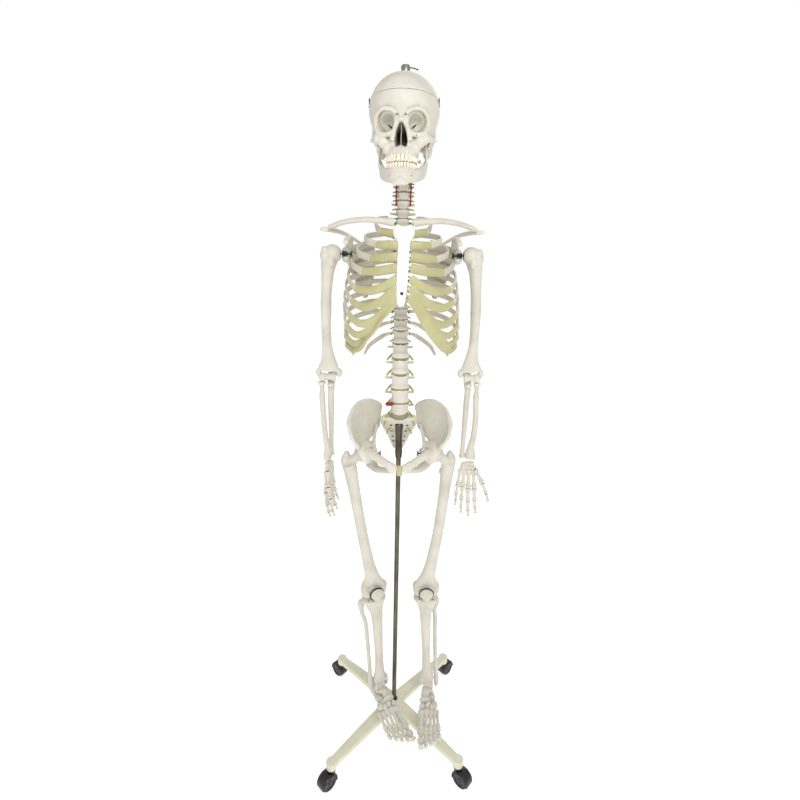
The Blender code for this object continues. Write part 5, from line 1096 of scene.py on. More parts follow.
def build_nerves():
    """Nerve roots leaving on both sides, and the two arteries of the neck."""
    clay = Clay(TORSO)
    for i, label in enumerate(LEVELS):
        z, y, wide, deep, _, _, reach = SPINE[label]
        low = body_span(label)[1] - disc_half(label)
        back = canal_y(label)
        kind = label[0]
        size = {"C": 0.0017, "T": 0.0016, "L": 0.0024}[kind]
        out = wide + {"C": 0.0115, "T": 0.0075, "L": 0.0120}[kind]
        drop = {"C": 0.0030, "T": 0.0030, "L": 0.0110}[kind]
        for side in (1, -1):
            points = [(side * 0.0060, back, low + 0.004), (side * wide * 0.90, back - 0.0035, low + 0.003),
                      (side * (wide + out) / 2, y + deep * 0.8, low + 0.003 - drop * 0.4),
                      (side * out, y + deep * 0.5, low + 0.003 - drop)]
            clay.strap([(*points[0], size, size), (*points[1], size * 1.25, size * 1.25),
                        (*points[2], size * 1.05, size * 1.05), (*points[3], size * 0.9, size * 0.9)],
                       (0, 0, 1), 5, 12)
            clay.ball(points[3], size * 0.95, detail=2)
    for side in (1, -1):
        for z, out in ((1.0090, 0.034), (0.9850, 0.028)):
            clay.strap([(side * 0.018, 0.026, z, 0.0024, 0.0024), (side * out, 0.014, z - 0.004, 0.0022, 0.0022),
                        (side * (out + 0.004), 0.006, z - 0.012, 0.0018, 0.0018)], (0, 0, 1), 4, 12)
        clay.strap([(side * 0.010, 0.014, 1.5915, 0.0018, 0.0018), (side * 0.0245, 0.008, 1.5900, 0.0018, 0.0018)],
                   (0, 0, 1), 4, 12)
        clay.strap([(side * 0.010, 0.012, 1.5715, 0.0018, 0.0018), (side * 0.0235, 0.003, 1.5690, 0.0018, 0.0018)],
                   (0, 0, 1), 4, 12)
    fitting("nerve_roots", clay, "torso", NERVE)
    clay = Clay(TORSO)
    for side in (1, -1):
        path = [(side * 0.0160, SPINE[label][1] + 0.0035, SPINE[label][0])
                for label in ("C6", "C5", "C4", "C3")]
        path += [(side * 0.0190, 0.0040, 1.5810), (side * 0.0250, 0.0080, 1.5930),
                 (side * 0.0250, 0.0140, 1.6030), (side * 0.0130, 0.0200, 1.6080)]
        clay.rod(path, 0.0018, 6, 12)
    fitting("vertebral_arteries", clay, "torso", ARTERY)


def build_neck_top():
    """Atlas ring and axis with its dens."""
    clay = Clay(TORSO)
    ring = [(0.0190 * math.cos(a), 0.0110 + 0.0205 * math.sin(a), 1.6015, 0.0050, 0.0034)
            for a in [2 * math.pi * k / 24 for k in range(25)]]
    clay.strap(ring, (0, 0, 1), 2)
    for side in (1, -1):
        clay.ball((side * 0.0185, 0.0060, 1.6015), (0.0070, 0.0100, 0.0064))
        clay.strap(flip([(0.0180, 0.0100, 1.6015, 0.0040, 0.0038), (0.0300, 0.0115, 1.6010, 0.0030, 0.0034),
                         (0.0365, 0.0120, 1.6005, 0.0040, 0.0040)], side), (0, 0, 1), 3)
    clay.ball((0, -0.0100, 1.6015), (0.0055, 0.0032, 0.0042))
    clay.ball((0, 0.0325, 1.6015), (0.0048, 0.0044, 0.0042))
    tool = Clay(TORSO)
    for side in (1, -1):
        tool.disc((side * 0.0272, 0.0120, 1.6010), 0.0026, 0.030, sides=16)
    bone("atlas_bone", clay, "torso", ("atlas_vertebra",), 0.0010, 3400, 2, LIGHT, (tool,), 2)
    clay = Clay(TORSO)
    clay.strap([(0, 0.0010, 1.5935, 0.0120, 0.0080), (0, 0.0005, 1.5860, 0.0105, 0.0074),
                (0, -0.0005, 1.5790, 0.0110, 0.0078), (0, -0.0010, 1.5742, 0.0120, 0.0082)], steps=4, sides=24)
    clay.strap([(0, 0.0010, 1.5880, 0.0052, 0.0052), (0, 0.0010, 1.5980, 0.0044, 0.0044),
                (0, 0.0010, 1.6045, 0.0042, 0.0042), (0, 0.0010, 1.6068, 0.0022, 0.0022)], steps=4)
    for side in (1, -1):
        clay.ball((side * 0.0140, 0.0040, 1.5890), (0.0080, 0.0085, 0.0044))
        clay.strap(flip([(0.0100, 0.0080, 1.5820, 0.0040, 0.0038), (0.0190, 0.0105, 1.5800, 0.0030, 0.0032),
                         (0.0245, 0.0120, 1.5785, 0.0036, 0.0036)], side), (0, 0, 1), 3)
        clay.strap(flip([(CANAL + 0.0020, 0.0180, 1.5825, 0.0050, 0.0026), (0.0040, 0.0270, 1.5815, 0.0056, 0.0028),
                         (0.0, 0.0290, 1.5810, 0.0056, 0.0030)], side), (0, 0, 1), 3)
    clay.strap([(0, 0.0240, 1.5820, 0.0044, 0.0056), (0, 0.0360, 1.5780, 0.0050, 0.0052),
                (0, 0.0425, 1.5760, 0.0080, 0.0044)], steps=4)
    tool = Clay(TORSO)
    tool.disc((0, 0.0185, 1.5850), CANAL, 0.060)
    bone("axis_bone", clay, "torso", ("axis_vertebra",), 0.0010, 3400, 2, LIGHT, (tool,), 2)


def build_sacrum():
    """Sacrum with its alae, foramina and median crest, and the coccyx."""
    clay = Clay(TORSO)
    clay.strap([(0, 0.0220, 1.0180, 0.0400, 0.0150), (0, 0.0245, 1.0100, 0.0485, 0.0170),
                (0, 0.0340, 0.9900, 0.0455, 0.0160), (0, 0.0490, 0.9620, 0.0330, 0.0130),
                (0, 0.0580, 0.9350, 0.0230, 0.0100), (0, 0.0570, 0.9150, 0.0135, 0.0075)],
               steps=5, sides=36)
    clay.strap([(0, 0.0200, 1.0205, 0.0218, 0.0150), (0, 0.0210, 1.0120, 0.0215, 0.0160),
                (0, 0.0240, 1.0000, 0.0210, 0.0150)], steps=4, sides=28)
    for y, z, size in ((0.0530, 0.9060, 0.0090), (0.0480, 0.8990, 0.0070), (0.0430, 0.8925, 0.0055),
                       (0.0390, 0.8875, 0.0042)):
        clay.ball((0, y, z), (size, size * 0.6, size * 0.55))
    clay.strap([(0, 0.0480, 1.0100, 0.0030, 0.0110), (0, 0.0620, 0.9850, 0.0036, 0.0090),
                (0, 0.0700, 0.9550, 0.0030, 0.0070), (0, 0.0690, 0.9350, 0.0026, 0.0040)], steps=5)
    for side in (1, -1):
        clay.ball((side * 0.0150, 0.0370, 1.0230), (0.0048, 0.0040, 0.0080))
    tool = Clay(TORSO)
    for z, x, y in ((0.9920, 0.0205, 0.0190), (0.9720, 0.0180, 0.0290), (0.9530, 0.0155, 0.0390),
                    (0.9370, 0.0130, 0.0470)):
        for side in (1, -1):
            tool.ball((side * x, y, z), (0.0042, 0.0085, 0.0036))
            tool.ball((side * x * 0.95, y + 0.0340, z + 0.004), (0.0030, 0.0080, 0.0030))
    groove = Clay(TORSO)
    groove.rod([(0, 0.0335, 1.0400), (0, 0.0355, 1.0200), (0, 0.0400, 0.9980)], 0.0068, 4, 20)
    seat = Clay(Matrix.Translation((POLE.x, POLE.y, 0)))
    low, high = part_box("pole_sleeve")
    radius = (high.x - low.x) / 2 + 0.0009
    seat.disc((0, 0, high.z - 0.080), radius, 0.1620, sides=36)
    bone("sacrum_bone", clay, "torso", ("sacrum",), 0.0014, 14000, 3, LIGHT,
         (tool, groove, seat), 3)


def build_rod():
    """Bent steel rod through spine and skull."""
    points = [(0, 0.0200, 1.7635), (0, 0.0200, 1.7000), (0, 0.0200, 1.6400), (0, 0.0200, 1.6200),
              (0, 0.0195, 1.6000), (0, 0.0170, 1.5820)]
    points += [(0, canal_y(label), SPINE[label][0]) for label in LEVELS]
    points += [(0, 0.0335, 1.0220), (0, 0.0362, 1.0090)]
    clay = Clay(TORSO)
    clay.rod(points, 0.0034, 4, 20)
    fitting("spine_rod_bar", clay, "torso", POLE_STEEL, ("spine_rod",))
    clay = Clay(TORSO)
    clay.ball((-0.0240, -0.0145, 1.0592), (0.0085, 0.0062, 0.0050))
    clay.ball((-0.0290, -0.0095, 1.0585), (0.0065, 0.0060, 0.0048))
    clay.ball((-0.0300, -0.0040, 1.0560), (0.0052, 0.0050, 0.0044))
    obj = remesh(clay.object("slipped_disc_bulge"), 0.0006, 3)
    thin(obj, 3000)
    shade_hollows(obj, 2)
    finish_piece(obj, "torso", RED, ("herniated_disc",))


def build_spine():
    for label in LEVELS:
        build_vertebra(label)
    build_discs()
    build_nerves()
    build_neck_top()
    build_sacrum()
    build_rod()


build_spine()


# ---------------------------------------------------------------- rib cage
# rib: widest half width, back of the arc, front end x, y, z, height of the head
RIBS = {
    1: (0.060, 0.058, 0.050, -0.043, 1.455, 1.4760),
    2: (0.083, 0.070, 0.058, -0.058, 1.428, 1.4570),
    3: (0.101, 0.080, 0.071, -0.067, 1.399, 1.4360),
    4: (0.114, 0.087, 0.088, -0.070, 1.372, 1.4150),
    5: (0.123, 0.092, 0.103, -0.069, 1.336, 1.3930),
    6: (0.129, 0.096, 0.113, -0.065, 1.310, 1.3710),
    7: (0.133, 0.098, 0.121, -0.058, 1.282, 1.3480),
    8: (0.135, 0.098, 0.127, -0.050, 1.256, 1.3240),
    9: (0.134, 0.096, 0.129, -0.040, 1.230, 1.3000),
    10: (0.130, 0.091, 0.128, -0.027, 1.206, 1.2750),
    11: (0.116, 0.085, 0.115, 0.010, 1.176, 1.2490),
    12: (0.090, 0.078, 0.089, 0.056, 1.168, 1.2220),
}
# points of each cartilage from the rib's end towards the breastbone
CARTILAGES = {
    1: [(0.034, -0.050, 1.452), (0.016, -0.056, 1.449)],
    2: [(0.038, -0.070, 1.426), (0.014, -0.074, 1.426)],
    3: [(0.044, -0.082, 1.400), (0.014, -0.084, 1.403)],
    4: [(0.055, -0.088, 1.374), (0.014, -0.092, 1.381)],
    5: [(0.070, -0.092, 1.334), (0.040, -0.098, 1.344), (0.014, -0.099, 1.360)],
    6: [(0.084, -0.088, 1.299), (0.050, -0.099, 1.311), (0.014, -0.101, 1.343)],
    7: [(0.094, -0.084, 1.264), (0.058, -0.098, 1.276), (0.014, -0.101, 1.328)],
    8: [(0.103, -0.077, 1.238), (0.074, -0.092, 1.250), (0.050, -0.098, 1.284)],
    9: [(0.108, -0.066, 1.216), (0.084, -0.083, 1.228), (0.068, -0.092, 1.258)],
    10: [(0.112, -0.052, 1.200), (0.094, -0.072, 1.208), (0.078, -0.086, 1.236)],
}

# the plate along the lower edge, where the cartilages run together
MARGIN = [(0.014, -0.1010, 1.322, 0.0100, 0.0034), (0.036, -0.0995, 1.296, 0.0130, 0.0036),
          (0.058, -0.0960, 1.262, 0.0150, 0.0036), (0.078, -0.0880, 1.234, 0.0140, 0.0036),
          (0.096, -0.0740, 1.210, 0.0110, 0.0034), (0.114, -0.0520, 1.198, 0.0070, 0.0030)]


def rib_rows(number):
    """Path and section of one rib from its head to its front end."""
    wide, back, ex, ey, ez, head = RIBS[number]
    label = "T%d" % number
    y = SPINE[label][1]
    drop = head - ez
    near = SPINE[label][2] + 0.0035
    tall, thick = (0.0064, 0.0026)
    if number > 10:
        return [(near, y + 0.010, head, 0.0042, 0.0034), (near + 0.006, y + 0.013, head, 0.0036, 0.0028),
                (wide * 0.50, back, head - drop * 0.22, 0.0055, 0.0025),
                (wide * 0.84, back - (back - ey) * 0.42, head - drop * 0.6, 0.0052, 0.0024),
                (ex * 0.985, ey + 0.004, ez + 0.003, 0.0036, 0.0022), (ex, ey, ez, 0.0014, 0.0014)]
    rows = [(near, y + 0.007, head, 0.0044, 0.0034), (near + 0.005, y + 0.0098, head + 0.0003, 0.0036, 0.0026),
            (near + 0.015, y + 0.0155, head + 0.001, 0.0040, 0.0026),
            (near + 0.027, y + 0.0300, head - 0.001, 0.0050, 0.0034),
            (wide * 0.58, back, head - drop * 0.08, tall, thick),
            (wide * 0.86, back - 0.026, head - drop * 0.22, tall, thick),
            (wide, back - 0.066, head - drop * 0.42, tall * 1.04, thick),
            (wide * 0.97, (back - 0.066 + ey) * 0.56, head - drop * 0.72, tall * 1.12, thick),
            (ex, ey, ez, tall * 1.22, thick * 1.15)]
    if number == 1:
        rise = (0, 0, 0.004, 0.010, 0.014, 0.014, 0.010, 0.004, 0)
        rows = [(*row[:2], row[2] + up, row[3] * 0.9, row[4] * 1.2) for row, up in zip(rows, rise)]
    return rows


def build_ribs():
    """Twelve pairs of ribs."""
    for side, word in SIDES:
        for number in RIBS:
            clay = Clay(TORSO)
            clay.strap(flip(rib_rows(number), side), (0, 0, 1), 7, 16, 0.85)
            obj = clay.object("rib_%d_%s_bone" % (number, word))
            shade_hollows(obj, 2)
            nodes = ()
            if number > 10:
                nodes = ("rib_%d_%s" % (number, word),)
            elif number == 1 and side == 1:
                nodes = ("rib_cage",)
            finish_piece(obj, "torso", SHADY, nodes)
        clay = Clay(TORSO)
        for number in range(1, 13):
            start = rib_rows(number)[0]
            clay.ball((side * (start[0] + 0.0010), start[1] - 0.0030, start[2]), 0.0019, detail=2)
        for number in range(1, 11):
            place = rib_rows(number)[3]
            clay.ball((side * place[0], place[1] + 0.0030, place[2]), 0.0017, detail=2)
        fitting("rib_screws_" + word, clay, "torso", DARK_STEEL)


def build_cartilages():
    """Costal cartilages of each side, joined where they run together."""
    for side, word in SIDES:
        clay = Clay(TORSO)
        for number, spots in CARTILAGES.items():
            end = rib_rows(number)[-1]
            before = rib_rows(number)[-2]
            ahead = (Vector(end[:3]) - Vector(before[:3])).normalized()
            start = Vector(end[:3]) - ahead * 0.0010
            tall = (0.0088, 0.0098, 0.0104, 0.0100, 0.0096, 0.0094, 0.0090, 0.0084, 0.0078,
                    0.0070)[number - 1]
            rows = [(*start, 0.0078, 0.0031)]
            rows += [(*place, tall, 0.0034) for place in spots]
            clay.strap(flip(rows, side), (0, 0, 1), 6, 16, 0.9)
        clay.strap(flip(MARGIN, side), (0.5, 0, 0.87), 6, 16, 0.9)
        obj = remesh(clay.object("costal_cartilages_" + word), 0.0011, 2)
        thin(obj, 15000)
        shade_hollows(obj, 3)
        finish_piece(obj, "torso", CARTILAGE, ())


def build_sternum():
    """Breastbone: handle, blade, tip and the steel bolt that carries the cartilages."""
    clay = Clay(TORSO)
    clay.strap([(0.0000, -0.0470, 1.4690, 0.0150, 0.0046), (0.0000, -0.0490, 1.4650, 0.0205, 0.0056),
                (0.0000, -0.0540, 1.4560, 0.0236, 0.0062), (0.0000, -0.0600, 1.4450, 0.0215, 0.0058),
                (-0.0002, -0.0670, 1.4350, 0.0160, 0.0052), (-0.0004, -0.0725, 1.4265, 0.0134, 0.0056)],
               steps=6, sides=28, square=0.8)
    clay.strap([(-0.0004, -0.0730, 1.4262, 0.0134, 0.0056), (-0.0010, -0.0790, 1.4140, 0.0128, 0.0046),
                (-0.0016, -0.0850, 1.4010, 0.0130, 0.0048), (-0.0022, -0.0905, 1.3860, 0.0128, 0.0046),
                (-0.0030, -0.0960, 1.3700, 0.0126, 0.0048), (-0.0038, -0.0995, 1.3520, 0.0122, 0.0048),
                (-0.0044, -0.1010, 1.3400, 0.0116, 0.0046), (-0.0050, -0.1020, 1.3250, 0.0106, 0.0042),
                (-0.0054, -0.1024, 1.3120, 0.0092, 0.0036), (-0.0056, -0.1020, 1.3030, 0.0062, 0.0028)],
               steps=6, sides=28, square=0.8)
    tool = Clay(TORSO)
    tool.ball((0, -0.0490, 1.4710), (0.0120, 0.0140, 0.0062))
    for side in (1, -1):
        tool.ball((side * 0.0240, -0.0500, 1.4735), (0.0075, 0.0120, 0.0050))
    bone("breastbone", clay, "torso", (), 0.0011, 9000, 3, WHITE, (tool,), 4)
    clay = Clay(TORSO)
    clay.disc((-0.0040, -0.1076, 1.3300), 0.0024, 0.0022, (0, 1, 0), 20)
    clay.disc((-0.0040, -0.1062, 1.3300), 0.0036, 0.0010, (0, 1, 0), 24)
    fitting("breastbone_bolt", clay, "torso", DARK_STEEL, bevel=0.0003)


build_ribs()
build_cartilages()
build_sternum()


# ---------------------------------------------------------------- shoulder girdle and arms
def mirrored(place, side):
    """Send a left-side point to the chosen side."""
    return Vector((place[0] * side, place[1], place[2]))


def turned(vector, angle):
    """Turn a vector about the vertical."""
    return Matrix.Rotation(angle, 3, "Z") @ Vector(vector)


def share(start, end, part):
    """Point part of the way between two."""
    return Vector(start) * (1 - part) + Vector(end) * part


def limb_rows(start, end, yaw, side, rows):
    """Stations given as (lateral, back, share, half width, half thickness)."""
    out = []
    for lateral, back, part, wide, thick in rows:
        place = share(start, end, part) + turned((lateral * side, back, 0), yaw)
        out.append((*place, wide, thick))
    return out


def limb_spot(start, end, yaw, side, lateral, back, up, part=0.0):
    """One landmark in a limb's own directions."""
    return share(start, end, part) + turned((lateral * side, back, up), yaw)


def build_clavicle(side, word):
    """S-shaped collar bone."""
    rows = [(0.0235, -0.0520, 1.4735, 0.0096, 0.0088), (0.0330, -0.0560, 1.4742, 0.0088, 0.0080),
            (0.0480, -0.0610, 1.4750, 0.0074, 0.0068), (0.0750, -0.0600, 1.4768, 0.0066, 0.0060),
            (0.1050, -0.0380, 1.4765, 0.0070, 0.0058), (0.1350, -0.0120, 1.4725, 0.0084, 0.0056),
            (0.1530, -0.0010, 1.4672, 0.0104, 0.0054), (0.1630, 0.0060, 1.4645, 0.0086, 0.0046)]
    clay = Clay(TORSO)
    clay.strap(flip(rows, side), (0, 1, 0), 6, 20)
    clay.ball((side * 0.1080, -0.0300, 1.4745), (0.0080, 0.0060, 0.0040))
    bone("collar_bone_" + word, clay, "torso", ("clavicle_" + word,), 0.0010, 6000, 3, rounds=3)


def build_scapula(side, word):
    """Shoulder blade: blade, spine with acromion, coracoid and socket."""
    grid = [[(0.072, 0.096, 1.446, 0.0040), (0.096, 0.078, 1.436, 0.0028), (0.126, 0.036, 1.424, 0.0060)],
            [(0.064, 0.102, 1.415, 0.0050), (0.096, 0.083, 1.410, 0.0024), (0.128, 0.040, 1.398, 0.0070)],
            [(0.064, 0.108, 1.375, 0.0044), (0.092, 0.099, 1.375, 0.0020), (0.119, 0.071, 1.370, 0.0060)],
            [(0.071, 0.112, 1.335, 0.0042), (0.088, 0.108, 1.335, 0.0024), (0.106, 0.096, 1.336, 0.0060)],
            [(0.083, 0.114, 1.304, 0.0050), (0.088, 0.112, 1.302, 0.0050), (0.093, 0.109, 1.304, 0.0050)]]
    grid = [[(spot_[0] * side, *spot_[1:]) for spot_ in row] for row in grid]
    clay = Clay(TORSO)
    clay.sheet(grid, 0.0030, 5)
    clay.strap(flip([(0.126, 0.046, 1.396, 0.0050, 0.0040), (0.124, 0.056, 1.386, 0.0045, 0.0038),
                     (0.113, 0.086, 1.352, 0.0042, 0.0036), (0.098, 0.104, 1.320, 0.0044, 0.0032),
                     (0.089, 0.112, 1.303, 0.0050, 0.0030)], side), steps=5)
    clay.ball(mirrored((0.129, 0.022, 1.406), side), (0.0110, 0.0125, 0.0180))
    clay.ball(mirrored((0.122, 0.036, 1.404), side), (0.0100, 0.0120, 0.0140))
    ridge = [(0.066, 0.105, 1.416, 0.0030, 0.0036), (0.080, 0.101, 1.424, 0.0030, 0.0056),
             (0.095, 0.096, 1.431, 0.0032, 0.0072), (0.128, 0.070, 1.450, 0.0040, 0.0092),
             (0.148, 0.052, 1.4575, 0.0050, 0.0100), (0.164, 0.036, 1.4600, 0.0052, 0.0120),
             (0.174, 0.018, 1.4600, 0.0052, 0.0120), (0.172, 0.002, 1.4590, 0.0044, 0.0080)]
    clay.strap(flip(ridge, side), (0, 0, 1), 5, 20)
    beak = [(0.122, 0.030, 1.424, 0.0090, 0.0085), (0.120, 0.014, 1.438, 0.0080, 0.0074),
            (0.120, 0.002, 1.442, 0.0070, 0.0066), (0.123, -0.014, 1.438, 0.0066, 0.0060),
            (0.127, -0.025, 1.430, 0.0060, 0.0056)]
    clay.strap(flip(beak, side), steps=5)
    centre = spot("shoulder_%s_swing" % word)
    socket = Clay()
    socket.ball(centre, 0.0236, detail=4)
    bore = Clay()
    bore.disc(centre - Vector((side * 0.030, 0, 0)), 0.0030, 0.050, (1, 0, 0), 20)
    bone("shoulder_blade_" + word, clay, "torso", ("scapula_" + word,), 0.0011, 16000, 3,
         tools=(socket, bore), rounds=3)


def build_joint_screw(kind, word, centre, side, inner):
    """Through screw with a ball at its end, a flange and a wing nut."""
    body = "%s_link_%s" % (kind, word)
    clay = Clay()
    clay.disc(centre - Vector((side * inner / 2, 0, 0)), 0.0019, inner, (1, 0, 0), 20)
    clay.ball(centre, 0.0041)
    clay.disc(centre - Vector((side * (inner - 0.0012), 0, 0)), 0.0058, 0.0016, (1, 0, 0), 28)
    end = centre - Vector((side * (inner + 0.0005), 0, 0))
    for way in (1, -1):
        clay.strap([(*end, 0.0018, 0.0012), (*(end + Vector((-side * 0.001, 0, way * 0.0050))), 0.0030, 0.0011),
                    (*(end + Vector((-side * 0.002, 0, way * 0.0070))), 0.0018, 0.0009)], (0, 1, 0), 4, 12)
    fitting("%s_through_screw_%s" % (kind, word), clay, body, DARK_STEEL,
            ("%s_screw_%s" % (kind, word),), bevel=0.0002)


def build_spring(word, centre, side):
    """Coil spring on the shoulder screw between socket and head."""
    clay = Clay()
    turns, wire, coil = 5.0, 0.0010, 0.0058
    start, length = 0.0205, 0.0130
    count = int(turns * 14)
    points = []
    for k in range(count + 1):
        angle = 2 * math.pi * turns * k / count
        place = centre + Vector((-side * (start + length * k / count), coil * math.cos(angle),
                                 coil * math.sin(angle)))
        points.append(tuple(place))
    clay.rod(points, wire, 1, 8, (1, 0, 0))
    fitting("shoulder_spring_" + word, clay, "shoulder_link_" + word, DARK_STEEL)


def screw_room(centre, side, mouth=0.0110, depth=0.026):
    """Tools for the ball seat and the tapering mouth in a joint's head."""
    seat = Clay()
    seat.ball(centre, 0.0058)
    cone = Clay()
    cone.disc(centre - Vector((side * depth / 2, 0, 0)), 0.0034, depth, (-side, 0, 0), 28, mouth)
    return seat, cone


def build_humerus(side, word):
    """Upper arm bone."""
    top, low = spot("shoulder_%s_swing" % word), spot("elbow_%s_bend" % word)
    clay = Clay()
    clay.ball(top, 0.0205, detail=4)
    clay.ball(limb_spot(top, low, 0, side, 0.0155, -0.0010, -0.0050), (0.0135, 0.0175, 0.0190))
    clay.ball(limb_spot(top, low, 0, side, 0.0180, -0.0060, 0.0080), (0.0080, 0.0100, 0.0080))
    clay.ball(limb_spot(top, low, 0, side, 0.0030, -0.0160, -0.0150), (0.0080, 0.0075, 0.0145))
    clay.strap(limb_rows(top, low, 0, side, [
        (0.006, 0.0, 0.03, 0.0190, 0.0185), (0.0090, 0.0, 0.085, 0.0172, 0.0168),
        (0.0105, 0.0, 0.15, 0.0142, 0.0142), (0.0115, 0.0, 0.30, 0.0122, 0.0124),
        (0.0112, 0.0, 0.42, 0.0126, 0.0120), (0.009, 0.0, 0.58, 0.0112, 0.0114),
        (0.006, 0.0005, 0.72, 0.0116, 0.0106), (0.003, 0.001, 0.80, 0.0142, 0.0096),
        (0.0005, 0.0005, 0.87, 0.0195, 0.0088), (0.0, 0.000, 0.915, 0.0245, 0.0088),
        (0.0, -0.001, 0.950, 0.0240, 0.0084)]), steps=6, sides=28)
    clay.ball(low + Vector((side * 0.0125, -0.0030, 0.0)), (0.0108, 0.0108, 0.0108), detail=4)
    clay.disc(low + Vector((-side * 0.0030, -0.001, 0)), 0.0082, 0.0200, (1, 0, 0), 32)
    clay.disc(low + Vector((-side * 0.0125, -0.001, 0)), 0.0094, 0.0100, (-side, 0, 0), 32, 0.0122)
    clay.ball(low + Vector((-side * 0.0265, 0.0020, 0.0100)), (0.0080, 0.0080, 0.0112))
    clay.ball(low + Vector((side * 0.0235, 0.0010, 0.0105)), (0.0066, 0.0072, 0.0104))
    fossa = Clay()
    fossa.ball(low + Vector((-side * 0.0060, 0.0150, 0.0150)), (0.0110, 0.0085, 0.0140))
    front = Clay()
    front.ball(low + Vector((-side * 0.0050, -0.0145, 0.0160)), (0.0090, 0.0070, 0.0080))
    bone("upper_arm_bone_" + word, clay, "upper_arm_" + word, ("humerus_" + word,), 0.0013, 13000, 3,
         tools=(*screw_room(top, side), fossa, front), rounds=4)


def build_forearm(side, word):
    """Ulna and radius, side by side and turned with the hand."""
    top, low = spot("elbow_%s_bend" % word), spot("wrist_%s_bend" % word)
    axis = heading("wrist_%s_bend" % word)
    yaw = math.atan2(-axis.y, -axis.x)
    thumb = turned((side, 0, 0), yaw)
    clay = Clay()
    ulna_low = low - thumb * 0.0150 + Vector((0, 0, 0.012))
    ulna_top = top + Vector((-side * 0.006, 0, 0))
    clay.strap([(*(ulna_top + Vector((0, 0.0175, 0.0085))), 0.0070, 0.0036),
                (*(ulna_top + Vector((0, 0.0165, 0.003))), 0.0095, 0.0052),
                (*(ulna_top + Vector((0, 0.0150, -0.010))), 0.0098, 0.0066),
                (*(ulna_top + Vector((0, 0.0085, -0.024))), 0.0088, 0.0088),
                (*(ulna_top + Vector((0, 0.0040, -0.036))), 0.0074, 0.0078),
                (*(share(ulna_top, ulna_low, 0.35) + Vector((0, 0.003, 0))), 0.0074, 0.0078),
                (*(share(ulna_top, ulna_low, 0.60) + Vector((0, 0.002, 0))), 0.0068, 0.0070),
                (*(ulna_low + Vector((0, 0, 0.026))), 0.0058, 0.0058),
                (*(ulna_low + Vector((0, 0, 0.008))), 0.0072, 0.0070), (*ulna_low, 0.0078, 0.0074),
                (*(ulna_low - Vector((0, 0, 0.002))), 0.0050, 0.0050)], steps=6, sides=22)
    clay.ball(ulna_low - thumb * 0.0045 + Vector((0, 0.001, -0.0030)), (0.0022, 0.0022, 0.0040))
    clay.ball(ulna_top + Vector((0, -0.0035, -0.0200)), (0.0090, 0.0080, 0.0060))
    notch = Clay()
    notch.disc(top + Vector((-side * 0.004, -0.001, 0)), 0.0122, 0.0400, (1, 0, 0), 40)
    bone("ulna_bone_" + word, clay, "forearm_" + word, ("ulna_" + word,), 0.0010, 8000, 3,
         tools=(notch,), rounds=3)
    clay = Clay()
    head = top + Vector((side * 0.0155, -0.002, -0.0155))
    radius_low = low + thumb * 0.0060 + Vector((0, 0, 0.010))
    clay.disc(head, 0.0092, 0.0070, (0, 0, 1), 32)
    clay.strap([(*head, 0.0072, 0.0072), (*(head + Vector((0, 0, -0.008))), 0.0060, 0.0060),
                (*(head + Vector((0, 0, -0.018))), 0.0054, 0.0054),
                (*(head + Vector((0, 0, -0.032))), 0.0080, 0.0074),
                (*(head + Vector((0, 0, -0.048))), 0.0072, 0.0068),
                (*(share(head, radius_low, 0.5) + thumb * 0.005), 0.0076, 0.0066),
                (*(share(head, radius_low, 0.72) + thumb * 0.0035), 0.0080, 0.0068),
                (*(radius_low + Vector((0, 0, 0.030))), 0.0094, 0.0078),
                (*(radius_low + Vector((0, 0, 0.012))), 0.0128, 0.0090),
                (*(radius_low + Vector((0, 0, 0.003))), 0.0138, 0.0092),
                (*(radius_low + Vector((0, 0, -0.003))), 0.0120, 0.0078)], tuple(thumb), 6, 22)
    clay.ball(radius_low + thumb * 0.0105 + Vector((0, 0, -0.004)), (0.0035, 0.0035, 0.0045))
    bone("radius_bone_" + word, clay, "forearm_" + word, ("radius_" + word,), 0.0010, 8000, 3, rounds=3)
    clay = Clay()
    palm = turned((0, -1, 0), yaw)
    dot = radius_low + palm * 0.0072 + Vector((0, 0, 0.008))
    clay.ball(dot, 0.0017, detail=2)
    clay.ball(radius_low + palm * 0.0072 + thumb * 0.007 + Vector((0, 0, 0.006)), 0.0013, detail=2)
    clay.ball(top + Vector((side * 0.0150, -0.0100, 0.0040)), 0.0016, detail=2)
    clay.rod([tuple(dot), tuple(dot + thumb * 0.003 - Vector((0, 0, 0.003))),
              tuple(low + thumb * 0.004 + palm * 0.005 + Vector((0, 0, 0.0055)))], 0.0007, 4, 8)
    fitting("forearm_pins_" + word, clay, "forearm_" + word, DARK_STEEL)


def small_bone(clay, start, ahead, length, thick, across):
    """One small long bone with a base, a waist and a head; returns its far end."""
    end = start + ahead * length
    rows = [(0.0, 0.70, 0.60), (0.04, 1.18, 1.00), (0.13, 1.24, 1.05), (0.28, 0.86, 0.80),
            (0.50, 0.68, 0.64), (0.74, 0.78, 0.72), (0.88, 1.08, 0.96), (0.96, 1.04, 0.92), (1.0, 0.66, 0.60)]
    clay.strap([(*share(start, end, part), thick * wide, thick * deep) for part, wide, deep in rows],
               tuple(across), 3, 16)
    return end


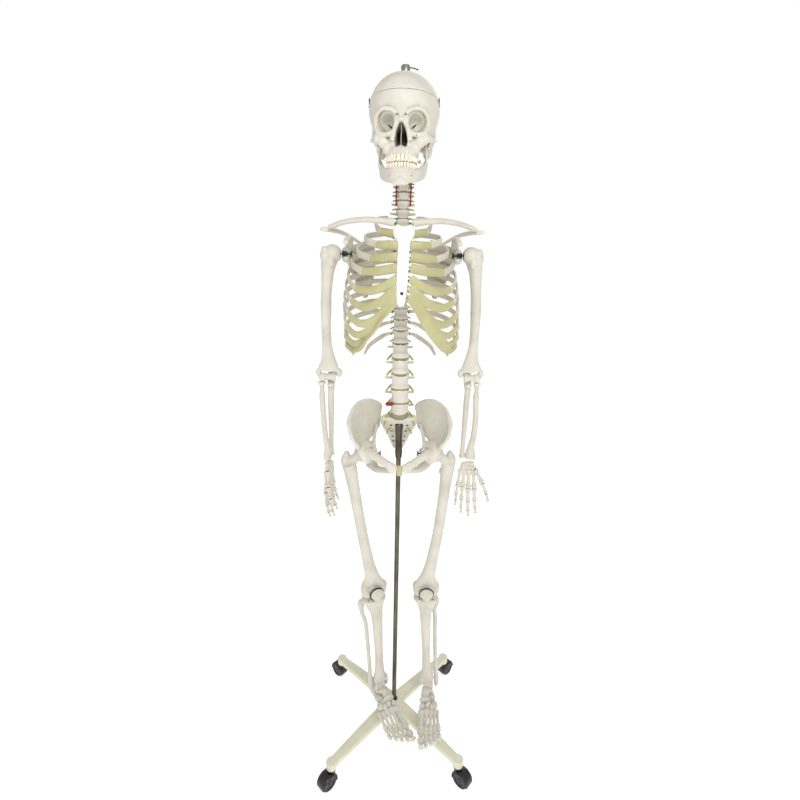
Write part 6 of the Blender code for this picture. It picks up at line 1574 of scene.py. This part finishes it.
def build_hand(side, word):
    """Hand: wrist bones, palm bones and finger bones, slightly curled."""
    wrist = spot("wrist_%s_bend" % word)
    axis = heading("wrist_%s_bend" % word)
    yaw = math.atan2(-axis.y, -axis.x)
    thumb = turned((side, 0, 0), yaw)
    palm = turned((0, -1, 0), yaw)
    down = Vector((0, 0, -1))
    body = "hand_%s_body" % word
    clay = Clay()
    for shift, drop, front, size in ((0.0105, 0.0070, 0.0, 0.0070), (0.0, 0.0068, 0.0, 0.0064),
                                     (-0.0092, 0.0082, 0.0, 0.0062), (-0.0110, 0.0085, 0.005, 0.0040),
                                     (0.0165, 0.0182, 0.002, 0.0060), (0.0082, 0.0178, 0.0, 0.0056),
                                     (-0.0012, 0.0174, 0.0, 0.0066), (-0.0112, 0.0180, 0.0, 0.0066)):
        clay.ball(wrist + thumb * shift + down * drop + palm * front,
                  (size * 1.16, size * 1.0, size * 1.10), (0, 0, yaw), 3)
    obj = clay.object("wrist_bones_" + word)
    shade_hollows(obj, 1)
    finish_piece(obj, body, IVORY, ("hand_" + word,))
    palms, tips = Clay(), Clay()
    links = Clay()
    fingers = ((0.0165, 0.0560, 0.0340, 0.0200, 0.0150, 0.048, 0.0066),
               (0.0045, 0.0545, 0.0380, 0.0240, 0.0160, 0.014, 0.0066),
               (-0.0065, 0.0490, 0.0350, 0.0230, 0.0160, -0.024, 0.0062),
               (-0.0160, 0.0450, 0.0270, 0.0165, 0.0140, -0.062, 0.0056))
    gap = 0.0012
    for shift, meta, near, middle, tip, splay, thick in fingers:
        place = wrist + thumb * shift + down * 0.0228
        ahead = (down + thumb * splay * 2.2).normalized()
        place = small_bone(palms, place, ahead, meta - gap, thick, thumb) + ahead * gap
        for length, curl, scale in ((near, 0.10, 0.94), (middle, 0.26, 0.78), (tip, 0.38, 0.66)):
            links.ball(place - ahead * gap * 0.5, thick * scale * 0.62, detail=2)
            ahead = (down + thumb * splay * 1.6 + palm * curl).normalized()
            place = small_bone(tips, place, ahead, length - gap, thick * scale, thumb) + ahead * gap
    place = wrist + thumb * 0.0200 + palm * 0.0040 + down * 0.0205
    for k, (length, out, forward, thick) in enumerate(((0.0400, 0.56, 0.34, 0.0070),
                                                       (0.0280, 0.38, 0.42, 0.0060),
                                                       (0.0210, 0.28, 0.48, 0.0052))):
        ahead = (down + thumb * out + palm * forward).normalized()
        links.ball(place, thick * 0.60, detail=2)
        place = small_bone(palms if k == 0 else tips, place + ahead * gap, ahead, length - gap, thick,
                           palm) + ahead * gap * 0.5
    for name, made, material in (("palm_bones_", palms, IVORY), ("finger_bones_", tips, IVORY),
                                 ("finger_links_", links, DARK_STEEL)):
        obj = made.object(name + word)
        shade_hollows(obj, 1)
        finish_piece(obj, body, material, ())


for side, word in SIDES:
    build_clavicle(side, word)
    build_scapula(side, word)
    shoulder = spot("shoulder_%s_swing" % word)
    build_joint_screw("shoulder", word, shoulder, side, 0.0420)
    build_spring(word, shoulder, side)
    build_humerus(side, word)
    build_forearm(side, word)
    build_hand(side, word)


# ---------------------------------------------------------------- pelvis and legs
def build_hip_bone(side, word):
    """Ilium, ischium and pubis of one side, with the hip socket."""
    grid = [[(0.100, -0.036, 0.948, 0.0100), (0.094, -0.014, 0.945, 0.0110), (0.082, 0.014, 0.950, 0.0120),
             (0.066, 0.038, 0.962, 0.0110), (0.052, 0.056, 0.975, 0.0110)],
            [(0.108, -0.047, 0.968, 0.0070), (0.102, -0.020, 0.970, 0.0060), (0.090, 0.012, 0.975, 0.0070),
             (0.070, 0.042, 0.984, 0.0090), (0.050, 0.064, 0.995, 0.0120)],
            [(0.115, -0.054, 0.984, 0.0060), (0.115, -0.026, 0.998, 0.0044), (0.104, 0.012, 1.010, 0.0040),
             (0.078, 0.047, 1.015, 0.0060), (0.048, 0.072, 1.010, 0.0120)],
            [(0.117, -0.057, 0.990, 0.0060), (0.123, -0.030, 1.016, 0.0060), (0.112, 0.010, 1.040, 0.0056),
             (0.084, 0.048, 1.048, 0.0064), (0.048, 0.076, 1.028, 0.0100)]]
    grid = [[(place[0] * side, *place[1:]) for place in row] for row in grid]
    clay = Clay(TORSO)
    clay.sheet(grid, 0.0060, 6)
    crest = [(0.117, -0.057, 0.988, 0.0050, 0.0054), (0.121, -0.046, 1.002, 0.0046, 0.0050),
             (0.124, -0.032, 1.016, 0.0050, 0.0062), (0.120, -0.010, 1.032, 0.0046, 0.0050),
             (0.113, 0.010, 1.042, 0.0046, 0.0048), (0.100, 0.031, 1.049, 0.0046, 0.0048),
             (0.084, 0.048, 1.050, 0.0048, 0.0052), (0.066, 0.065, 1.042, 0.0054, 0.0058),
             (0.050, 0.076, 1.028, 0.0062, 0.0062), (0.049, 0.078, 1.014, 0.0060, 0.0060)]
    clay.strap(flip(crest, side), (0, 0, 1), 5, 16)
    front = [(0.103, -0.040, 0.955, 0.0068, 0.0066), (0.1045, -0.045, 0.962, 0.0062, 0.0064),
             (0.1080, -0.047, 0.970, 0.0046, 0.0050), (0.116, -0.056, 0.985, 0.0056, 0.0056)]
    clay.strap(flip(front, side), (1, 0, 0), 5, 16)
    line = [(0.056, 0.045, 0.985, 0.0040, 0.0050), (0.062, 0.020, 0.966, 0.0044, 0.0050),
            (0.064, -0.006, 0.952, 0.0050, 0.0060), (0.060, -0.032, 0.942, 0.0056, 0.0064)]
    clay.strap(flip(line, side), (1, 0, 0), 5, 16)
    drawn = Vector((0.092 * side, -0.005, 0.925))
    clay.ball(drawn + Vector((-side * 0.0050, 0.001, 0.003)), (0.0310, 0.0320, 0.0320), detail=4)
    sitting = [(0.084, 0.010, 0.925, 0.018, 0.014), (0.080, 0.022, 0.911, 0.0160, 0.0135),
               (0.077, 0.027, 0.898, 0.0150, 0.0135), (0.070, 0.024, 0.884, 0.0155, 0.0145),
               (0.058, 0.008, 0.877, 0.0105, 0.0110), (0.045, -0.012, 0.882, 0.0068, 0.0086),
               (0.032, -0.030, 0.889, 0.0062, 0.0082), (0.018, -0.050, 0.899, 0.0070, 0.0092)]
    clay.strap(flip(sitting, side), (1, 0, 0), 5, 20)
    clay.ball(mirrored((0.060, 0.035, 0.915), side), (0.0060, 0.0110, 0.0055), (0.3, 0, 0))
    pubis = [(0.082, -0.020, 0.935, 0.014, 0.016), (0.070, -0.036, 0.936, 0.0115, 0.0125),
             (0.056, -0.047, 0.932, 0.0092, 0.0104), (0.036, -0.0590, 0.923, 0.0080, 0.0100),
             (0.022, -0.0640, 0.915, 0.0078, 0.0112), (0.016, -0.064, 0.910, 0.0075, 0.0125),
             (0.0085, -0.063, 0.905, 0.0070, 0.0145)]
    clay.strap(flip(pubis, side), (0, 1, 0), 5, 20)
    clay.ball(mirrored((0.024, -0.068, 0.925), side), (0.0042, 0.0038, 0.0038))
    centre = spot("hip_%s_swing" % word)
    cup = Clay()
    cup.ball(centre, 0.0254, detail=4)
    mouth = Clay()
    opening = Vector((side * 0.86, -0.22, -0.46)).normalized()
    mouth.disc(centre + opening * 0.0330, 0.0274, 0.0500, opening, 40, 0.0400)
    bore = Clay()
    bore.disc(centre - Vector((side * 0.030, 0, 0)), 0.0031, 0.060, (1, 0, 0), 20)
    joint = Clay(TORSO)
    joint.strap([(0, 0.0220, 1.0250, 0.0405, 0.0172), (0, 0.0245, 1.0100, 0.0500, 0.0186),
                 (0, 0.0340, 0.9900, 0.0470, 0.0176), (0, 0.0490, 0.9620, 0.0345, 0.0146),
                 (0, 0.0580, 0.9350, 0.0245, 0.0116)], steps=4, sides=32)
    gap = Clay(TORSO)
    gap.block((0, -0.06, 0.905), (0.0135, 0.06, 0.06))
    obj = bone("hip_bone_shell_" + word, clay, "torso", ("hip_bone_" + word,), 0.0014, 26000, 4, LIGHT,
               (cup, mouth, bore, joint, gap), 5)
    return obj


def build_symphysis():
    """Cartilage between the pubic bones."""
    clay = Clay(TORSO)
    clay.strap([(-0.0058, -0.0632, 0.9045, 0.0128, 0.0062), (-0.0030, -0.0640, 0.9045, 0.0138, 0.0070),
                (0, -0.0643, 0.9045, 0.0142, 0.0073), (0.0030, -0.0640, 0.9045, 0.0138, 0.0070),
                (0.0058, -0.0632, 0.9045, 0.0128, 0.0062)], (0, 0, 1), 4, 28)
    obj = clay.object("pubic_cartilage")
    shade_hollows(obj, 1)
    finish_piece(obj, "torso", CARTILAGE, ("pubic_symphysis",))


def build_femur(side, word):
    """Thigh bone with ball head, neck, trochanters and condyles."""
    top, low = spot("hip_%s_swing" % word), spot("knee_%s_bend" % word)
    yaw = yaw_of(heading("knee_%s_bend" % word))
    clay = Clay()
    clay.ball(top, 0.0222, detail=4)
    clay.strap([(*top, 0.0140, 0.0140),
                (*limb_spot(top, low, yaw * 0.4, side, 0.0200, 0.0, -0.013), 0.0118, 0.0122),
                (*limb_spot(top, low, yaw * 0.4, side, 0.0300, 0.0015, -0.022), 0.0134, 0.0138),
                (*limb_spot(top, low, yaw * 0.4, side, 0.0380, 0.0030, -0.0300), 0.0150, 0.0150)],
               (0, 1, 0), 5, 24)
    clay.ball(limb_spot(top, low, yaw * 0.4, side, 0.0430, 0.0050, -0.0200), (0.0120, 0.0165, 0.0200))
    clay.ball(limb_spot(top, low, yaw * 0.4, side, 0.0400, 0.0070, -0.0060), (0.0085, 0.0115, 0.0125))
    clay.ball(limb_spot(top, low, yaw * 0.4, side, 0.0220, 0.0140, -0.0560), (0.0085, 0.0085, 0.0120))
    clay.strap([(*limb_spot(top, low, yaw * 0.4, side, 0.0420, 0.0120, -0.0220), 0.0050, 0.0060),
                (*limb_spot(top, low, yaw * 0.4, side, 0.0320, 0.0170, -0.0400), 0.0040, 0.0050),
                (*limb_spot(top, low, yaw * 0.4, side, 0.0230, 0.0150, -0.0560), 0.0045, 0.0060)], steps=4)
    clay.strap(limb_rows(top, low, yaw, side, [
        (0.0380, 0.002, 0.060, 0.0165, 0.0160), (0.0355, 0.002, 0.090, 0.0176, 0.0165),
        (0.0330, 0.000, 0.17, 0.0160, 0.0155), (0.0305, -0.004, 0.26, 0.0146, 0.0148),
        (0.0280, -0.006, 0.35, 0.0142, 0.0146), (0.0240, -0.008, 0.47, 0.0140, 0.0144),
        (0.0200, -0.008, 0.58, 0.0142, 0.0144), (0.0140, -0.006, 0.70, 0.0150, 0.0146),
        (0.0100, -0.005, 0.78, 0.0160, 0.0144), (0.0055, -0.005, 0.85, 0.0184, 0.0142),
        (0.0030, -0.0045, 0.89, 0.0215, 0.0140), (0.0015, -0.004, 0.925, 0.0285, 0.0142),
        (0.0010, -0.003, 0.95, 0.0325, 0.0150), (0.0000, -0.001, 0.975, 0.0330, 0.0158)]),
        steps=6, sides=32)
    for lateral in (-0.0205, 0.0208):
        clay.ball(limb_spot(low, low, yaw, side, lateral, 0.0005, 0.0), (0.0158, 0.0203, 0.0200), (0, 0, yaw), 4)
        clay.ball(limb_spot(low, low, yaw, side, lateral * 1.25, -0.0015, 0.0110), (0.0120, 0.0138, 0.0140),
                  (0, 0, yaw), 4)
    clay.ball(limb_spot(low, low, yaw, side, 0.0010, -0.0100, 0.0110), (0.0200, 0.0118, 0.0140), (0, 0, yaw))
    groove = Clay()
    groove.ball(limb_spot(low, low, yaw, side, 0.0010, -0.0275, 0.0020), (0.0065, 0.0080, 0.0150), (0, 0, yaw))
    back = Clay()
    back.ball(limb_spot(low, low, yaw, side, 0.0, 0.0185, -0.0050), (0.0070, 0.0150, 0.0160), (0, 0, yaw))
    bone("thigh_bone_" + word, clay, "thigh_" + word, ("femur_" + word,), 0.0015, 19000, 3,
         tools=(*screw_room(top, side, 0.0120), groove, back), rounds=4)


def build_patella(side, word):
    """Knee cap with a black disc of painted shade behind it; it travels with the shin."""
    knee = spot("knee_%s_bend" % word)
    yaw = yaw_of(heading("knee_%s_bend" % word))
    clay = Clay()
    place = limb_spot(knee, knee, yaw, side, 0.0010, -0.0345, 0.0060)
    clay.ball(place + Vector((0, 0, 0.0020)), (0.0185, 0.0074, 0.0165), (0, 0, yaw), 4)
    clay.ball(place + Vector((0, 0, -0.0080)), (0.0115, 0.0062, 0.0115), (0, 0, yaw), 4)
    bone("kneecap_" + word, clay, "shin_" + word, ("patella_" + word,), 0.0009, 4000, 6, rounds=3)
    # black disc behind the kneecap and wider than it: painted shade round its edge
    clay = Clay()
    shade_disc = limb_spot(knee, knee, yaw, side, 0.0010, -0.0296, 0.0056)
    clay.ball(shade_disc, (0.0206, 0.0034, 0.0202), (0, 0, yaw), 3)
    fitting("kneecap_shade_disc_" + word, clay, "shin_" + word, SHADE_BLACK)
    clay = Clay()
    for lateral in (-0.0185, 0.0205):
        place = limb_spot(knee, knee, yaw, side, lateral, -0.0130, -0.0245)
        clay.ball(place, 0.0018, detail=2)
    fitting("knee_pins_" + word, clay, "shin_" + word, DARK_STEEL)


def build_shin(side, word):
    """Tibia and fibula."""
    top, low = spot("knee_%s_bend" % word), spot("ankle_%s_bend" % word)
    yaw = yaw_of(heading("knee_%s_bend" % word))
    across = tuple(turned((1, 0, 0), yaw))
    clay = Clay()
    for lateral in (-0.0175, 0.0185):
        clay.ball(limb_spot(top, top, yaw, side, lateral, 0.001, -0.0300), (0.0175, 0.0200, 0.0088), (0, 0, yaw), 4)
    clay.ball(limb_spot(top, top, yaw, side, 0.0, 0.0, -0.0330), (0.0320, 0.0180, 0.0100), (0, 0, yaw), 4)
    clay.ball(limb_spot(top, top, yaw, side, 0.0, 0.0020, -0.0225), (0.0045, 0.0060, 0.0045), (0, 0, yaw))
    clay.strap(limb_rows(top, low, yaw, side, [
        (0.0000, 0.000, 0.085, 0.0345, 0.0190), (0.0000, -0.001, 0.110, 0.0318, 0.0190),
        (0.0000, -0.002, 0.150, 0.0250, 0.0184), (-0.0012, -0.005, 0.190, 0.0200, 0.0176),
        (-0.0020, -0.006, 0.230, 0.0172, 0.0170), (-0.0026, -0.006, 0.320, 0.0150, 0.0160),
        (-0.0026, -0.006, 0.420, 0.0136, 0.0148), (-0.0026, -0.005, 0.550, 0.0124, 0.0134),
        (-0.0026, -0.004, 0.680, 0.0118, 0.0120), (-0.0025, -0.002, 0.790, 0.0128, 0.0118),
        (-0.0020, -0.001, 0.860, 0.0150, 0.0126), (-0.0015, 0.000, 0.910, 0.0184, 0.0140),
        (-0.0010, 0.000, 0.950, 0.0214, 0.0150)]), across, 6, 32)
    clay.ball(limb_spot(top, low, yaw, side, 0.001, -0.0180, 0.0, 0.165), (0.0085, 0.0072, 0.0140), (0, 0, yaw))
    clay.strap([(*limb_spot(low, low, yaw, side, -0.0178, -0.001, 0.026), 0.0070, 0.0125),
                (*limb_spot(low, low, yaw, side, -0.0200, -0.001, 0.012), 0.0060, 0.0115),
                (*limb_spot(low, low, yaw, side, -0.0203, -0.001, 0.002), 0.0050, 0.0095),
                (*limb_spot(low, low, yaw, side, -0.0203, -0.001, -0.006), 0.0032, 0.0056)], across, 5, 20)
    mortise = Clay()
    mortise.disc(low, 0.0170, 0.0350, across, 48)
    bone("tibia_bone_" + word, clay, "shin_" + word, ("tibia_" + word,), 0.0014, 15000, 3,
         tools=(mortise,), rounds=4)
    clay = Clay()
    rows = [(0.0312, 0.020, -0.042, 0.0040, 0.0046), (0.0314, 0.0205, -0.048, 0.0080, 0.0084),
            (0.0314, 0.021, -0.058, 0.0096, 0.0094), (0.0300, 0.0206, -0.070, 0.0074, 0.0074),
            (0.0282, 0.020, -0.088, 0.0062, 0.0062)]
    rows = [(*limb_spot(top, top, yaw, side, *row[:3]), *row[3:]) for row in rows]
    rows += [(*limb_spot(top, low, yaw, side, 0.0255, 0.0180, 0.0, 0.36), 0.0062, 0.0064),
             (*limb_spot(top, low, yaw, side, 0.0245, 0.0150, 0.0, 0.52), 0.0060, 0.0062),
             (*limb_spot(top, low, yaw, side, 0.0245, 0.0110, 0.0, 0.72), 0.0056, 0.0060),
             (*limb_spot(top, low, yaw, side, 0.0255, 0.0080, 0.0, 0.88), 0.0060, 0.0066),
             (*limb_spot(low, low, yaw, side, 0.0262, 0.0060, 0.016), 0.0068, 0.0086),
             (*limb_spot(low, low, yaw, side, 0.0268, 0.0050, 0.004), 0.0068, 0.0098),
             (*limb_spot(low, low, yaw, side, 0.0262, 0.0056, -0.008), 0.0054, 0.0078),
             (*limb_spot(low, low, yaw, side, 0.0258, 0.0060, -0.014), 0.0032, 0.0046)]
    clay.strap(rows, across, 6, 22)
    bone("fibula_bone_" + word, clay, "shin_" + word, ("fibula_" + word,), 0.0011, 8000, 3, rounds=3)


def build_foot(side, word):
    """Foot: ankle, heel and instep bones, long bones and toes, slightly raised."""
    ankle = spot("ankle_%s_bend" % word)
    axis = heading("ankle_%s_bend" % word)
    yaw = math.atan2(-axis.y, -axis.x)
    lift = math.radians(8)
    ahead = turned((0, -math.cos(lift), 0), yaw) + Vector((0, 0, math.sin(lift)))
    out = turned((side, 0, 0), yaw)
    up = ahead.cross(out) * side * -1
    if up.z < 0:
        up = -up
    body = "foot_%s_body" % word

    def at(forward, lateral, rise):
        return ankle + ahead * forward + out * lateral + up * rise

    def lump(clay, forward, lateral, rise, radii, detail=3):
        clay.ball(at(forward, lateral, rise), radii, (-lift, 0, yaw), detail)

    clay = Clay()
    clay.disc(at(0.0, 0.001, 0.0), 0.0146, 0.0300, tuple(out), 40)
    lump(clay, 0.0160, -0.0050, -0.0120, (0.0130, 0.0170, 0.0110))
    lump(clay, 0.0300, -0.0080, -0.0180, (0.0120, 0.0090, 0.0100))
    lump(clay, 0.0020, 0.0020, -0.0150, (0.0150, 0.0200, 0.0090))
    lump(clay, -0.0150, 0.0, -0.0130, (0.0080, 0.0060, 0.0050))
    bone("ankle_bone_" + word, clay, body, ("foot_" + word,), 0.0012, 7000, 3, rounds=3)
    clay = Clay()
    clay.strap([(*at(0.030, 0.013, -0.032), 0.0100, 0.0095), (*at(0.020, 0.011, -0.032), 0.0130, 0.0110),
                (*at(0.000, 0.007, -0.037), 0.0135, 0.0130), (*at(-0.018, 0.005, -0.041), 0.0125, 0.0170),
                (*at(-0.034, 0.004, -0.044), 0.0130, 0.0185), (*at(-0.048, 0.003, -0.044), 0.0130, 0.0172),
                (*at(-0.0555, 0.003, -0.044), 0.0085, 0.0120)], tuple(out), 6, 28)
    lump(clay, 0.010, -0.010, -0.0280, (0.0080, 0.0090, 0.0060))
    bone("heel_bone_" + word, clay, body, (), 0.0012, 8000, 3, rounds=3)
    clay = Clay()
    lump(clay, 0.0430, -0.0085, -0.0225, (0.0160, 0.0085, 0.0130))
    lump(clay, 0.0445, 0.0180, -0.0355, (0.0120, 0.0140, 0.0105))
    lump(clay, 0.0605, -0.0160, -0.0300, (0.0085, 0.0092, 0.0120))
    lump(clay, 0.0595, -0.0010, -0.0265, (0.0068, 0.0080, 0.0110))
    lump(clay, 0.0600, 0.0105, -0.0300, (0.0066, 0.0085, 0.0100))
    obj = clay.object("instep_bones_" + word)
    shade_hollows(obj, 1)
    finish_piece(obj, body, IVORY, ())
    instep, tips, links = Clay(), Clay(), Clay()
    toes = ((-0.0160, 0.0690, -0.034, 0.0560, -0.020, -0.052, (0.030, 0.022), 0.0102),
            (-0.0030, 0.0670, -0.030, 0.0620, -0.006, -0.053, (0.024, 0.013, 0.010), 0.0072),
            (0.0080, 0.0650, -0.034, 0.0590, 0.007, -0.054, (0.022, 0.011, 0.009), 0.0068),
            (0.0180, 0.0590, -0.040, 0.0570, 0.019, -0.055, (0.020, 0.009, 0.009), 0.0064),
            (0.0270, 0.0520, -0.046, 0.0560, 0.031, -0.056, (0.018, 0.008, 0.008), 0.0062))
    for base, start, rise, length, tip, low, bones, thick in toes:
        place = at(start, base, rise)
        head = at(start + length, tip, low)
        aim = (head - place).normalized()
        place = small_bone(instep, place, aim, length - 0.001, thick, out) + aim * 0.001
        links.ball(place, thick * 0.55, detail=2)
        aim = (ahead + out * (tip - base) * 3 - up * 0.02).normalized()
        for k, size in enumerate(bones):
            place = small_bone(tips, place + aim * 0.0008, aim, size - 0.001, thick * 0.90, out)
            if k + 1 < len(bones):
                links.ball(place, thick * 0.42, detail=2)
            thick = thick * 0.90
    for name, made, material in (("instep_long_bones_", instep, IVORY), ("toe_bones_", tips, IVORY),
                                 ("toe_links_", links, DARK_STEEL)):
        obj = made.object(name + word)
        shade_hollows(obj, 1)
        finish_piece(obj, body, material, ())


build_symphysis()
for side, word in SIDES:
    build_hip_bone(side, word)
    build_joint_screw("hip", word, spot("hip_%s_swing" % word), side, 0.0440)
    build_femur(side, word)
    build_patella(side, word)
    build_shin(side, word)
    build_foot(side, word)


# ---------------------------------------------------------------- studio and camera
def build_studio():
    """Pale floor, even sky light and one broad soft key light."""
    mesh = bpy.data.meshes.new("studio_floor")
    wide = 30.0
    mesh.from_pydata([(-wide, -wide, 0), (wide, -wide, 0), (wide, wide, 0), (-wide, wide, 0)],
                     [], [(0, 1, 2, 3)])
    floor = bpy.data.objects.new("studio_floor", mesh)
    bpy.context.scene.collection.objects.link(floor)
    mat, tree, shader = new_material("studio_paper", 0.85)
    shader.inputs["Base Color"].default_value = (0.93, 0.93, 0.925, 1.0)
    shader.inputs["Emission Color"].default_value = (1.0, 1.0, 1.0, 1.0)
    shader.inputs["Emission Strength"].default_value = 0.46
    mesh.materials.append(mat)
    world = bpy.data.worlds.new("studio_sky")
    bpy.context.scene.world = world
    world.use_nodes = True
    tree = world.node_tree
    sky = tree.nodes["Background"]
    sky.inputs["Color"].default_value = (1.0, 1.0, 1.0, 1.0)
    rays = tree.nodes.new("ShaderNodeLightPath")
    level = tree.nodes.new("ShaderNodeMix")
    level.inputs[2].default_value = 0.62
    level.inputs[3].default_value = 1.0
    tree.links.new(rays.outputs["Is Camera Ray"], level.inputs[0])
    tree.links.new(level.outputs[0], sky.inputs["Strength"])
    for name, place, size, power in (("key", (0.5, -2.3, 2.5), 1.5, 37.0),
                                     ("fill", (-2.4, -1.8, 1.8), 2.2, 9.0),
                                     ("rim", (0.6, 2.6, 2.6), 2.0, 18.0)):
        lamp = bpy.data.lights.new(name, "AREA")
        lamp.size = size
        lamp.energy = power
        obj = bpy.data.objects.new(name, lamp)
        bpy.context.scene.collection.objects.link(obj)
        obj.location = place
        aim = Vector((0, 0, 0.95)) - Vector(place)
        obj.rotation_mode = "QUATERNION"
        obj.rotation_quaternion = aim.to_track_quat("-Z", "Y")


def build_camera():
    """A close wide-angle view from head height, looking down a little."""
    place = TORSO @ Vector((-0.041, -1.111, 1.401))
    pitch, yaw, roll = (math.radians(value) for value in (16.8, 2.14, 1.09))
    ahead = Vector((math.sin(yaw) * math.cos(pitch), math.cos(yaw) * math.cos(pitch),
                    -math.sin(pitch)))
    right = ahead.cross(Vector((0, 0, 1))).normalized()
    above = right.cross(ahead)
    across = right * math.cos(roll) + above * math.sin(roll)
    upward = above * math.cos(roll) - right * math.sin(roll)
    eye = bpy.data.cameras.new("studio_camera")
    eye.lens = 21.15
    eye.sensor_width = 36.0
    obj = bpy.data.objects.new("studio_camera", eye)
    bpy.context.scene.collection.objects.link(obj)
    turn = Matrix((across, upward, -ahead)).transposed().to_4x4()
    obj.matrix_world = Matrix.Translation(place) @ turn
    bpy.context.scene.camera = obj


build_studio()
build_camera()
bpy.context.scene.view_settings.view_transform = "Standard"
